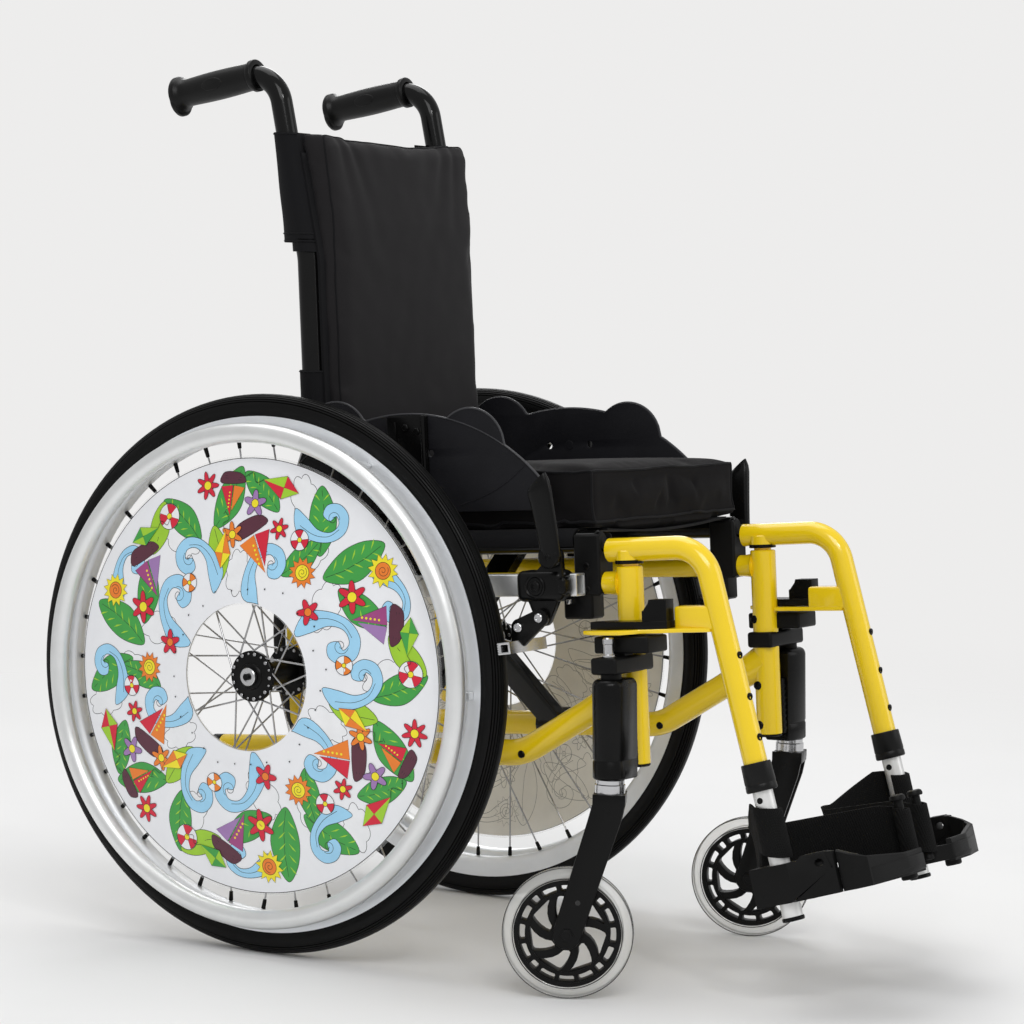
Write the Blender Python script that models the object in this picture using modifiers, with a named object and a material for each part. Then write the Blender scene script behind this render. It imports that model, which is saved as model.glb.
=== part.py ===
"""Folding active wheelchair, modelled at its real size.

Metres, +Z up, the chair looks along -Y, and the occupant's right is -X. The side frames lean
back by TILT, so most sizes are given in the frame's own directions from the rear axle: x outwards,
f forwards along the side tubes and u upwards along the uprights. Each side piece is modelled for
the left side and mirrored for the right one.
"""
import math

import bmesh
import bpy
from mathutils import Matrix, Vector

# General sizes
GAP = 0.0003
BEYOND = 0.010
TILT = math.radians(4.2)
FRAME_X = 0.1385
WHEEL_RADIUS = 0.280
FOOT_REACH = 0.6465

# Rear wheels
WHEEL_OFFSET = 0.0637
WHEEL_STEPS = 32
TYRE_HALF_WIDTH = 0.0128
TYRE_HEIGHT = 0.0257
TYRE_BEAD_HALF = 0.007
TYRE_CROWN_HALF = 0.0055
TYRE_FLANK_DROP = 0.012
RIM_DEPTH = 0.0163
RIM_HALF_WIDTH = 0.011
RIM_FOOT_HALF = 0.0085
HANDRIM_INSET = 0.0123
HANDRIM_STANDOFF = 0.0293
HANDRIM_TUBE_RADIUS = 0.00975
HANDRIM_SIDES = 6
TAB_COUNT = 6
TAB_WIDTH = 0.008
TAB_RISE = 0.0035
TAB_HEIGHT = 0.005
GUARD_HOLE_RADIUS = 0.072
GUARD_MARGIN = 0.0190
GUARD_HOLE_STANDOFF = 0.0373
GUARD_EDGE_STANDOFF = 0.0198
GUARD_THICKNESS = 0.002
CLIP_COUNT = 3
CLIP_RADIUS = 0.082
CLIP_WIDTH = 0.005

# Hubs, spokes and quick-release axles
HUB_INNER_REACH = 0.0437
HUB_OUTER_REACH = 0.0298
HUB_END_RADIUS = 0.013
HUB_BARREL_RADIUS = 0.0135
FLANGE_RADIUS = 0.0255
FLANGE_HALF = 0.0028
FLANGE_INNER_REACH = 0.0377
FLANGE_OUTER_REACH = 0.0248
HUB_STEPS = 12
SPOKES_PER_FLANGE = 18
SPOKE_RADIUS = 0.0010
SPOKE_ROOT_RADIUS = 0.0225
SPOKE_HEAD_OFFSET = 0.0017
SPOKE_TIP_OFFSET = 0.0008
SPOKE_LACE_ANGLE = math.radians(60.0)
AXLE_RADIUS = 0.006
AXLE_INNER_REACH = 0.0115
AXLE_HEAD_RADIUS = 0.009
AXLE_HEAD_LENGTH = 0.0045
AXLE_BUTTON_RADIUS = 0.0035
AXLE_BUTTON_LENGTH = 0.0035

# Side frame
POST_F = 0.384
POST_RADIUS = 0.013
POST_LOW_U = -0.0914
POST_TOP_U = 0.102
POST_BORE_RADIUS = 0.0093
POST_BORE_DEPTH = 0.016
UPPER_U = 0.084
UPPER_RADIUS = 0.011
UPPER_WELD_LENGTH = 0.012
UPPER_WELD_RADIUS = 0.0155
LOWER_U = -0.081
LOWER_RADIUS = 0.013
LOWER_REAR_F = -0.103
LOWER_CAP_LENGTH = 0.015
LOWER_BEND_F = 0.257
LOWER_BEND_RADIUS = 0.060
LOWER_JOIN_U = -0.013
LOWER_FLARE_LENGTH = 0.062
LOWER_FLARE_HEIGHT = 0.019
LOWER_FLARE_SPREAD = 1.03
UPRIGHT_F = 0.026
UPRIGHT_RADIUS = 0.0135
UPRIGHT_TOP_U = 0.150
SOCKET_FLOOR_U = 0.105
PLATE_BACK_F = -0.017
PLATE_HALF_HEIGHT = 0.060
PLATE_CORNER = 0.012
PLATE_THICKNESS = 0.010
PLATE_HOLE_RADIUS = 0.0065
PLATE_HOLE_PITCH = 0.025
RECEIVER_RADIUS = 0.0115
RECEIVER_INNER_REACH = 0.0095
RECEIVER_CLEARANCE = 0.0010

# Back canes and push grips
CANE_RADIUS = 0.011
CANE_KNEE_Y = 0.0039
CANE_KNEE_Z = 0.696
CANE_KNEE_RADIUS = 0.070
CANE_CREST_Y = 0.0474
CANE_CREST_Z = 0.8842
CANE_CREST_RADIUS = 0.034
GRIP_FRONT_Y = 0.0697
GRIP_FRONT_Z = 0.8799
GRIP_REAR_Y = 0.1709
GRIP_REAR_Z = 0.8607
GRIP_RADIUS = 0.0150
GRIP_WAIST_RADIUS = 0.0140
GRIP_COLLAR_RADIUS = 0.0165
GRIP_COLLAR_LENGTH = 0.006
GRIP_FLANGE_RADIUS = 0.0185
GRIP_FLANGE_LENGTH = 0.007
GRIP_LIP_DROP = 0.006
GRIP_END_WALL = 0.008

# Clothes guards
PANEL_OFFSET = 0.0146
PANEL_THICKNESS = 0.0038
PANEL_LOW_U = 0.156
PANEL_REAR_F = 0.002
PANEL_ARC_Y = -0.143
PANEL_ARC_Z = 0.336
PANEL_ARC_RADIUS = 0.208
HUMP_FRONT_Y = -0.2045
HUMP_REAR_Y = -0.0465
HUMP_Z = 0.5135
HUMP_RADIUS = 0.039
PANEL_HOLE_U = 0.214
PANEL_HOLE_F = 0.1505
PANEL_HOLE_SPAN = 0.050
PANEL_HOLE_RADIUS = 0.0035
BRACKET_REAR_F = 0.128
BRACKET_FRONT_F = 0.188
BRACKET_THICKNESS = 0.0045
BRACKET_TOP_U = 0.2525
BRACKET_STEM_REAR_F = 0.140
BRACKET_STEM_FRONT_F = 0.170

# Brakes
RAIL_WIDTH = 0.020
RAIL_HEIGHT = 0.0215
RAIL_WALL = 0.002
RAIL_REAR_F = 0.100
RAIL_FRONT_F = 0.3292
BODY_REAR_F = 0.285
BODY_FRONT_F = 0.3405
BODY_OUTER_X = 0.188
BODY_LIP = 0.0035
BODY_LIP_DEPTH = 0.012
BODY_RECESS_F = 0.3076
BODY_RECESS_RADIUS = 0.0075
BODY_RECESS_DEPTH = 0.003
BODY_PLATE_X = 0.1760
BODY_PLATE_THICKNESS = 0.0085
BOSS_RADIUS = 0.0085
LEVER_PIVOT_F = 0.3267
LEVER_PIVOT_U = 0.1123
LEVER_ROOT_X = 0.1890
LEVER_SEAT_RADIUS = 0.0070
LEVER_TOP_X = 0.2045
LEVER_THICKNESS = 0.009
LEVER_TIP_THICKNESS = 0.013
LEVER_ROOT_HALF = 0.0125
LEVER_TIP_HALF = 0.0135
LEVER_TIP_F = 0.326
LEVER_TIP_U = 0.186
LEVER_TIP_SLANT = 0.009
SHOE_PIVOT_F = 0.3125
SHOE_PIVOT_U = 0.0542
SHOE_LINK_F = 0.2893
SHOE_LINK_U = 0.0451
SHOE_INNER_X = 0.147
SHOE_OUTER_X = 0.215
SHOE_U = 0.0262
SHOE_HEIGHT = 0.0115
SHOE_DEPTH = 0.0145
SHOE_CLEARANCE = 0.0004
SHOE_TEETH = 3
SHOE_ARM_X = 0.1850
SHOE_ARM_THICKNESS = 0.0060
SCREW_RADIUS = 0.0042
SCREW_HEIGHT = 0.0025

# Seat rails, rail blocks and cross brace
SEAT_RAIL_U = 0.124
SEAT_RAIL_RADIUS = 0.011
SEAT_RAIL_REAR_F = 0.048
SEAT_RAIL_FRONT_F = 0.352
SEAT_PLUG_RADIUS = 0.0085
SEAT_PLUG_LENGTH = 0.004
BLOCK_REAR_F = 0.3298
BLOCK_FRONT_F = 0.3585
BLOCK_WALL = 0.0145
BLOCK_TOP_U = 0.1315
BLOCK_LOW_U = 0.0725
BLOCK_FOOT_REAR_F = 0.3155
BLOCK_FOOT_FRONT_F = 0.3480
BLOCK_FOOT_LOW_U = 0.0500
BAR_WIDTH = 0.030
BAR_THICKNESS = 0.015
BAR_A_F = 0.0995
BAR_B_F = 0.1305
SLEEVE_RADIUS = 0.0172
SLEEVE_OVERHANG = 0.002
CROSS_BOLT_RADIUS = 0.004
CROSS_HEAD_RADIUS = 0.0075
CROSS_HEAD_LENGTH = 0.005

# Casters
SWIVEL_X = 0.1875
SWIVEL_Y = -0.388
CASTER_RADIUS = 0.0625
CASTER_TRAIL = 0.0367
RIGHT_SWIVEL = math.radians(26.6)
LEFT_SWIVEL = math.radians(17.6)
CASTER_HALF_WIDTH = 0.0115
CASTER_TREAD_HALF = 0.0060
CASTER_TREAD_DROP = 0.0050
CASTER_TYRE_INNER = 0.0512
CASTER_HUB_HALF = 0.0085
CASTER_HUB_BORE = 0.0046
CASTER_CORE_RADIUS = 0.0125
CASTER_CORE_HALF = 0.0120
CASTER_STEPS = 24
CASTER_SPOKES = 6
CASTER_WINDOW_IN = 0.0155
CASTER_WINDOW_OUT = 0.0385
CASTER_WINDOW_SWEEP = math.radians(30.0)
CASTER_WINDOW_SHARE = 0.60
FORK_TOP_Z = 0.197
FORK_HALF_LENGTH = 0.0155
FORK_CROWN_LOW_Z = 0.168
FORK_NECK_Z = 0.146
FORK_SLOT_HALF = 0.0128
FORK_BLADE = 0.0045
FORK_END_RADIUS = 0.0135
FORK_BOLT_RADIUS = 0.0042
FORK_NUT_RADIUS = 0.0065
FORK_NUT_LENGTH = 0.0030
SLEEVE_LOW_RADIUS = 0.0145
SLEEVE_TOP_Z = 0.2095
STEM_RADIUS = 0.006
STEM_TOP_Z = 0.262
HOUSING_LOW_Z = 0.2100
HOUSING_TOP_U = -0.0030
HOUSING_RADIUS = 0.0165
HOUSING_LEAN = math.radians(2.0)
HOUSING_ROUND = 0.0065
HOUSING_STRIP_INNER_X = 0.1524
HOUSING_STRIP_HALF = 0.0095
HOUSING_STRIP_LOW_U = -0.090
HOUSING_STRIP_TOP_U = -0.0335
CLAMP_LOW_U = 0.0005
CLAMP_TOP_U = 0.0165
CLAMP_REAR_F = 0.3700
CLAMP_FRONT_F = 0.3980
CLAMP_OUTER_X = 0.1970
CLAMP_INNER_X = 0.1225
NECK_RADIUS = 0.010
PIN_F = 0.3855
PIN_X = 0.1870
PIN_RADIUS = 0.0056
PIN_TOP_U = 0.0352
SHELF_LOW_U = 0.0192
SHELF_TOP_U = 0.0352
SHELF_REAR_F = 0.3640
SHELF_FRONT_F = 0.4225
SHELF_OUTER_X = 0.1780

# Hangers, collars and latches
HANGER_OFFSET = 0.0025
HANGER_RADIUS = 0.0115
HANGER_REAR_Y = -0.354
HANGER_REAR_Z = 0.4216
HANGER_CREST_Y = -0.4556
HANGER_CREST_Z = 0.4311
HANGER_CREST_RADIUS = 0.036
HANGER_END_Y = -0.5212
HANGER_END_Z = 0.2190
HANGER_BORE_LENGTH = 0.075
HANGER_CUFF_RADIUS = 0.0135
HANGER_STEM_RADIUS = 0.0088
PLATE_LOW_U = 0.0375
PLATE_TOP_U = 0.0415
PLATE_REAR_F = 0.3560
PLATE_OUTER_X = 0.1910
PLATE_TIP_F = 0.3700
PLATE_TIP_FRONT_F = 0.3990
PLATE_FRONT_F = 0.4745
PLATE_WAIST_X = 0.1580
PLATE_WAIST_F = 0.4450
PLATE_SHOULDER_X = 0.1720
PLATE_SHOULDER_F = 0.4120
PLATE_HEEL_X = 0.1830
PLATE_HEEL_INNER_X = 0.1600
STRUT_REAR_F = 0.4365
STRUT_TOP_U = 0.0620
STRUT_HALF = 0.0100
COLLAR_RADIUS = 0.0150
COLLAR_LENGTH = 0.0270
COLLAR_LIP = 0.0130
LATCH_THICKNESS = 0.0072
LATCH_REAR_F = 0.3590
LATCH_BLOCK_REAR_F = 0.4080
LATCH_BLOCK_FRONT_F = 0.4350
LATCH_BLOCK_TOP_U = 0.0690
LATCH_INNER_X = 0.1455
LATCH_BLOCK_OUTER_X = 0.1620
LATCH_OUTER_X = 0.1780
LATCH_CORNER_F = 0.3780
LATCH_SWEEP_RADIUS = 0.0210
LATCH_SWEEP_BACK = 0.0120
LATCH_SWEEP_RISE = 0.0060
LATCH_POST_CLEARANCE = 0.0015

# Footrests and heel loops
FOOT_TUBE_RADIUS = 0.00975
FOOT_TUBE_TOP_Z = 0.285
FOOT_TUBE_LOW_Z = 0.0904
FOOT_CAP_RADIUS = 0.0108
FOOT_CAP_LENGTH = 0.004
FOOT_PITCH = math.radians(16.0)
FOOT_LEVEL_Z = 0.1095
LUG_OUTER_X = 0.1560
LUG_INNER_X = 0.1285
LUG_REAR = 0.027
LUG_LOW = 0.0045
LUG_TOP = 0.0320
LUG_FRONT = 0.050
LUG_CHIN = 0.010
LUG_HORN_SLOPE = 0.005
LUG_NOSE_UP = 0.020
LUG_HORN_REAR = 0.026
LUG_HORN_FRONT = 0.045
LUG_HORN_TOP = 0.0360
LUG_HOLE_G = 0.0395
LUG_HOLE_H = 0.0265
LUG_TAPER_G = 0.0115
LUG_TAPER_X = 0.547
LUG_BORE_RADIUS = 0.0040
FOOT_HINGE_X = 0.1210
FOOT_HINGE_RADIUS = 0.0062
FOOT_PIN_RADIUS = 0.0030
FOOT_EAR_LENGTH = 0.016
FOOT_KNUCKLE_LENGTH = 0.010
FOOT_PLATE_THICKNESS = 0.0050
FOOT_RIM_HEIGHT = 0.0120
FOOT_RIM_WIDTH = 0.0050
FOOT_RELIEF_WIDTH = 0.0400
FOOT_RELIEF_LENGTH = 0.0520
FOOT_RELIEF_LOW = 0.0040
FOOT_NOSE_OUTER_X = 0.0680
FOOT_NOSE_INNER_X = 0.0330
FOOT_INNER_X = 0.0125
FOOT_FLANK = 0.0330
FOOT_REAR = 0.0150
FOOT_SIDE_LENGTH = 0.066
FOOT_CORNER_X = 0.1200
FOOT_CORNER_LENGTH = 0.078
KNOB_X = 0.0195
KNOB_POST_RADIUS = 0.0045
KNOB_POST_BACK = 0.0216
KNOB_POST_HEIGHT = 0.0650
KNOB_RADIUS = 0.0078
KNOB_HEIGHT = 0.0050
FOOT_PAD_RADIUS = 0.0080
FOOT_PAD_HEIGHT = 0.0070
LOOP_THICKNESS = 0.0028
LOOP_HEIGHT = 0.0440
LOOP_WRAP_RADIUS = 0.0115
LOOP_POST_RADIUS = 0.0062
LOOP_BACK_X = 0.0780
LOOP_BACK_Y = -0.4790
LOOP_BACK_RADIUS = 0.0150
LOOP_LOW_Z = 0.1480
LOOP_SAG = 0.0380
LOOP_POST_DROP = 0.0040
LOOP_TUBE_TURN = 230.0
LOOP_POST_TURN = 250.0

# Seat and back
SLING_REAR_F = 0.050
SLING_FRONT_F = 0.352
SLING_THICKNESS = 0.0020
SLING_SAG = 0.007
SLING_WRAP_LOW_U = 0.1205
CUSHION_HALF = 0.1480
CUSHION_REAR_F = 0.0480
CUSHION_FRONT_F = 0.3570
CUSHION_LOW_U = 0.1355
CUSHION_TOP_U = 0.1850
CUSHION_CROWN = 0.0060
CUSHION_PULL = 0.0060
CUSHION_CUTS = 3
PAD_FRONT_HALF = 0.1310
PAD_REAR_HALF = 0.1380
PAD_LOW_Z = 0.4720
PAD_TOP_Z = 0.8180
PAD_KNEE_Z = 0.7330
PAD_FRONT = 0.0300
PAD_TOP_Y = -0.0080
PAD_EDGE = 0.0120
PAD_EDGE_DROP = 0.0060
PAD_BULGE = 0.0050
FLAP_CLEARANCE = 0.0009
FLAP_THICKNESS = 0.0016
FLAP_REACH = 0.0220
FLAP_LOW_TOP_Z = 0.5830
FLAP_HIGH_LOW_Z = 0.7110
FLAP_HIGH_TOP_Z = 0.8250
FLAP_LOOSENESS = 0.80

# Places that follow from the sizes
WHEEL_X = FRAME_X + WHEEL_OFFSET
TYRE_BEAD_RADIUS = WHEEL_RADIUS - TYRE_HEIGHT
RIM_INNER_RADIUS = TYRE_BEAD_RADIUS - RIM_DEPTH
HANDRIM_RADIUS = TYRE_BEAD_RADIUS - HANDRIM_INSET
HANDRIM_X = WHEEL_X + HANDRIM_STANDOFF
TAB_LOW_RADIUS = HANDRIM_RADIUS + TAB_RISE
GUARD_RADIUS = RIM_INNER_RADIUS - GUARD_MARGIN
GUARD_HOLE_X = WHEEL_X + GUARD_HOLE_STANDOFF
GUARD_RIM_X = WHEEL_X + GUARD_EDGE_STANDOFF
HUB_INNER_X = WHEEL_X - HUB_INNER_REACH
HUB_OUTER_X = WHEEL_X + HUB_OUTER_REACH
FLANGE_INNER_X = WHEEL_X - FLANGE_INNER_REACH
FLANGE_OUTER_X = WHEEL_X + FLANGE_OUTER_REACH
AXLE_INNER_X = FRAME_X - AXLE_INNER_REACH
RECEIVER_INNER_X = FRAME_X - RECEIVER_INNER_REACH
RECEIVER_OUTER_X = HUB_INNER_X - RECEIVER_CLEARANCE
PANEL_INNER_X = FRAME_X + PANEL_OFFSET
HANGER_X = FRAME_X + HANGER_OFFSET
AXLE_Y = (FOOT_REACH - WHEEL_RADIUS) / 2
AXLE_Z = WHEEL_RADIUS
FRAME = Matrix.Translation((0, AXLE_Y, AXLE_Z)) @ Matrix.Rotation(-TILT, 4, "X")
PIVOT_HEIGHT = SEAT_RAIL_U - LOWER_U
BAR_LENGTH = math.hypot(PIVOT_HEIGHT, 2 * FRAME_X)
BAR_CENTRE_U = (SEAT_RAIL_U + LOWER_U) / 2

PARTS = bpy.data.collections.new("active_wheelchair")


# Materials

def material(name, colour, roughness, metallic=0.0):
    made = bpy.data.materials.new(name)
    made.use_nodes = True
    shader = made.node_tree.nodes["Principled BSDF"]
    shader.inputs["Base Color"].default_value = (*colour, 1.0)
    shader.inputs["Roughness"].default_value = roughness
    shader.inputs["Metallic"].default_value = metallic
    made.diffuse_color = (*colour, 1.0)
    return made


FINISHES = {
    "yellow": ((0.86, 0.64, 0.02), 0.28, 0.0),
    "black_tube": ((0.015, 0.015, 0.016), 0.30, 0.0),
    "black_plastic": ((0.025, 0.025, 0.028), 0.50, 0.0),
    "rubber": ((0.018, 0.018, 0.018), 0.70, 0.0),
    "silver": ((0.72, 0.73, 0.74), 0.30, 1.0),
    "rim_silver": ((0.78, 0.79, 0.80), 0.35, 1.0),
    "clear": ((0.85, 0.85, 0.83), 0.15, 0.0),
    "print_panel": ((0.85, 0.87, 0.86), 0.40, 0.0),
    "fabric": ((0.02, 0.02, 0.022), 0.90, 0.0),
    "webbing": ((0.015, 0.015, 0.015), 0.95, 0.0),
}


# Placing

def framed(x, f, u):
    """A point given outwards, forwards and upwards in the leaning frame, from the rear axle."""
    return FRAME @ Vector((x, -f, u))


def chair(x, y, z):
    """A point given upright, with y from the rear axle and z from the ground."""
    return Vector((x, AXLE_Y + y, z))


def frame_slab(x):
    """Lays a flat outline of (f, u) points in the side frame's plane at x, extruded outwards."""
    turn = Matrix(((0, 0, 1, 0), (-1, 0, 0, 0), (0, 1, 0, 0), (0, 0, 0, 1)))
    return FRAME @ Matrix.Translation((x, 0, 0)) @ turn


def frame_shelf(u):
    """Lays a flat outline of (x, f) points square to the uprights at height u, extruded upwards."""
    turn = Matrix(((1, 0, 0, 0), (0, -1, 0, 0), (0, 0, 1, 0), (0, 0, 0, 1)))
    return FRAME @ Matrix.Translation((0, 0, u)) @ turn


def wheel_matrix():
    """Turns a profile of radius and x into a ring round the rear axle."""
    return Matrix.Translation((0, AXLE_Y, AXLE_Z)) @ Matrix.Rotation(math.pi / 2, 4, "Y")


def along(start, end):
    """A matrix at start whose Z runs towards end."""
    start, end = Vector(start), Vector(end)
    return Matrix.Translation(start) @ (end - start).to_track_quat("Z", "Y").to_matrix().to_4x4()


# Shapes

def mesh_object(bm, matrix=None):
    """A new object from a bmesh, with its doubles merged and its faces turned outwards."""
    if matrix is not None:
        bmesh.ops.transform(bm, matrix=matrix, verts=bm.verts)
    bmesh.ops.remove_doubles(bm, verts=bm.verts, dist=0.00001)
    bmesh.ops.recalc_face_normals(bm, faces=bm.faces)
    mesh = bpy.data.meshes.new("shape")
    bm.to_mesh(mesh)
    bm.free()
    made = bpy.data.objects.new("shape", mesh)
    bpy.context.scene.collection.objects.link(made)
    return made


def evaluated(obj):
    """Replaces an object that has modifiers, or a curve, by the mesh that it gives."""
    bpy.context.view_layer.update()
    mesh = bpy.data.meshes.new_from_object(obj.evaluated_get(bpy.context.evaluated_depsgraph_get()))
    bm = bmesh.new()
    bm.from_mesh(mesh)
    made = mesh_object(bm, obj.matrix_world.copy())
    bpy.data.objects.remove(obj)
    return made


def block(low, high, matrix=None, rounding=0.0, segments=2):
    """A box between two corners, with its edges rounded where asked."""
    low, high = Vector(low), Vector(high)
    bm = bmesh.new()
    size = high - low
    place = Matrix.Translation((low + high) / 2) @ Matrix.Diagonal((*size, 1))
    bmesh.ops.create_cube(bm, size=1, matrix=place)
    if rounding:
        bmesh.ops.bevel(bm, geom=bm.edges[:], offset=rounding, segments=segments, affect="EDGES")
    return mesh_object(bm, matrix)


def rod(start, end, radius, sides=16, end_radius=None):
    """A cylinder or cone between two points."""
    start, end = Vector(start), Vector(end)
    bm = bmesh.new()
    length = (end - start).length
    bmesh.ops.create_cone(bm, cap_ends=True, segments=sides, radius1=radius,
                          radius2=radius if end_radius is None else end_radius, depth=length,
                          matrix=Matrix.Translation((0, 0, length / 2)))
    return mesh_object(bm, along(start, end))


def turned(profile, steps, matrix, closed=True):
    """A profile of (radius, height) points turned round Z by a Screw modifier."""
    bm = bmesh.new()
    verts = [bm.verts.new((radius, 0, height)) for radius, height in profile]
    for first, second in zip(verts, verts[1:]):
        bm.edges.new((first, second))
    if closed:
        bm.edges.new((verts[-1], verts[0]))
    mesh = bpy.data.meshes.new("profile")
    bm.to_mesh(mesh)
    bm.free()
    made = bpy.data.objects.new("profile", mesh)
    bpy.context.scene.collection.objects.link(made)
    screw = made.modifiers.new("turn", "SCREW")
    screw.steps = screw.render_steps = steps
    screw.use_merge_vertices = True
    screw.merge_threshold = 0.00001
    made.matrix_world = matrix
    return evaluated(made)


def plate(outline, thickness, matrix, holes=()):
    """A flat outline with holes, extruded from its plane along the matrix's Z."""
    curve = bpy.data.curves.new("outline", "CURVE")
    curve.dimensions = "2D"
    curve.fill_mode = "BOTH"
    curve.extrude = thickness / 2
    for points in (outline, *holes):
        spline = curve.splines.new("POLY")
        spline.points.add(len(points) - 1)
        for point, (x, y) in zip(spline.points, points):
            point.co = (x, y, 0, 1)
        spline.use_cyclic_u = True
    made = bpy.data.objects.new("outline", curve)
    bpy.context.scene.collection.objects.link(made)
    made.matrix_world = matrix @ Matrix.Translation((0, 0, thickness / 2))
    return evaluated(made)


def tube(points, radius, resolution=2):
    """A round tube along a line of points, with closed ends."""
    curve = bpy.data.curves.new("tube", "CURVE")
    curve.dimensions = "3D"
    curve.bevel_depth = radius
    curve.bevel_resolution = resolution
    curve.use_fill_caps = True
    spline = curve.splines.new("POLY")
    spline.points.add(len(points) - 1)
    for point, place in zip(spline.points, points):
        point.co = (*place, 1)
    made = bpy.data.objects.new("tube", curve)
    bpy.context.scene.collection.objects.link(made)
    return evaluated(made)


def loft(sections):
    """A closed body through sections that have the same number of points."""
    bm = bmesh.new()
    rings = [[bm.verts.new(point) for point in section] for section in sections]
    count = len(rings[0])
    for lower, upper in zip(rings, rings[1:]):
        for k in range(count):
            bm.faces.new((lower[k], lower[(k + 1) % count], upper[(k + 1) % count], upper[k]))
    bm.faces.new(rings[0])
    bm.faces.new(rings[-1])
    return mesh_object(bm)


def bent(points, radii, steps=6):
    """The points of a line whose inner corners are rounded to the given radii."""
    points = [Vector(p) for p in points]
    path = [points[0]]
    for before, corner, after, radius in zip(points, points[1:], points[2:], radii):
        into, out = (corner - before).normalized(), (after - corner).normalized()
        turn = into.angle(out)
        reach = radius * math.tan(turn / 2)
        centre_way = (out - into).normalized()
        centre = corner + centre_way * (radius / math.cos(turn / 2))
        start = corner - into * reach - centre
        normal = into.cross(out).normalized()
        for k in range(steps + 1):
            path.append(centre + Matrix.Rotation(turn * k / steps, 3, normal) @ start)
    path.append(points[-1])
    return path


def arc(centre, radius, start, end, steps):
    """Points of a flat arc from one angle to another, in degrees."""
    angles = [math.radians(start + (end - start) * k / steps) for k in range(steps + 1)]
    return [(centre[0] + radius * math.cos(a), centre[1] + radius * math.sin(a)) for a in angles]


def circle(centre, radius, steps=12):
    return arc(centre, radius, 0, 360, steps)[:-1]


def rounded(corners, radius, steps=3):
    """A flat outline whose corners are rounded to one radius."""
    path = []
    count = len(corners)
    for k in range(count):
        before, corner, after = (Vector(corners[(k + i) % count]) for i in (-1, 0, 1))
        into, out = (corner - before).normalized(), (after - corner).normalized()
        turn = into.angle_signed(out)
        reach = radius * math.tan(abs(turn) / 2)
        start = corner - into * reach
        side = Vector((-into.y, into.x)) * (-1 if turn > 0 else 1)
        centre = start + side * radius
        for i in range(steps + 1):
            path.append(tuple(centre + Matrix.Rotation(-turn * i / steps, 2) @ (start - centre)))
    return path


def combine(target, others, operation):
    for other in others:
        boolean = target.modifiers.new("combine", "BOOLEAN")
        boolean.object = other
        boolean.operation = operation
        boolean.solver = "EXACT"
    made = evaluated(target)
    for other in others:
        bpy.data.objects.remove(other)
    return made


def fuse(target, *others):
    return combine(target, others, "UNION")


def cut(target, *others):
    return combine(target, others, "DIFFERENCE")


def finish(obj, name, look, pivot=None):
    """Names a piece, gives it its own material and puts its origin on its joint's axis."""
    colour, roughness, metallic = FINISHES[look]
    obj.name = obj.data.name = name
    obj.data.materials.clear()
    obj.data.materials.append(material(name, colour, roughness, metallic))
    if pivot is not None:
        obj.data.transform(Matrix.Translation(-pivot))
        obj.matrix_world = Matrix.Translation(pivot)
    obj.data.shade_smooth()
    obj.data.set_sharp_from_angle(angle=math.radians(35))
    bpy.context.scene.collection.objects.unlink(obj)
    PARTS.objects.link(obj)
    return obj


def both_sides(obj, name, look, pivot=None):
    """Keeps the left piece and adds its mirror image as the right one."""
    bm = bmesh.new()
    bm.from_mesh(obj.data)
    mirrored = mesh_object(bm, Matrix.Diagonal((-1, 1, 1, 1)) @ obj.matrix_world)
    finish(obj, "left_" + name, look, pivot)
    other = None if pivot is None else Vector((-pivot.x, pivot.y, pivot.z))
    finish(mirrored, "right_" + name, look, other)


# Rear wheels

def tyre():
    crown = WHEEL_RADIUS
    half = [(TYRE_BEAD_RADIUS, TYRE_BEAD_HALF), (crown - TYRE_FLANK_DROP, TYRE_HALF_WIDTH),
            (crown, TYRE_CROWN_HALF)]
    profile = half + [(radius, -x) for radius, x in reversed(half)]
    return turned([(radius, WHEEL_X + x) for radius, x in profile], WHEEL_STEPS, wheel_matrix())


def rim():
    well = TYRE_BEAD_RADIUS - GAP
    half = [(RIM_INNER_RADIUS, RIM_FOOT_HALF), (well, RIM_HALF_WIDTH)]
    profile = half + [(radius, -x) for radius, x in reversed(half)]
    return turned([(radius, WHEEL_X + x) for radius, x in profile], WHEEL_STEPS, wheel_matrix())


def handrim():
    ring = circle((HANDRIM_RADIUS, HANDRIM_X), HANDRIM_TUBE_RADIUS, HANDRIM_SIDES)
    turn = [(HANDRIM_RADIUS + (y - HANDRIM_X), HANDRIM_X + (x - HANDRIM_RADIUS)) for x, y in ring]
    made = turned(turn, WHEEL_STEPS, wheel_matrix())
    tabs = []
    for k in range(TAB_COUNT):
        spin = Matrix.Rotation(2 * math.pi * (k + 0.5) / TAB_COUNT, 4, "X")
        place = Matrix.Translation((0, AXLE_Y, AXLE_Z)) @ spin
        tabs.append(block((WHEEL_X + RIM_HALF_WIDTH + GAP, -TAB_WIDTH / 2, TAB_LOW_RADIUS),
                          (HANDRIM_X - HANDRIM_TUBE_RADIUS / 3, TAB_WIDTH / 2,
                           TAB_LOW_RADIUS + TAB_HEIGHT), place))
    return fuse(made, *tabs)


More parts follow.
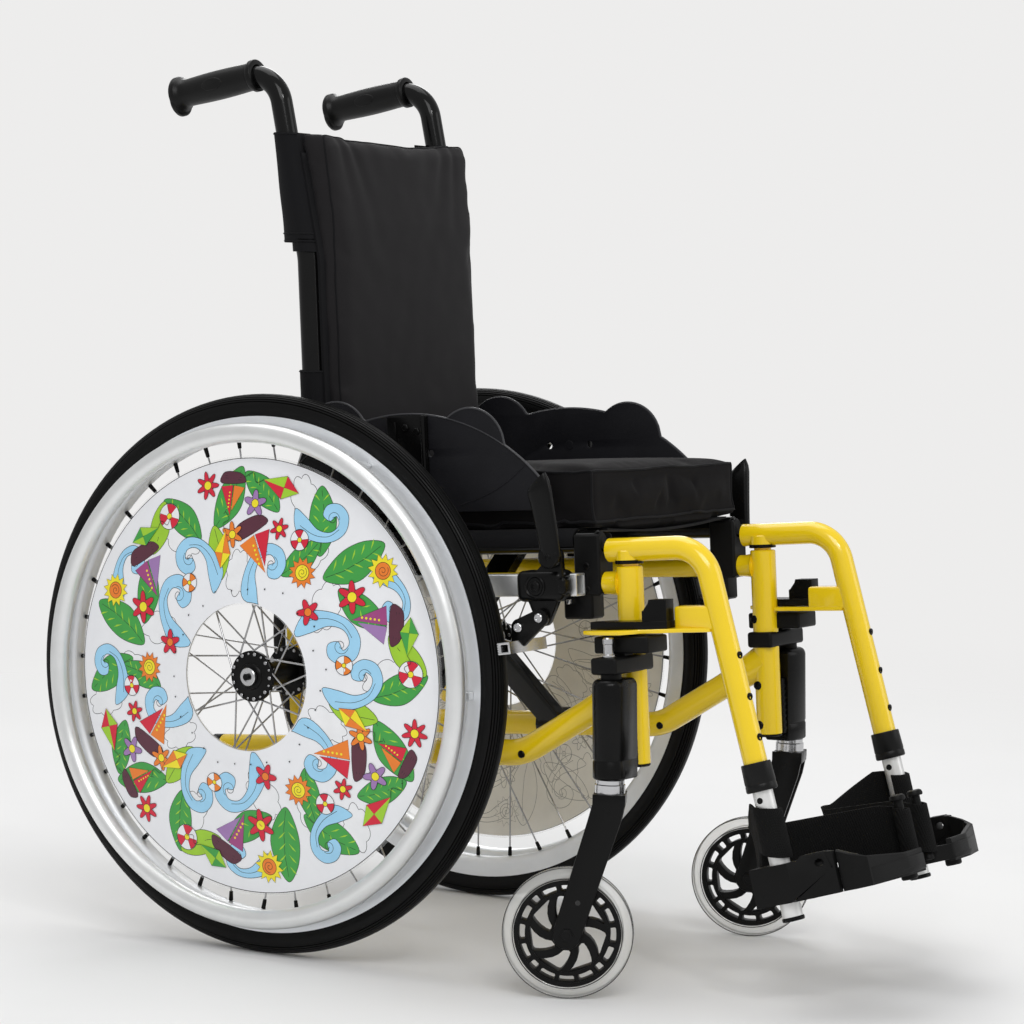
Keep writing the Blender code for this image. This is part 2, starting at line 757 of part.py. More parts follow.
def spoke_ends(flange_x, k, count=SPOKES_PER_FLANGE):
    """Both ends of one spoke in the wheel's plane, and the side of its flange that it leaves."""
    leading = k % 2 == 0
    root_x = flange_x + (SPOKE_HEAD_OFFSET if leading else -SPOKE_HEAD_OFFSET)
    start = 2 * math.pi * k / count + (0 if flange_x > WHEEL_X else math.pi / count)
    end = start + (SPOKE_LACE_ANGLE if leading else -SPOKE_LACE_ANGLE)
    reach = (RIM_INNER_RADIUS - GAP) * math.cos(math.pi / WHEEL_STEPS) - SPOKE_RADIUS / 2
    root = Vector((root_x, AXLE_Y + SPOKE_ROOT_RADIUS * math.cos(start),
                   AXLE_Z + SPOKE_ROOT_RADIUS * math.sin(start)))
    tip_x = WHEEL_X + (SPOKE_TIP_OFFSET if leading else -SPOKE_TIP_OFFSET)
    tip = Vector((tip_x, AXLE_Y + reach * math.cos(end), AXLE_Z + reach * math.sin(end)))
    return root, tip


def spoke_at(radius, k):
    """Where spoke k of the outer flange crosses a radius."""
    root, tip = spoke_ends(FLANGE_OUTER_X, k)
    low, high = 0.0, 1.0
    for _ in range(30):
        middle = (low + high) / 2
        place = root.lerp(tip, middle)
        if math.hypot(place.y - AXLE_Y, place.z - AXLE_Z) < radius:
            low = middle
        else:
            high = middle
    return root.lerp(tip, low)


def hub():
    """The hub shell with its two flanges and all spokes, bored through for the axle."""
    bore = AXLE_RADIUS + GAP
    outer = [(HUB_END_RADIUS, HUB_INNER_X)]
    for flange_x in (FLANGE_INNER_X, FLANGE_OUTER_X):
        outer += [(HUB_BARREL_RADIUS, flange_x - FLANGE_HALF), (FLANGE_RADIUS, flange_x - FLANGE_HALF),
                  (FLANGE_RADIUS, flange_x + FLANGE_HALF), (HUB_BARREL_RADIUS, flange_x + FLANGE_HALF)]
    outer.append((HUB_END_RADIUS, HUB_OUTER_X))
    profile = outer + [(bore, HUB_OUTER_X), (bore, HUB_INNER_X)]
    made = turned(profile, HUB_STEPS, wheel_matrix())
    spokes = []
    for flange_x in (FLANGE_INNER_X, FLANGE_OUTER_X):
        for k in range(SPOKES_PER_FLANGE):
            root, tip = spoke_ends(flange_x, k)
            spokes.append(rod(root, tip, SPOKE_RADIUS, sides=3))
    return fuse(made, *spokes)


def spoke_guard():
    """A shallow cone of clear sheet, held on the outer spokes by small clips round its hole."""
    wall = GUARD_THICKNESS
    profile = [(GUARD_HOLE_RADIUS, GUARD_HOLE_X - wall), (GUARD_RADIUS, GUARD_RIM_X - wall),
               (GUARD_RADIUS, GUARD_RIM_X), (GUARD_HOLE_RADIUS, GUARD_HOLE_X)]
    made = turned(profile, WHEEL_STEPS, wheel_matrix())
    share = (CLIP_RADIUS - GUARD_HOLE_RADIUS) / (GUARD_RADIUS - GUARD_HOLE_RADIUS)
    sheet_x = GUARD_HOLE_X + (GUARD_RIM_X - GUARD_HOLE_X) * share - wall / 2
    clips = []
    for k in range(0, SPOKES_PER_FLANGE, SPOKES_PER_FLANGE // CLIP_COUNT):
        spot = spoke_at(CLIP_RADIUS, k)
        half = CLIP_WIDTH / 2
        highest = spoke_at(CLIP_RADIUS - CLIP_WIDTH, k).x + SPOKE_RADIUS + GAP
        clips.append(block((highest, spot.y - half, spot.z - half),
                           (sheet_x, spot.y + half, spot.z + half)))
    return fuse(made, *clips)


def quick_release():
    head = HUB_OUTER_X + GAP
    tip = head + AXLE_HEAD_LENGTH
    profile = [(0, AXLE_INNER_X), (AXLE_RADIUS, AXLE_INNER_X), (AXLE_RADIUS, head),
               (AXLE_HEAD_RADIUS, head), (AXLE_HEAD_RADIUS, tip), (AXLE_BUTTON_RADIUS, tip),
               (AXLE_BUTTON_RADIUS, tip + AXLE_BUTTON_LENGTH), (0, tip + AXLE_BUTTON_LENGTH)]
    return turned(profile, HUB_STEPS, wheel_matrix(), closed=False)


# Side frame

def ellipse_ring(centre, across, upwards, half_across, half_up, count=16):
    steps = [2 * math.pi * k / count for k in range(count)]
    return [centre + across * half_across * math.cos(a) + upwards * half_up * math.sin(a)
            for a in steps]


def side_frame():
    """Post, side tubes, upright with the cane's socket, and axle plate, welded together."""
    made = rod(framed(FRAME_X, POST_F, POST_LOW_U), framed(FRAME_X, POST_F, POST_TOP_U),
               POST_RADIUS, 16)
    upper = rod(framed(FRAME_X, UPRIGHT_F, UPPER_U), framed(FRAME_X, POST_F, UPPER_U),
                UPPER_RADIUS, 12)
    weld_f = POST_F - POST_RADIUS
    weld = rod(framed(FRAME_X, weld_f - UPPER_WELD_LENGTH, UPPER_U), framed(FRAME_X, POST_F, UPPER_U),
               UPPER_RADIUS * 1.04, 12, end_radius=UPPER_WELD_RADIUS)
    line = [framed(FRAME_X, LOWER_REAR_F - LOWER_CAP_LENGTH, LOWER_U),
            framed(FRAME_X, LOWER_BEND_F, LOWER_U), framed(FRAME_X, POST_F, LOWER_JOIN_U)]
    lower = tube(bent(line, [LOWER_BEND_RADIUS], 2), LOWER_RADIUS, 4)
    slope = (line[2] - line[1]).normalized()
    across = Vector((1, 0, 0))
    upwards = across.cross(slope).normalized()
    start = line[2] - slope * LOWER_FLARE_LENGTH
    wide = LOWER_RADIUS * LOWER_FLARE_SPREAD
    flare = loft([ellipse_ring(start, across, upwards, wide, wide, 12),
                  ellipse_ring(line[2], across, upwards, wide, LOWER_FLARE_HEIGHT, 12)])
    upright = rod(framed(FRAME_X, UPRIGHT_F, LOWER_U), framed(FRAME_X, UPRIGHT_F, UPRIGHT_TOP_U),
                  UPRIGHT_RADIUS, 12)
    holes = [circle((0, k * PLATE_HOLE_PITCH), PLATE_HOLE_RADIUS, 8) for k in (-1, 1)]
    axle_plate = plate(rounded([(PLATE_BACK_F, -PLATE_HALF_HEIGHT), (UPRIGHT_F, -PLATE_HALF_HEIGHT),
                                (UPRIGHT_F, PLATE_HALF_HEIGHT), (PLATE_BACK_F, PLATE_HALF_HEIGHT)],
                               PLATE_CORNER, 2), PLATE_THICKNESS,
                       frame_slab(FRAME_X - PLATE_THICKNESS / 2), holes)
    receiver = rod(chair(RECEIVER_INNER_X, 0, AXLE_Z), chair(RECEIVER_OUTER_X, 0, AXLE_Z),
                   RECEIVER_RADIUS, 12)
    made = fuse(made, upper, weld, lower, flare, upright, axle_plate, receiver)
    socket = rod(framed(FRAME_X, UPRIGHT_F, SOCKET_FLOOR_U),
                 framed(FRAME_X, UPRIGHT_F, UPRIGHT_TOP_U + BEYOND), CANE_RADIUS + GAP, 24)
    post_bore = rod(framed(FRAME_X, POST_F, POST_TOP_U - POST_BORE_DEPTH),
                    framed(FRAME_X, POST_F, POST_TOP_U + BEYOND), POST_BORE_RADIUS, 12)
    axle_bore = rod(chair(RECEIVER_INNER_X - BEYOND, 0, AXLE_Z), chair(RECEIVER_OUTER_X + BEYOND, 0, AXLE_Z),
                    AXLE_RADIUS + GAP, 12)
    return cut(made, socket, post_bore, axle_bore)


# Back canes and push grips

def cane_path(end_share):
    """The cane's middle line, up to a share of the grip's length."""
    foot = framed(FRAME_X, UPRIGHT_F, SOCKET_FLOOR_U + GAP)
    knee = chair(FRAME_X, CANE_KNEE_Y, CANE_KNEE_Z)
    crest = chair(FRAME_X, CANE_CREST_Y, CANE_CREST_Z)
    front = chair(FRAME_X, GRIP_FRONT_Y, GRIP_FRONT_Z)
    rear = chair(FRAME_X, GRIP_REAR_Y, GRIP_REAR_Z)
    way = (rear - front).normalized()
    end = rear - way * (GRIP_END_WALL if end_share == 1 else 0)
    return bent([foot, knee, crest, end], [CANE_KNEE_RADIUS, CANE_CREST_RADIUS], 4)


def back_cane():
    path = cane_path(1)
    path[-1] = path[-1] + (path[-2] - path[-1]).normalized() * GAP
    return tube(path, CANE_RADIUS, 3)


def push_grip():
    front = chair(FRAME_X, GRIP_FRONT_Y, GRIP_FRONT_Z)
    rear = chair(FRAME_X, GRIP_REAR_Y, GRIP_REAR_Z)
    length = (rear - front).length
    flange = length - GRIP_FLANGE_LENGTH
    collar = GRIP_COLLAR_LENGTH
    profile = [(0, 0), (GRIP_COLLAR_RADIUS, 0), (GRIP_COLLAR_RADIUS, collar),
               (GRIP_WAIST_RADIUS, collar), (GRIP_RADIUS, length / 2),
               (GRIP_WAIST_RADIUS, flange - 0.006), (GRIP_FLANGE_RADIUS, flange),
               (GRIP_FLANGE_RADIUS, length), (0, length)]
    made = turned(profile, 12, along(front, rear), closed=False)
    lip_centre = rear - (rear - front).normalized() * GRIP_FLANGE_LENGTH
    down = Vector((0, 0, -GRIP_LIP_DROP))
    lip = rod(lip_centre + down, rear + down, GRIP_FLANGE_RADIUS - 0.002, 12)
    bore = tube(cane_path(1), CANE_RADIUS + GAP, 3)
    return cut(fuse(made, lip), bore)


# Clothes guards

def arch(centre, radius, y):
    """The height of a circle's upper half over a point y."""
    inside = radius ** 2 - (y - centre[0]) ** 2
    return centre[1] + math.sqrt(inside) if inside > 0 else -1.0


def clothes_guard():
    """A panel whose top edge is one long arc with a round hump at each end, and its bracket."""
    def flat(y, z):
        local = FRAME.inverted() @ chair(0, y, z)
        return -local.y, local.z

    arcs = [((PANEL_ARC_Y, PANEL_ARC_Z), PANEL_ARC_RADIUS), ((HUMP_FRONT_Y, HUMP_Z), HUMP_RADIUS),
            ((HUMP_REAR_Y, HUMP_Z), HUMP_RADIUS)]
    span = 28
    low_y = PANEL_ARC_Y - PANEL_ARC_RADIUS * math.cos(math.radians(38))
    high_y = HUMP_REAR_Y + HUMP_RADIUS * 0.9
    top = []
    for k in range(span + 1):
        y = low_y + (high_y - low_y) * k / span
        top.append(flat(y, max(arch(centre, radius, y) for centre, radius in arcs)))
    outline = [(top[0][0], PANEL_LOW_U), *top, (PANEL_REAR_F, PANEL_LOW_U)]
    holes = [circle((PANEL_HOLE_F + side * PANEL_HOLE_SPAN / 2, PANEL_HOLE_U), PANEL_HOLE_RADIUS, 8)
             for side in (-1, 1)]
    panel = plate(outline, PANEL_THICKNESS, frame_slab(PANEL_INNER_X), holes)
    bracket_x = PANEL_INNER_X + PANEL_THICKNESS - GAP
    strap = plate([(BRACKET_REAR_F, PANEL_LOW_U + 0.02), (BRACKET_STEM_REAR_F, PANEL_LOW_U),
                   (BRACKET_STEM_REAR_F, UPPER_U + RAIL_HEIGHT / 2 + GAP),
                   (BRACKET_STEM_FRONT_F, UPPER_U + RAIL_HEIGHT / 2 + GAP),
                   (BRACKET_STEM_FRONT_F, PANEL_LOW_U), (BRACKET_FRONT_F, PANEL_LOW_U + 0.02),
                   (BRACKET_FRONT_F, BRACKET_TOP_U), (BRACKET_REAR_F, BRACKET_TOP_U)],
                  BRACKET_THICKNESS, frame_slab(bracket_x))
    return fuse(panel, strap)


# Brakes

def rail_low_x():
    return FRAME_X + UPPER_RADIUS + GAP


def brake_rail():
    low = rail_low_x()
    outer = block((low, -RAIL_FRONT_F, UPPER_U - RAIL_HEIGHT / 2),
                  (low + RAIL_WIDTH, -RAIL_REAR_F, UPPER_U + RAIL_HEIGHT / 2), FRAME)
    wall = RAIL_WALL
    inner = block((low + wall, -RAIL_FRONT_F - 0.01, UPPER_U - RAIL_HEIGHT / 2 + wall),
                  (low + RAIL_WIDTH - wall, -RAIL_REAR_F + 0.01, UPPER_U + RAIL_HEIGHT / 2 - wall), FRAME)
    return cut(outer, inner)


def brake_body():
    """A clamp round the rail, with the ears that carry the lever and the shoe's arm."""
    rail_out = rail_low_x() + RAIL_WIDTH
    half = RAIL_HEIGHT / 2 + GAP
    clamp = block((rail_out - BODY_LIP_DEPTH, -BODY_FRONT_F, UPPER_U - half - BODY_LIP),
                  (BODY_OUTER_X, -BODY_REAR_F, UPPER_U + half + BODY_LIP), FRAME, BODY_LIP / 2, 1)
    ears = plate([(BODY_REAR_F + 0.006, UPPER_U),
                  *arc((SHOE_PIVOT_F, SHOE_PIVOT_U), BOSS_RADIUS, 210, 330, 4),
                  (BODY_FRONT_F - 0.004, UPPER_U),
                  *arc((LEVER_PIVOT_F, LEVER_PIVOT_U), BOSS_RADIUS, -20, 200, 6)],
                 BODY_PLATE_THICKNESS, frame_slab(BODY_PLATE_X))
    seat = rod(framed(BODY_PLATE_X + 0.001, LEVER_PIVOT_F, LEVER_PIVOT_U),
               framed(LEVER_ROOT_X - GAP, LEVER_PIVOT_F, LEVER_PIVOT_U), LEVER_SEAT_RADIUS, 10)
    made = fuse(clamp, ears, seat)
    notch = block((rail_low_x() - 0.01, -BODY_FRONT_F - 0.01, UPPER_U - half),
                  (rail_out + GAP, -BODY_REAR_F + 0.01, UPPER_U + half), FRAME)
    recess = rod(framed(BODY_OUTER_X - BODY_RECESS_DEPTH, BODY_RECESS_F, UPPER_U),
                 framed(BODY_OUTER_X + BEYOND, BODY_RECESS_F, UPPER_U), BODY_RECESS_RADIUS, 12)
    return cut(made, notch, recess)


def brake_lever():
    """A paddle that leans outwards from its pivot and ends in a slanted tip."""
    low_f, low_u = LEVER_PIVOT_F, LEVER_PIVOT_U
    sections = []
    for share in (0.0, 0.35, 0.8, 1.0):
        f = low_f + (LEVER_TIP_F - low_f) * share
        u = low_u + (LEVER_TIP_U - low_u) * share
        root_x = LEVER_ROOT_X + LEVER_THICKNESS / 2
        x = root_x + (LEVER_TOP_X - root_x) * share ** 1.3
        half = LEVER_ROOT_HALF + (LEVER_TIP_HALF - LEVER_ROOT_HALF) * share
        thick = (LEVER_THICKNESS + (LEVER_TIP_THICKNESS - LEVER_THICKNESS) * share) / 2
        slant = LEVER_TIP_SLANT * share ** 4
        corner = thick * 0.6
        ring = [(-half + corner, -thick), (half - corner, -thick), (half, 0), (half - corner, thick),
                (-half + corner, thick), (-half, 0)]
        sections.append([framed(x + side, f + forward, u + slant * forward / half) for forward, side in ring])
    paddle = loft(sections)
    boss = rod(framed(LEVER_ROOT_X, low_f, low_u), framed(LEVER_ROOT_X + LEVER_THICKNESS, low_f, low_u),
               LEVER_ROOT_HALF, 12)
    head = rod(framed(LEVER_ROOT_X, low_f, low_u),
               framed(LEVER_ROOT_X + LEVER_THICKNESS + SCREW_HEIGHT, low_f, low_u), SCREW_RADIUS, 8)
    return fuse(paddle, boss, head)


def brake_shoe():
    """The toothed bar that presses on the tyre, and the arm that carries it."""
    reach = math.hypot(WHEEL_RADIUS, 0) + SHOE_CLEARANCE
    face_f = math.sqrt(reach ** 2 - SHOE_U ** 2)
    turn = math.atan2(SHOE_U, face_f)
    radial = Matrix.Translation((0, AXLE_Y, AXLE_Z)) @ Matrix.Rotation(-TILT - turn, 4, "X")
    pitch = SHOE_HEIGHT / SHOE_TEETH
    outline = [(reach + SHOE_DEPTH, -SHOE_HEIGHT / 2), (reach + SHOE_DEPTH, SHOE_HEIGHT / 2)]
    for k in range(SHOE_TEETH):
        high = SHOE_HEIGHT / 2 - k * pitch
        outline += [(reach + 0.0012, high), (reach, high - pitch / 2)]
    outline.append((reach + 0.0012, -SHOE_HEIGHT / 2))
    lay = radial @ Matrix(((0, 0, 1, SHOE_INNER_X), (-1, 0, 0, 0), (0, 1, 0, 0), (0, 0, 0, 1)))
    bar = plate(outline, SHOE_OUTER_X - SHOE_INNER_X, lay)
    bar_f = (reach + SHOE_DEPTH / 2) * math.cos(turn)
    arm_x = SHOE_ARM_X
    arm = plate([*arc((SHOE_PIVOT_F, SHOE_PIVOT_U), BOSS_RADIUS, -60, 100, 5),
                 *arc((SHOE_LINK_F, SHOE_LINK_U), BOSS_RADIUS, 100, 200, 4),
                 (bar_f - 0.006, SHOE_U), (bar_f + 0.006, SHOE_U)],
                SHOE_ARM_THICKNESS, frame_slab(arm_x))
    screws = [rod(framed(arm_x + 0.001, f, u), framed(arm_x + SHOE_ARM_THICKNESS + SCREW_HEIGHT, f, u),
                  SCREW_RADIUS, 8)
              for f, u in ((SHOE_PIVOT_F, SHOE_PIVOT_U), (SHOE_LINK_F, SHOE_LINK_U))]
    return fuse(bar, arm, *screws)


# Seat rails, rail blocks and cross brace

def rail_block():
    """A saddle clamped over the upper side tube, with an open channel for the seat rail."""
    reach = FRAME_X + UPPER_RADIUS
    body = block((FRAME_X - BLOCK_WALL, -BLOCK_FRONT_F, BLOCK_LOW_U),
                 (FRAME_X + BLOCK_WALL - 0.0012, -BLOCK_REAR_F, BLOCK_TOP_U), FRAME, 0.002, 1)
    foot = block((FRAME_X - BLOCK_WALL + 0.002, -BLOCK_FOOT_FRONT_F, BLOCK_FOOT_LOW_U),
                 (reach, -BLOCK_FOOT_REAR_F, UPPER_U), FRAME, 0.002, 1)
    made = fuse(body, foot)
    tube_bore = rod(framed(FRAME_X, BLOCK_FOOT_REAR_F - 0.02, UPPER_U),
                    framed(FRAME_X, BLOCK_FRONT_F + 0.02, UPPER_U), UPPER_RADIUS + GAP, 16)
    seat_bore = rod(framed(FRAME_X, BLOCK_FOOT_REAR_F - 0.02, SEAT_RAIL_U),
                    framed(FRAME_X, BLOCK_FRONT_F + 0.02, SEAT_RAIL_U), SEAT_RAIL_RADIUS + GAP, 16)
    mouth = block((FRAME_X - SEAT_RAIL_RADIUS - GAP, -BLOCK_FRONT_F - 0.02, SEAT_RAIL_U),
                  (FRAME_X + SEAT_RAIL_RADIUS + GAP, -BLOCK_REAR_F + 0.02, BLOCK_TOP_U + 0.02), FRAME)
    return cut(made, tube_bore, seat_bore, mouth)


def seat_rail():
    front = SEAT_RAIL_FRONT_F
    profile = [(0, SEAT_RAIL_REAR_F), (SEAT_RAIL_RADIUS, SEAT_RAIL_REAR_F), (SEAT_RAIL_RADIUS, front),
               (SEAT_PLUG_RADIUS, front), (SEAT_PLUG_RADIUS - 0.002, front + SEAT_PLUG_LENGTH),
               (0, front + SEAT_PLUG_LENGTH)]
    rear = framed(FRAME_X, 0, SEAT_RAIL_U)
    return turned(profile, 12, along(rear, framed(FRAME_X, 1, SEAT_RAIL_U)), closed=False)


def cross_bar(lower_side, middle_f):
    """A flat bar from a sleeve round one lower side tube to the other side's seat rail."""
    low_f, high_f = middle_f - BAR_WIDTH / 2, middle_f + BAR_WIDTH / 2
    foot = framed(lower_side * FRAME_X, 0, LOWER_U)
    head = framed(-lower_side * FRAME_X, 0, SEAT_RAIL_U)
    way = (head - foot).normalized()
    forward = (framed(0, 1, 0) - framed(0, 0, 0)).normalized()
    across = forward.cross(way)
    turn = Matrix((way, forward, across)).transposed().to_4x4()
    place = Matrix.Translation(foot) @ turn
    bar = block((0, low_f, -BAR_THICKNESS / 2), (BAR_LENGTH, high_f, BAR_THICKNESS / 2), place, 0.002, 1)
    sleeve = rod(framed(lower_side * FRAME_X, low_f - SLEEVE_OVERHANG, LOWER_U),
                 framed(lower_side * FRAME_X, high_f + SLEEVE_OVERHANG, LOWER_U), SLEEVE_RADIUS, 16)
    made = fuse(bar, sleeve)
    reach = 0.02
    bore = rod(framed(lower_side * FRAME_X, low_f - reach, LOWER_U),
               framed(lower_side * FRAME_X, high_f + reach, LOWER_U), LOWER_RADIUS + GAP, 16)
    saddle = rod(framed(-lower_side * FRAME_X, low_f - reach, SEAT_RAIL_U),
                 framed(-lower_side * FRAME_X, high_f + reach, SEAT_RAIL_U), SEAT_RAIL_RADIUS + GAP, 16)
    bolt_hole = rod(framed(0, low_f - reach, BAR_CENTRE_U), framed(0, high_f + reach, BAR_CENTRE_U),
                    CROSS_BOLT_RADIUS + GAP, 10)
    return cut(made, bore, saddle, bolt_hole)


def cross_bolt():
    rear = BAR_A_F - BAR_WIDTH / 2 - GAP
    front = BAR_B_F + BAR_WIDTH / 2 + GAP
    head = CROSS_HEAD_LENGTH
    profile = [(0, rear - head), (CROSS_HEAD_RADIUS, rear - head), (CROSS_HEAD_RADIUS, rear),
               (CROSS_BOLT_RADIUS, rear), (CROSS_BOLT_RADIUS, front), (CROSS_HEAD_RADIUS, front),
               (CROSS_HEAD_RADIUS, front + head), (0, front + head)]
    start = framed(0, 0, BAR_CENTRE_U)
    return turned(profile, 10, along(start, framed(0, 1, BAR_CENTRE_U)), closed=False)


# Casters, modelled round the swivel axis with the wheel trailing to the rear

def caster_housing():
    """The bearing cover beside the post, its ribbed strip, the clamp, the pin and the shelf."""
    post_side = HOUSING_STRIP_INNER_X + 0.006
    base = chair(SWIVEL_X, SWIVEL_Y, HOUSING_LOW_Z)
    lean = Matrix.Translation(base) @ Matrix.Rotation(-HOUSING_LEAN, 4, "X")
    radius = HOUSING_RADIUS
    inner = post_side - SWIVEL_X
    outline = [(inner, -radius + 0.004), (inner + 0.006, -radius), *arc((0, 0), radius, -90, 90, 6),
               (inner + 0.006, radius), (inner, radius - 0.004)]
    top = framed(SWIVEL_X, POST_F, HOUSING_TOP_U).z
    bottom = -0.004
    height = top - HOUSING_LOW_Z - bottom
    cover = plate(outline, height, lean @ Matrix.Translation((0, 0, bottom)))
    bm = bmesh.new()
    bm.from_mesh(cover.data)
    lid = [e for e in bm.edges if all((lean.inverted() @ v.co).z > height + bottom - 0.001 for v in e.verts)
           and len({round(f.normal.z, 2) for f in e.link_faces}) > 1]
    bmesh.ops.bevel(bm, geom=lid, offset=HOUSING_ROUND, segments=1, affect="EDGES")
    bpy.data.objects.remove(cover)
    cover = mesh_object(bm)
    strip_low, strip_high = HOUSING_STRIP_LOW_U, HOUSING_STRIP_TOP_U
    strip = block((HOUSING_STRIP_INNER_X, -POST_F - HOUSING_STRIP_HALF, strip_low),
                  (post_side + 0.004, -POST_F + HOUSING_STRIP_HALF, strip_high), FRAME)
    neck = rod(framed(SWIVEL_X - 0.004, POST_F + 0.001, HOUSING_TOP_U - 0.012),
               framed(SWIVEL_X - 0.004, POST_F + 0.001, CLAMP_LOW_U + 0.002), NECK_RADIUS, 12)
    clamp = block((CLAMP_INNER_X, -CLAMP_FRONT_F, CLAMP_LOW_U), (CLAMP_OUTER_X, -CLAMP_REAR_F, CLAMP_TOP_U),
                  FRAME, 0.003, 1)
    pin = rod(framed(PIN_X, PIN_F, CLAMP_TOP_U - 0.002), framed(PIN_X, PIN_F, PIN_TOP_U), PIN_RADIUS, 12)
    shelf = block((FRAME_X, -SHELF_FRONT_F, SHELF_LOW_U), (SHELF_OUTER_X, -SHELF_REAR_F, SHELF_TOP_U),
                  FRAME, 0.002, 1)
    stay = block((FRAME_X + POST_RADIUS + 0.004, -CLAMP_FRONT_F + 0.004, CLAMP_TOP_U - 0.003),
                 (SHELF_OUTER_X - 0.006, -CLAMP_REAR_F - 0.004, SHELF_LOW_U + 0.003), FRAME)
    made = fuse(cover, strip, neck, clamp, pin, shelf, stay)
    post = rod(framed(FRAME_X, POST_F, POST_LOW_U - 0.02), framed(FRAME_X, POST_F, POST_TOP_U),
               POST_RADIUS + GAP, 16)
    level = block((SWIVEL_X - 0.05, AXLE_Y + SWIVEL_Y - 0.05, HOUSING_LOW_Z - 0.03),
                  (SWIVEL_X + 0.05, AXLE_Y + SWIVEL_Y + 0.05, HOUSING_LOW_Z))
    stem_bore = rod(chair(SWIVEL_X, SWIVEL_Y, HOUSING_LOW_Z - BEYOND),
                    chair(SWIVEL_X, SWIVEL_Y, STEM_TOP_Z + GAP), STEM_RADIUS + GAP, 12)
    return cut(made, post, level, stem_bore)


def side_slab(x):
    """Lays a flat outline of (y, z) points across the caster's own axes at x."""
    return Matrix(((0, 0, 1, x), (1, 0, 0, 0), (0, 1, 0, 0), (0, 0, 0, 1)))


def caster_fork():
    """A flat fork with its axle bolt, and the silver sleeve and stem on top of it."""
    width = FORK_SLOT_HALF + FORK_BLADE
    axle = (CASTER_TRAIL, CASTER_RADIUS)
    outline = [(-FORK_HALF_LENGTH, FORK_TOP_Z), (-FORK_HALF_LENGTH, FORK_NECK_Z),
               *arc(axle, FORK_END_RADIUS, 205, 385, 6),
               (FORK_HALF_LENGTH, FORK_NECK_Z + 0.008), (FORK_HALF_LENGTH, FORK_TOP_Z)]
    made = plate(outline, 2 * width, side_slab(-width))
    slot = block((-FORK_SLOT_HALF, -0.1, -0.01), (FORK_SLOT_HALF, 0.1, FORK_CROWN_LOW_Z))
    made = cut(made, slot)
    bolt = rod((-width - FORK_NUT_LENGTH, *axle), (width + FORK_NUT_LENGTH, *axle), FORK_BOLT_RADIUS, 10)
    nuts = [rod((side * (width - 0.001), *axle), (side * (width + FORK_NUT_LENGTH), *axle),
                FORK_NUT_RADIUS, 6) for side in (-1, 1)]
    sleeve = rod((0, 0, FORK_TOP_Z - 0.002), (0, 0, SLEEVE_TOP_Z), SLEEVE_LOW_RADIUS, 16)
    stem = rod((0, 0, SLEEVE_TOP_Z - 0.002), (0, 0, STEM_TOP_Z), STEM_RADIUS, 12)
    return fuse(made, bolt, *nuts, sleeve, stem)


def caster_wheel_matrix():
    return Matrix.Translation((0, CASTER_TRAIL, CASTER_RADIUS)) @ Matrix.Rotation(math.pi / 2, 4, "Y")


def caster_tyre():
    half = [(CASTER_TYRE_INNER, CASTER_HUB_HALF), (CASTER_RADIUS - CASTER_TREAD_DROP, CASTER_HALF_WIDTH),
            (CASTER_RADIUS, CASTER_TREAD_HALF)]
    profile = half + [(radius, -x) for radius, x in reversed(half)]
    return turned(profile, CASTER_STEPS, caster_wheel_matrix())


def caster_hub():
    """A moulded disc with swept windows between its spokes."""
    holes = []
    for k in range(CASTER_SPOKES):
        start = 2 * math.pi * k / CASTER_SPOKES
        half = math.pi / CASTER_SPOKES * CASTER_WINDOW_SHARE
        window = []
        for share, side in ((0, -1), (0.5, -1), (1, -1), (1, 1), (0.5, 1), (0, 1)):
            radius = CASTER_WINDOW_IN + (CASTER_WINDOW_OUT - CASTER_WINDOW_IN) * share
            angle = start + CASTER_WINDOW_SWEEP * share + side * half * (0.7 + 0.3 * share)
            window.append((radius * math.cos(angle), radius * math.sin(angle)))
        holes.append(window)
    outer = CASTER_TYRE_INNER - GAP
    disc = plate(circle((0, 0), outer, CASTER_STEPS), 2 * CASTER_HUB_HALF,
                 caster_wheel_matrix() @ Matrix.Translation((0, 0, -CASTER_HUB_HALF)), holes)
    centre = caster_wheel_matrix()
    core = rod(centre @ Vector((0, 0, -CASTER_CORE_HALF)), centre @ Vector((0, 0, CASTER_CORE_HALF)),
               CASTER_CORE_RADIUS, 12)
    bore = rod(centre @ Vector((0, 0, -0.03)), centre @ Vector((0, 0, 0.03)), CASTER_HUB_BORE, 8)
    return cut(fuse(disc, core), bore)


def place_caster(obj, name, look, pivot):
    """Turns a caster piece to each side's swivel angle, which the photograph shows unequal."""
    for side, swivel in ((1, LEFT_SWIVEL), (-1, RIGHT_SWIVEL)):
        copy = mesh_copy(obj)
        place = Matrix.Translation(chair(side * SWIVEL_X, SWIVEL_Y, 0)) @ Matrix.Rotation(swivel, 4, "Z")
        copy.data.transform(place)
        finish(copy, ("left_" if side > 0 else "right_") + name, look, place @ pivot)
    bpy.data.objects.remove(obj)


def mesh_copy(obj):
    bm = bmesh.new()
    bm.from_mesh(obj.data)
    return mesh_object(bm, obj.matrix_world.copy())


# Hangers, collars and latches

def leg_point(z):
    """A point of the hanger leg's straight middle line, which the footrest tube shares."""
    share = (z - HANGER_END_Z) / (HANGER_CREST_Z - HANGER_END_Z)
    y = HANGER_END_Y + (HANGER_CREST_Y - HANGER_END_Y) * share
    return chair(HANGER_X, y, z)


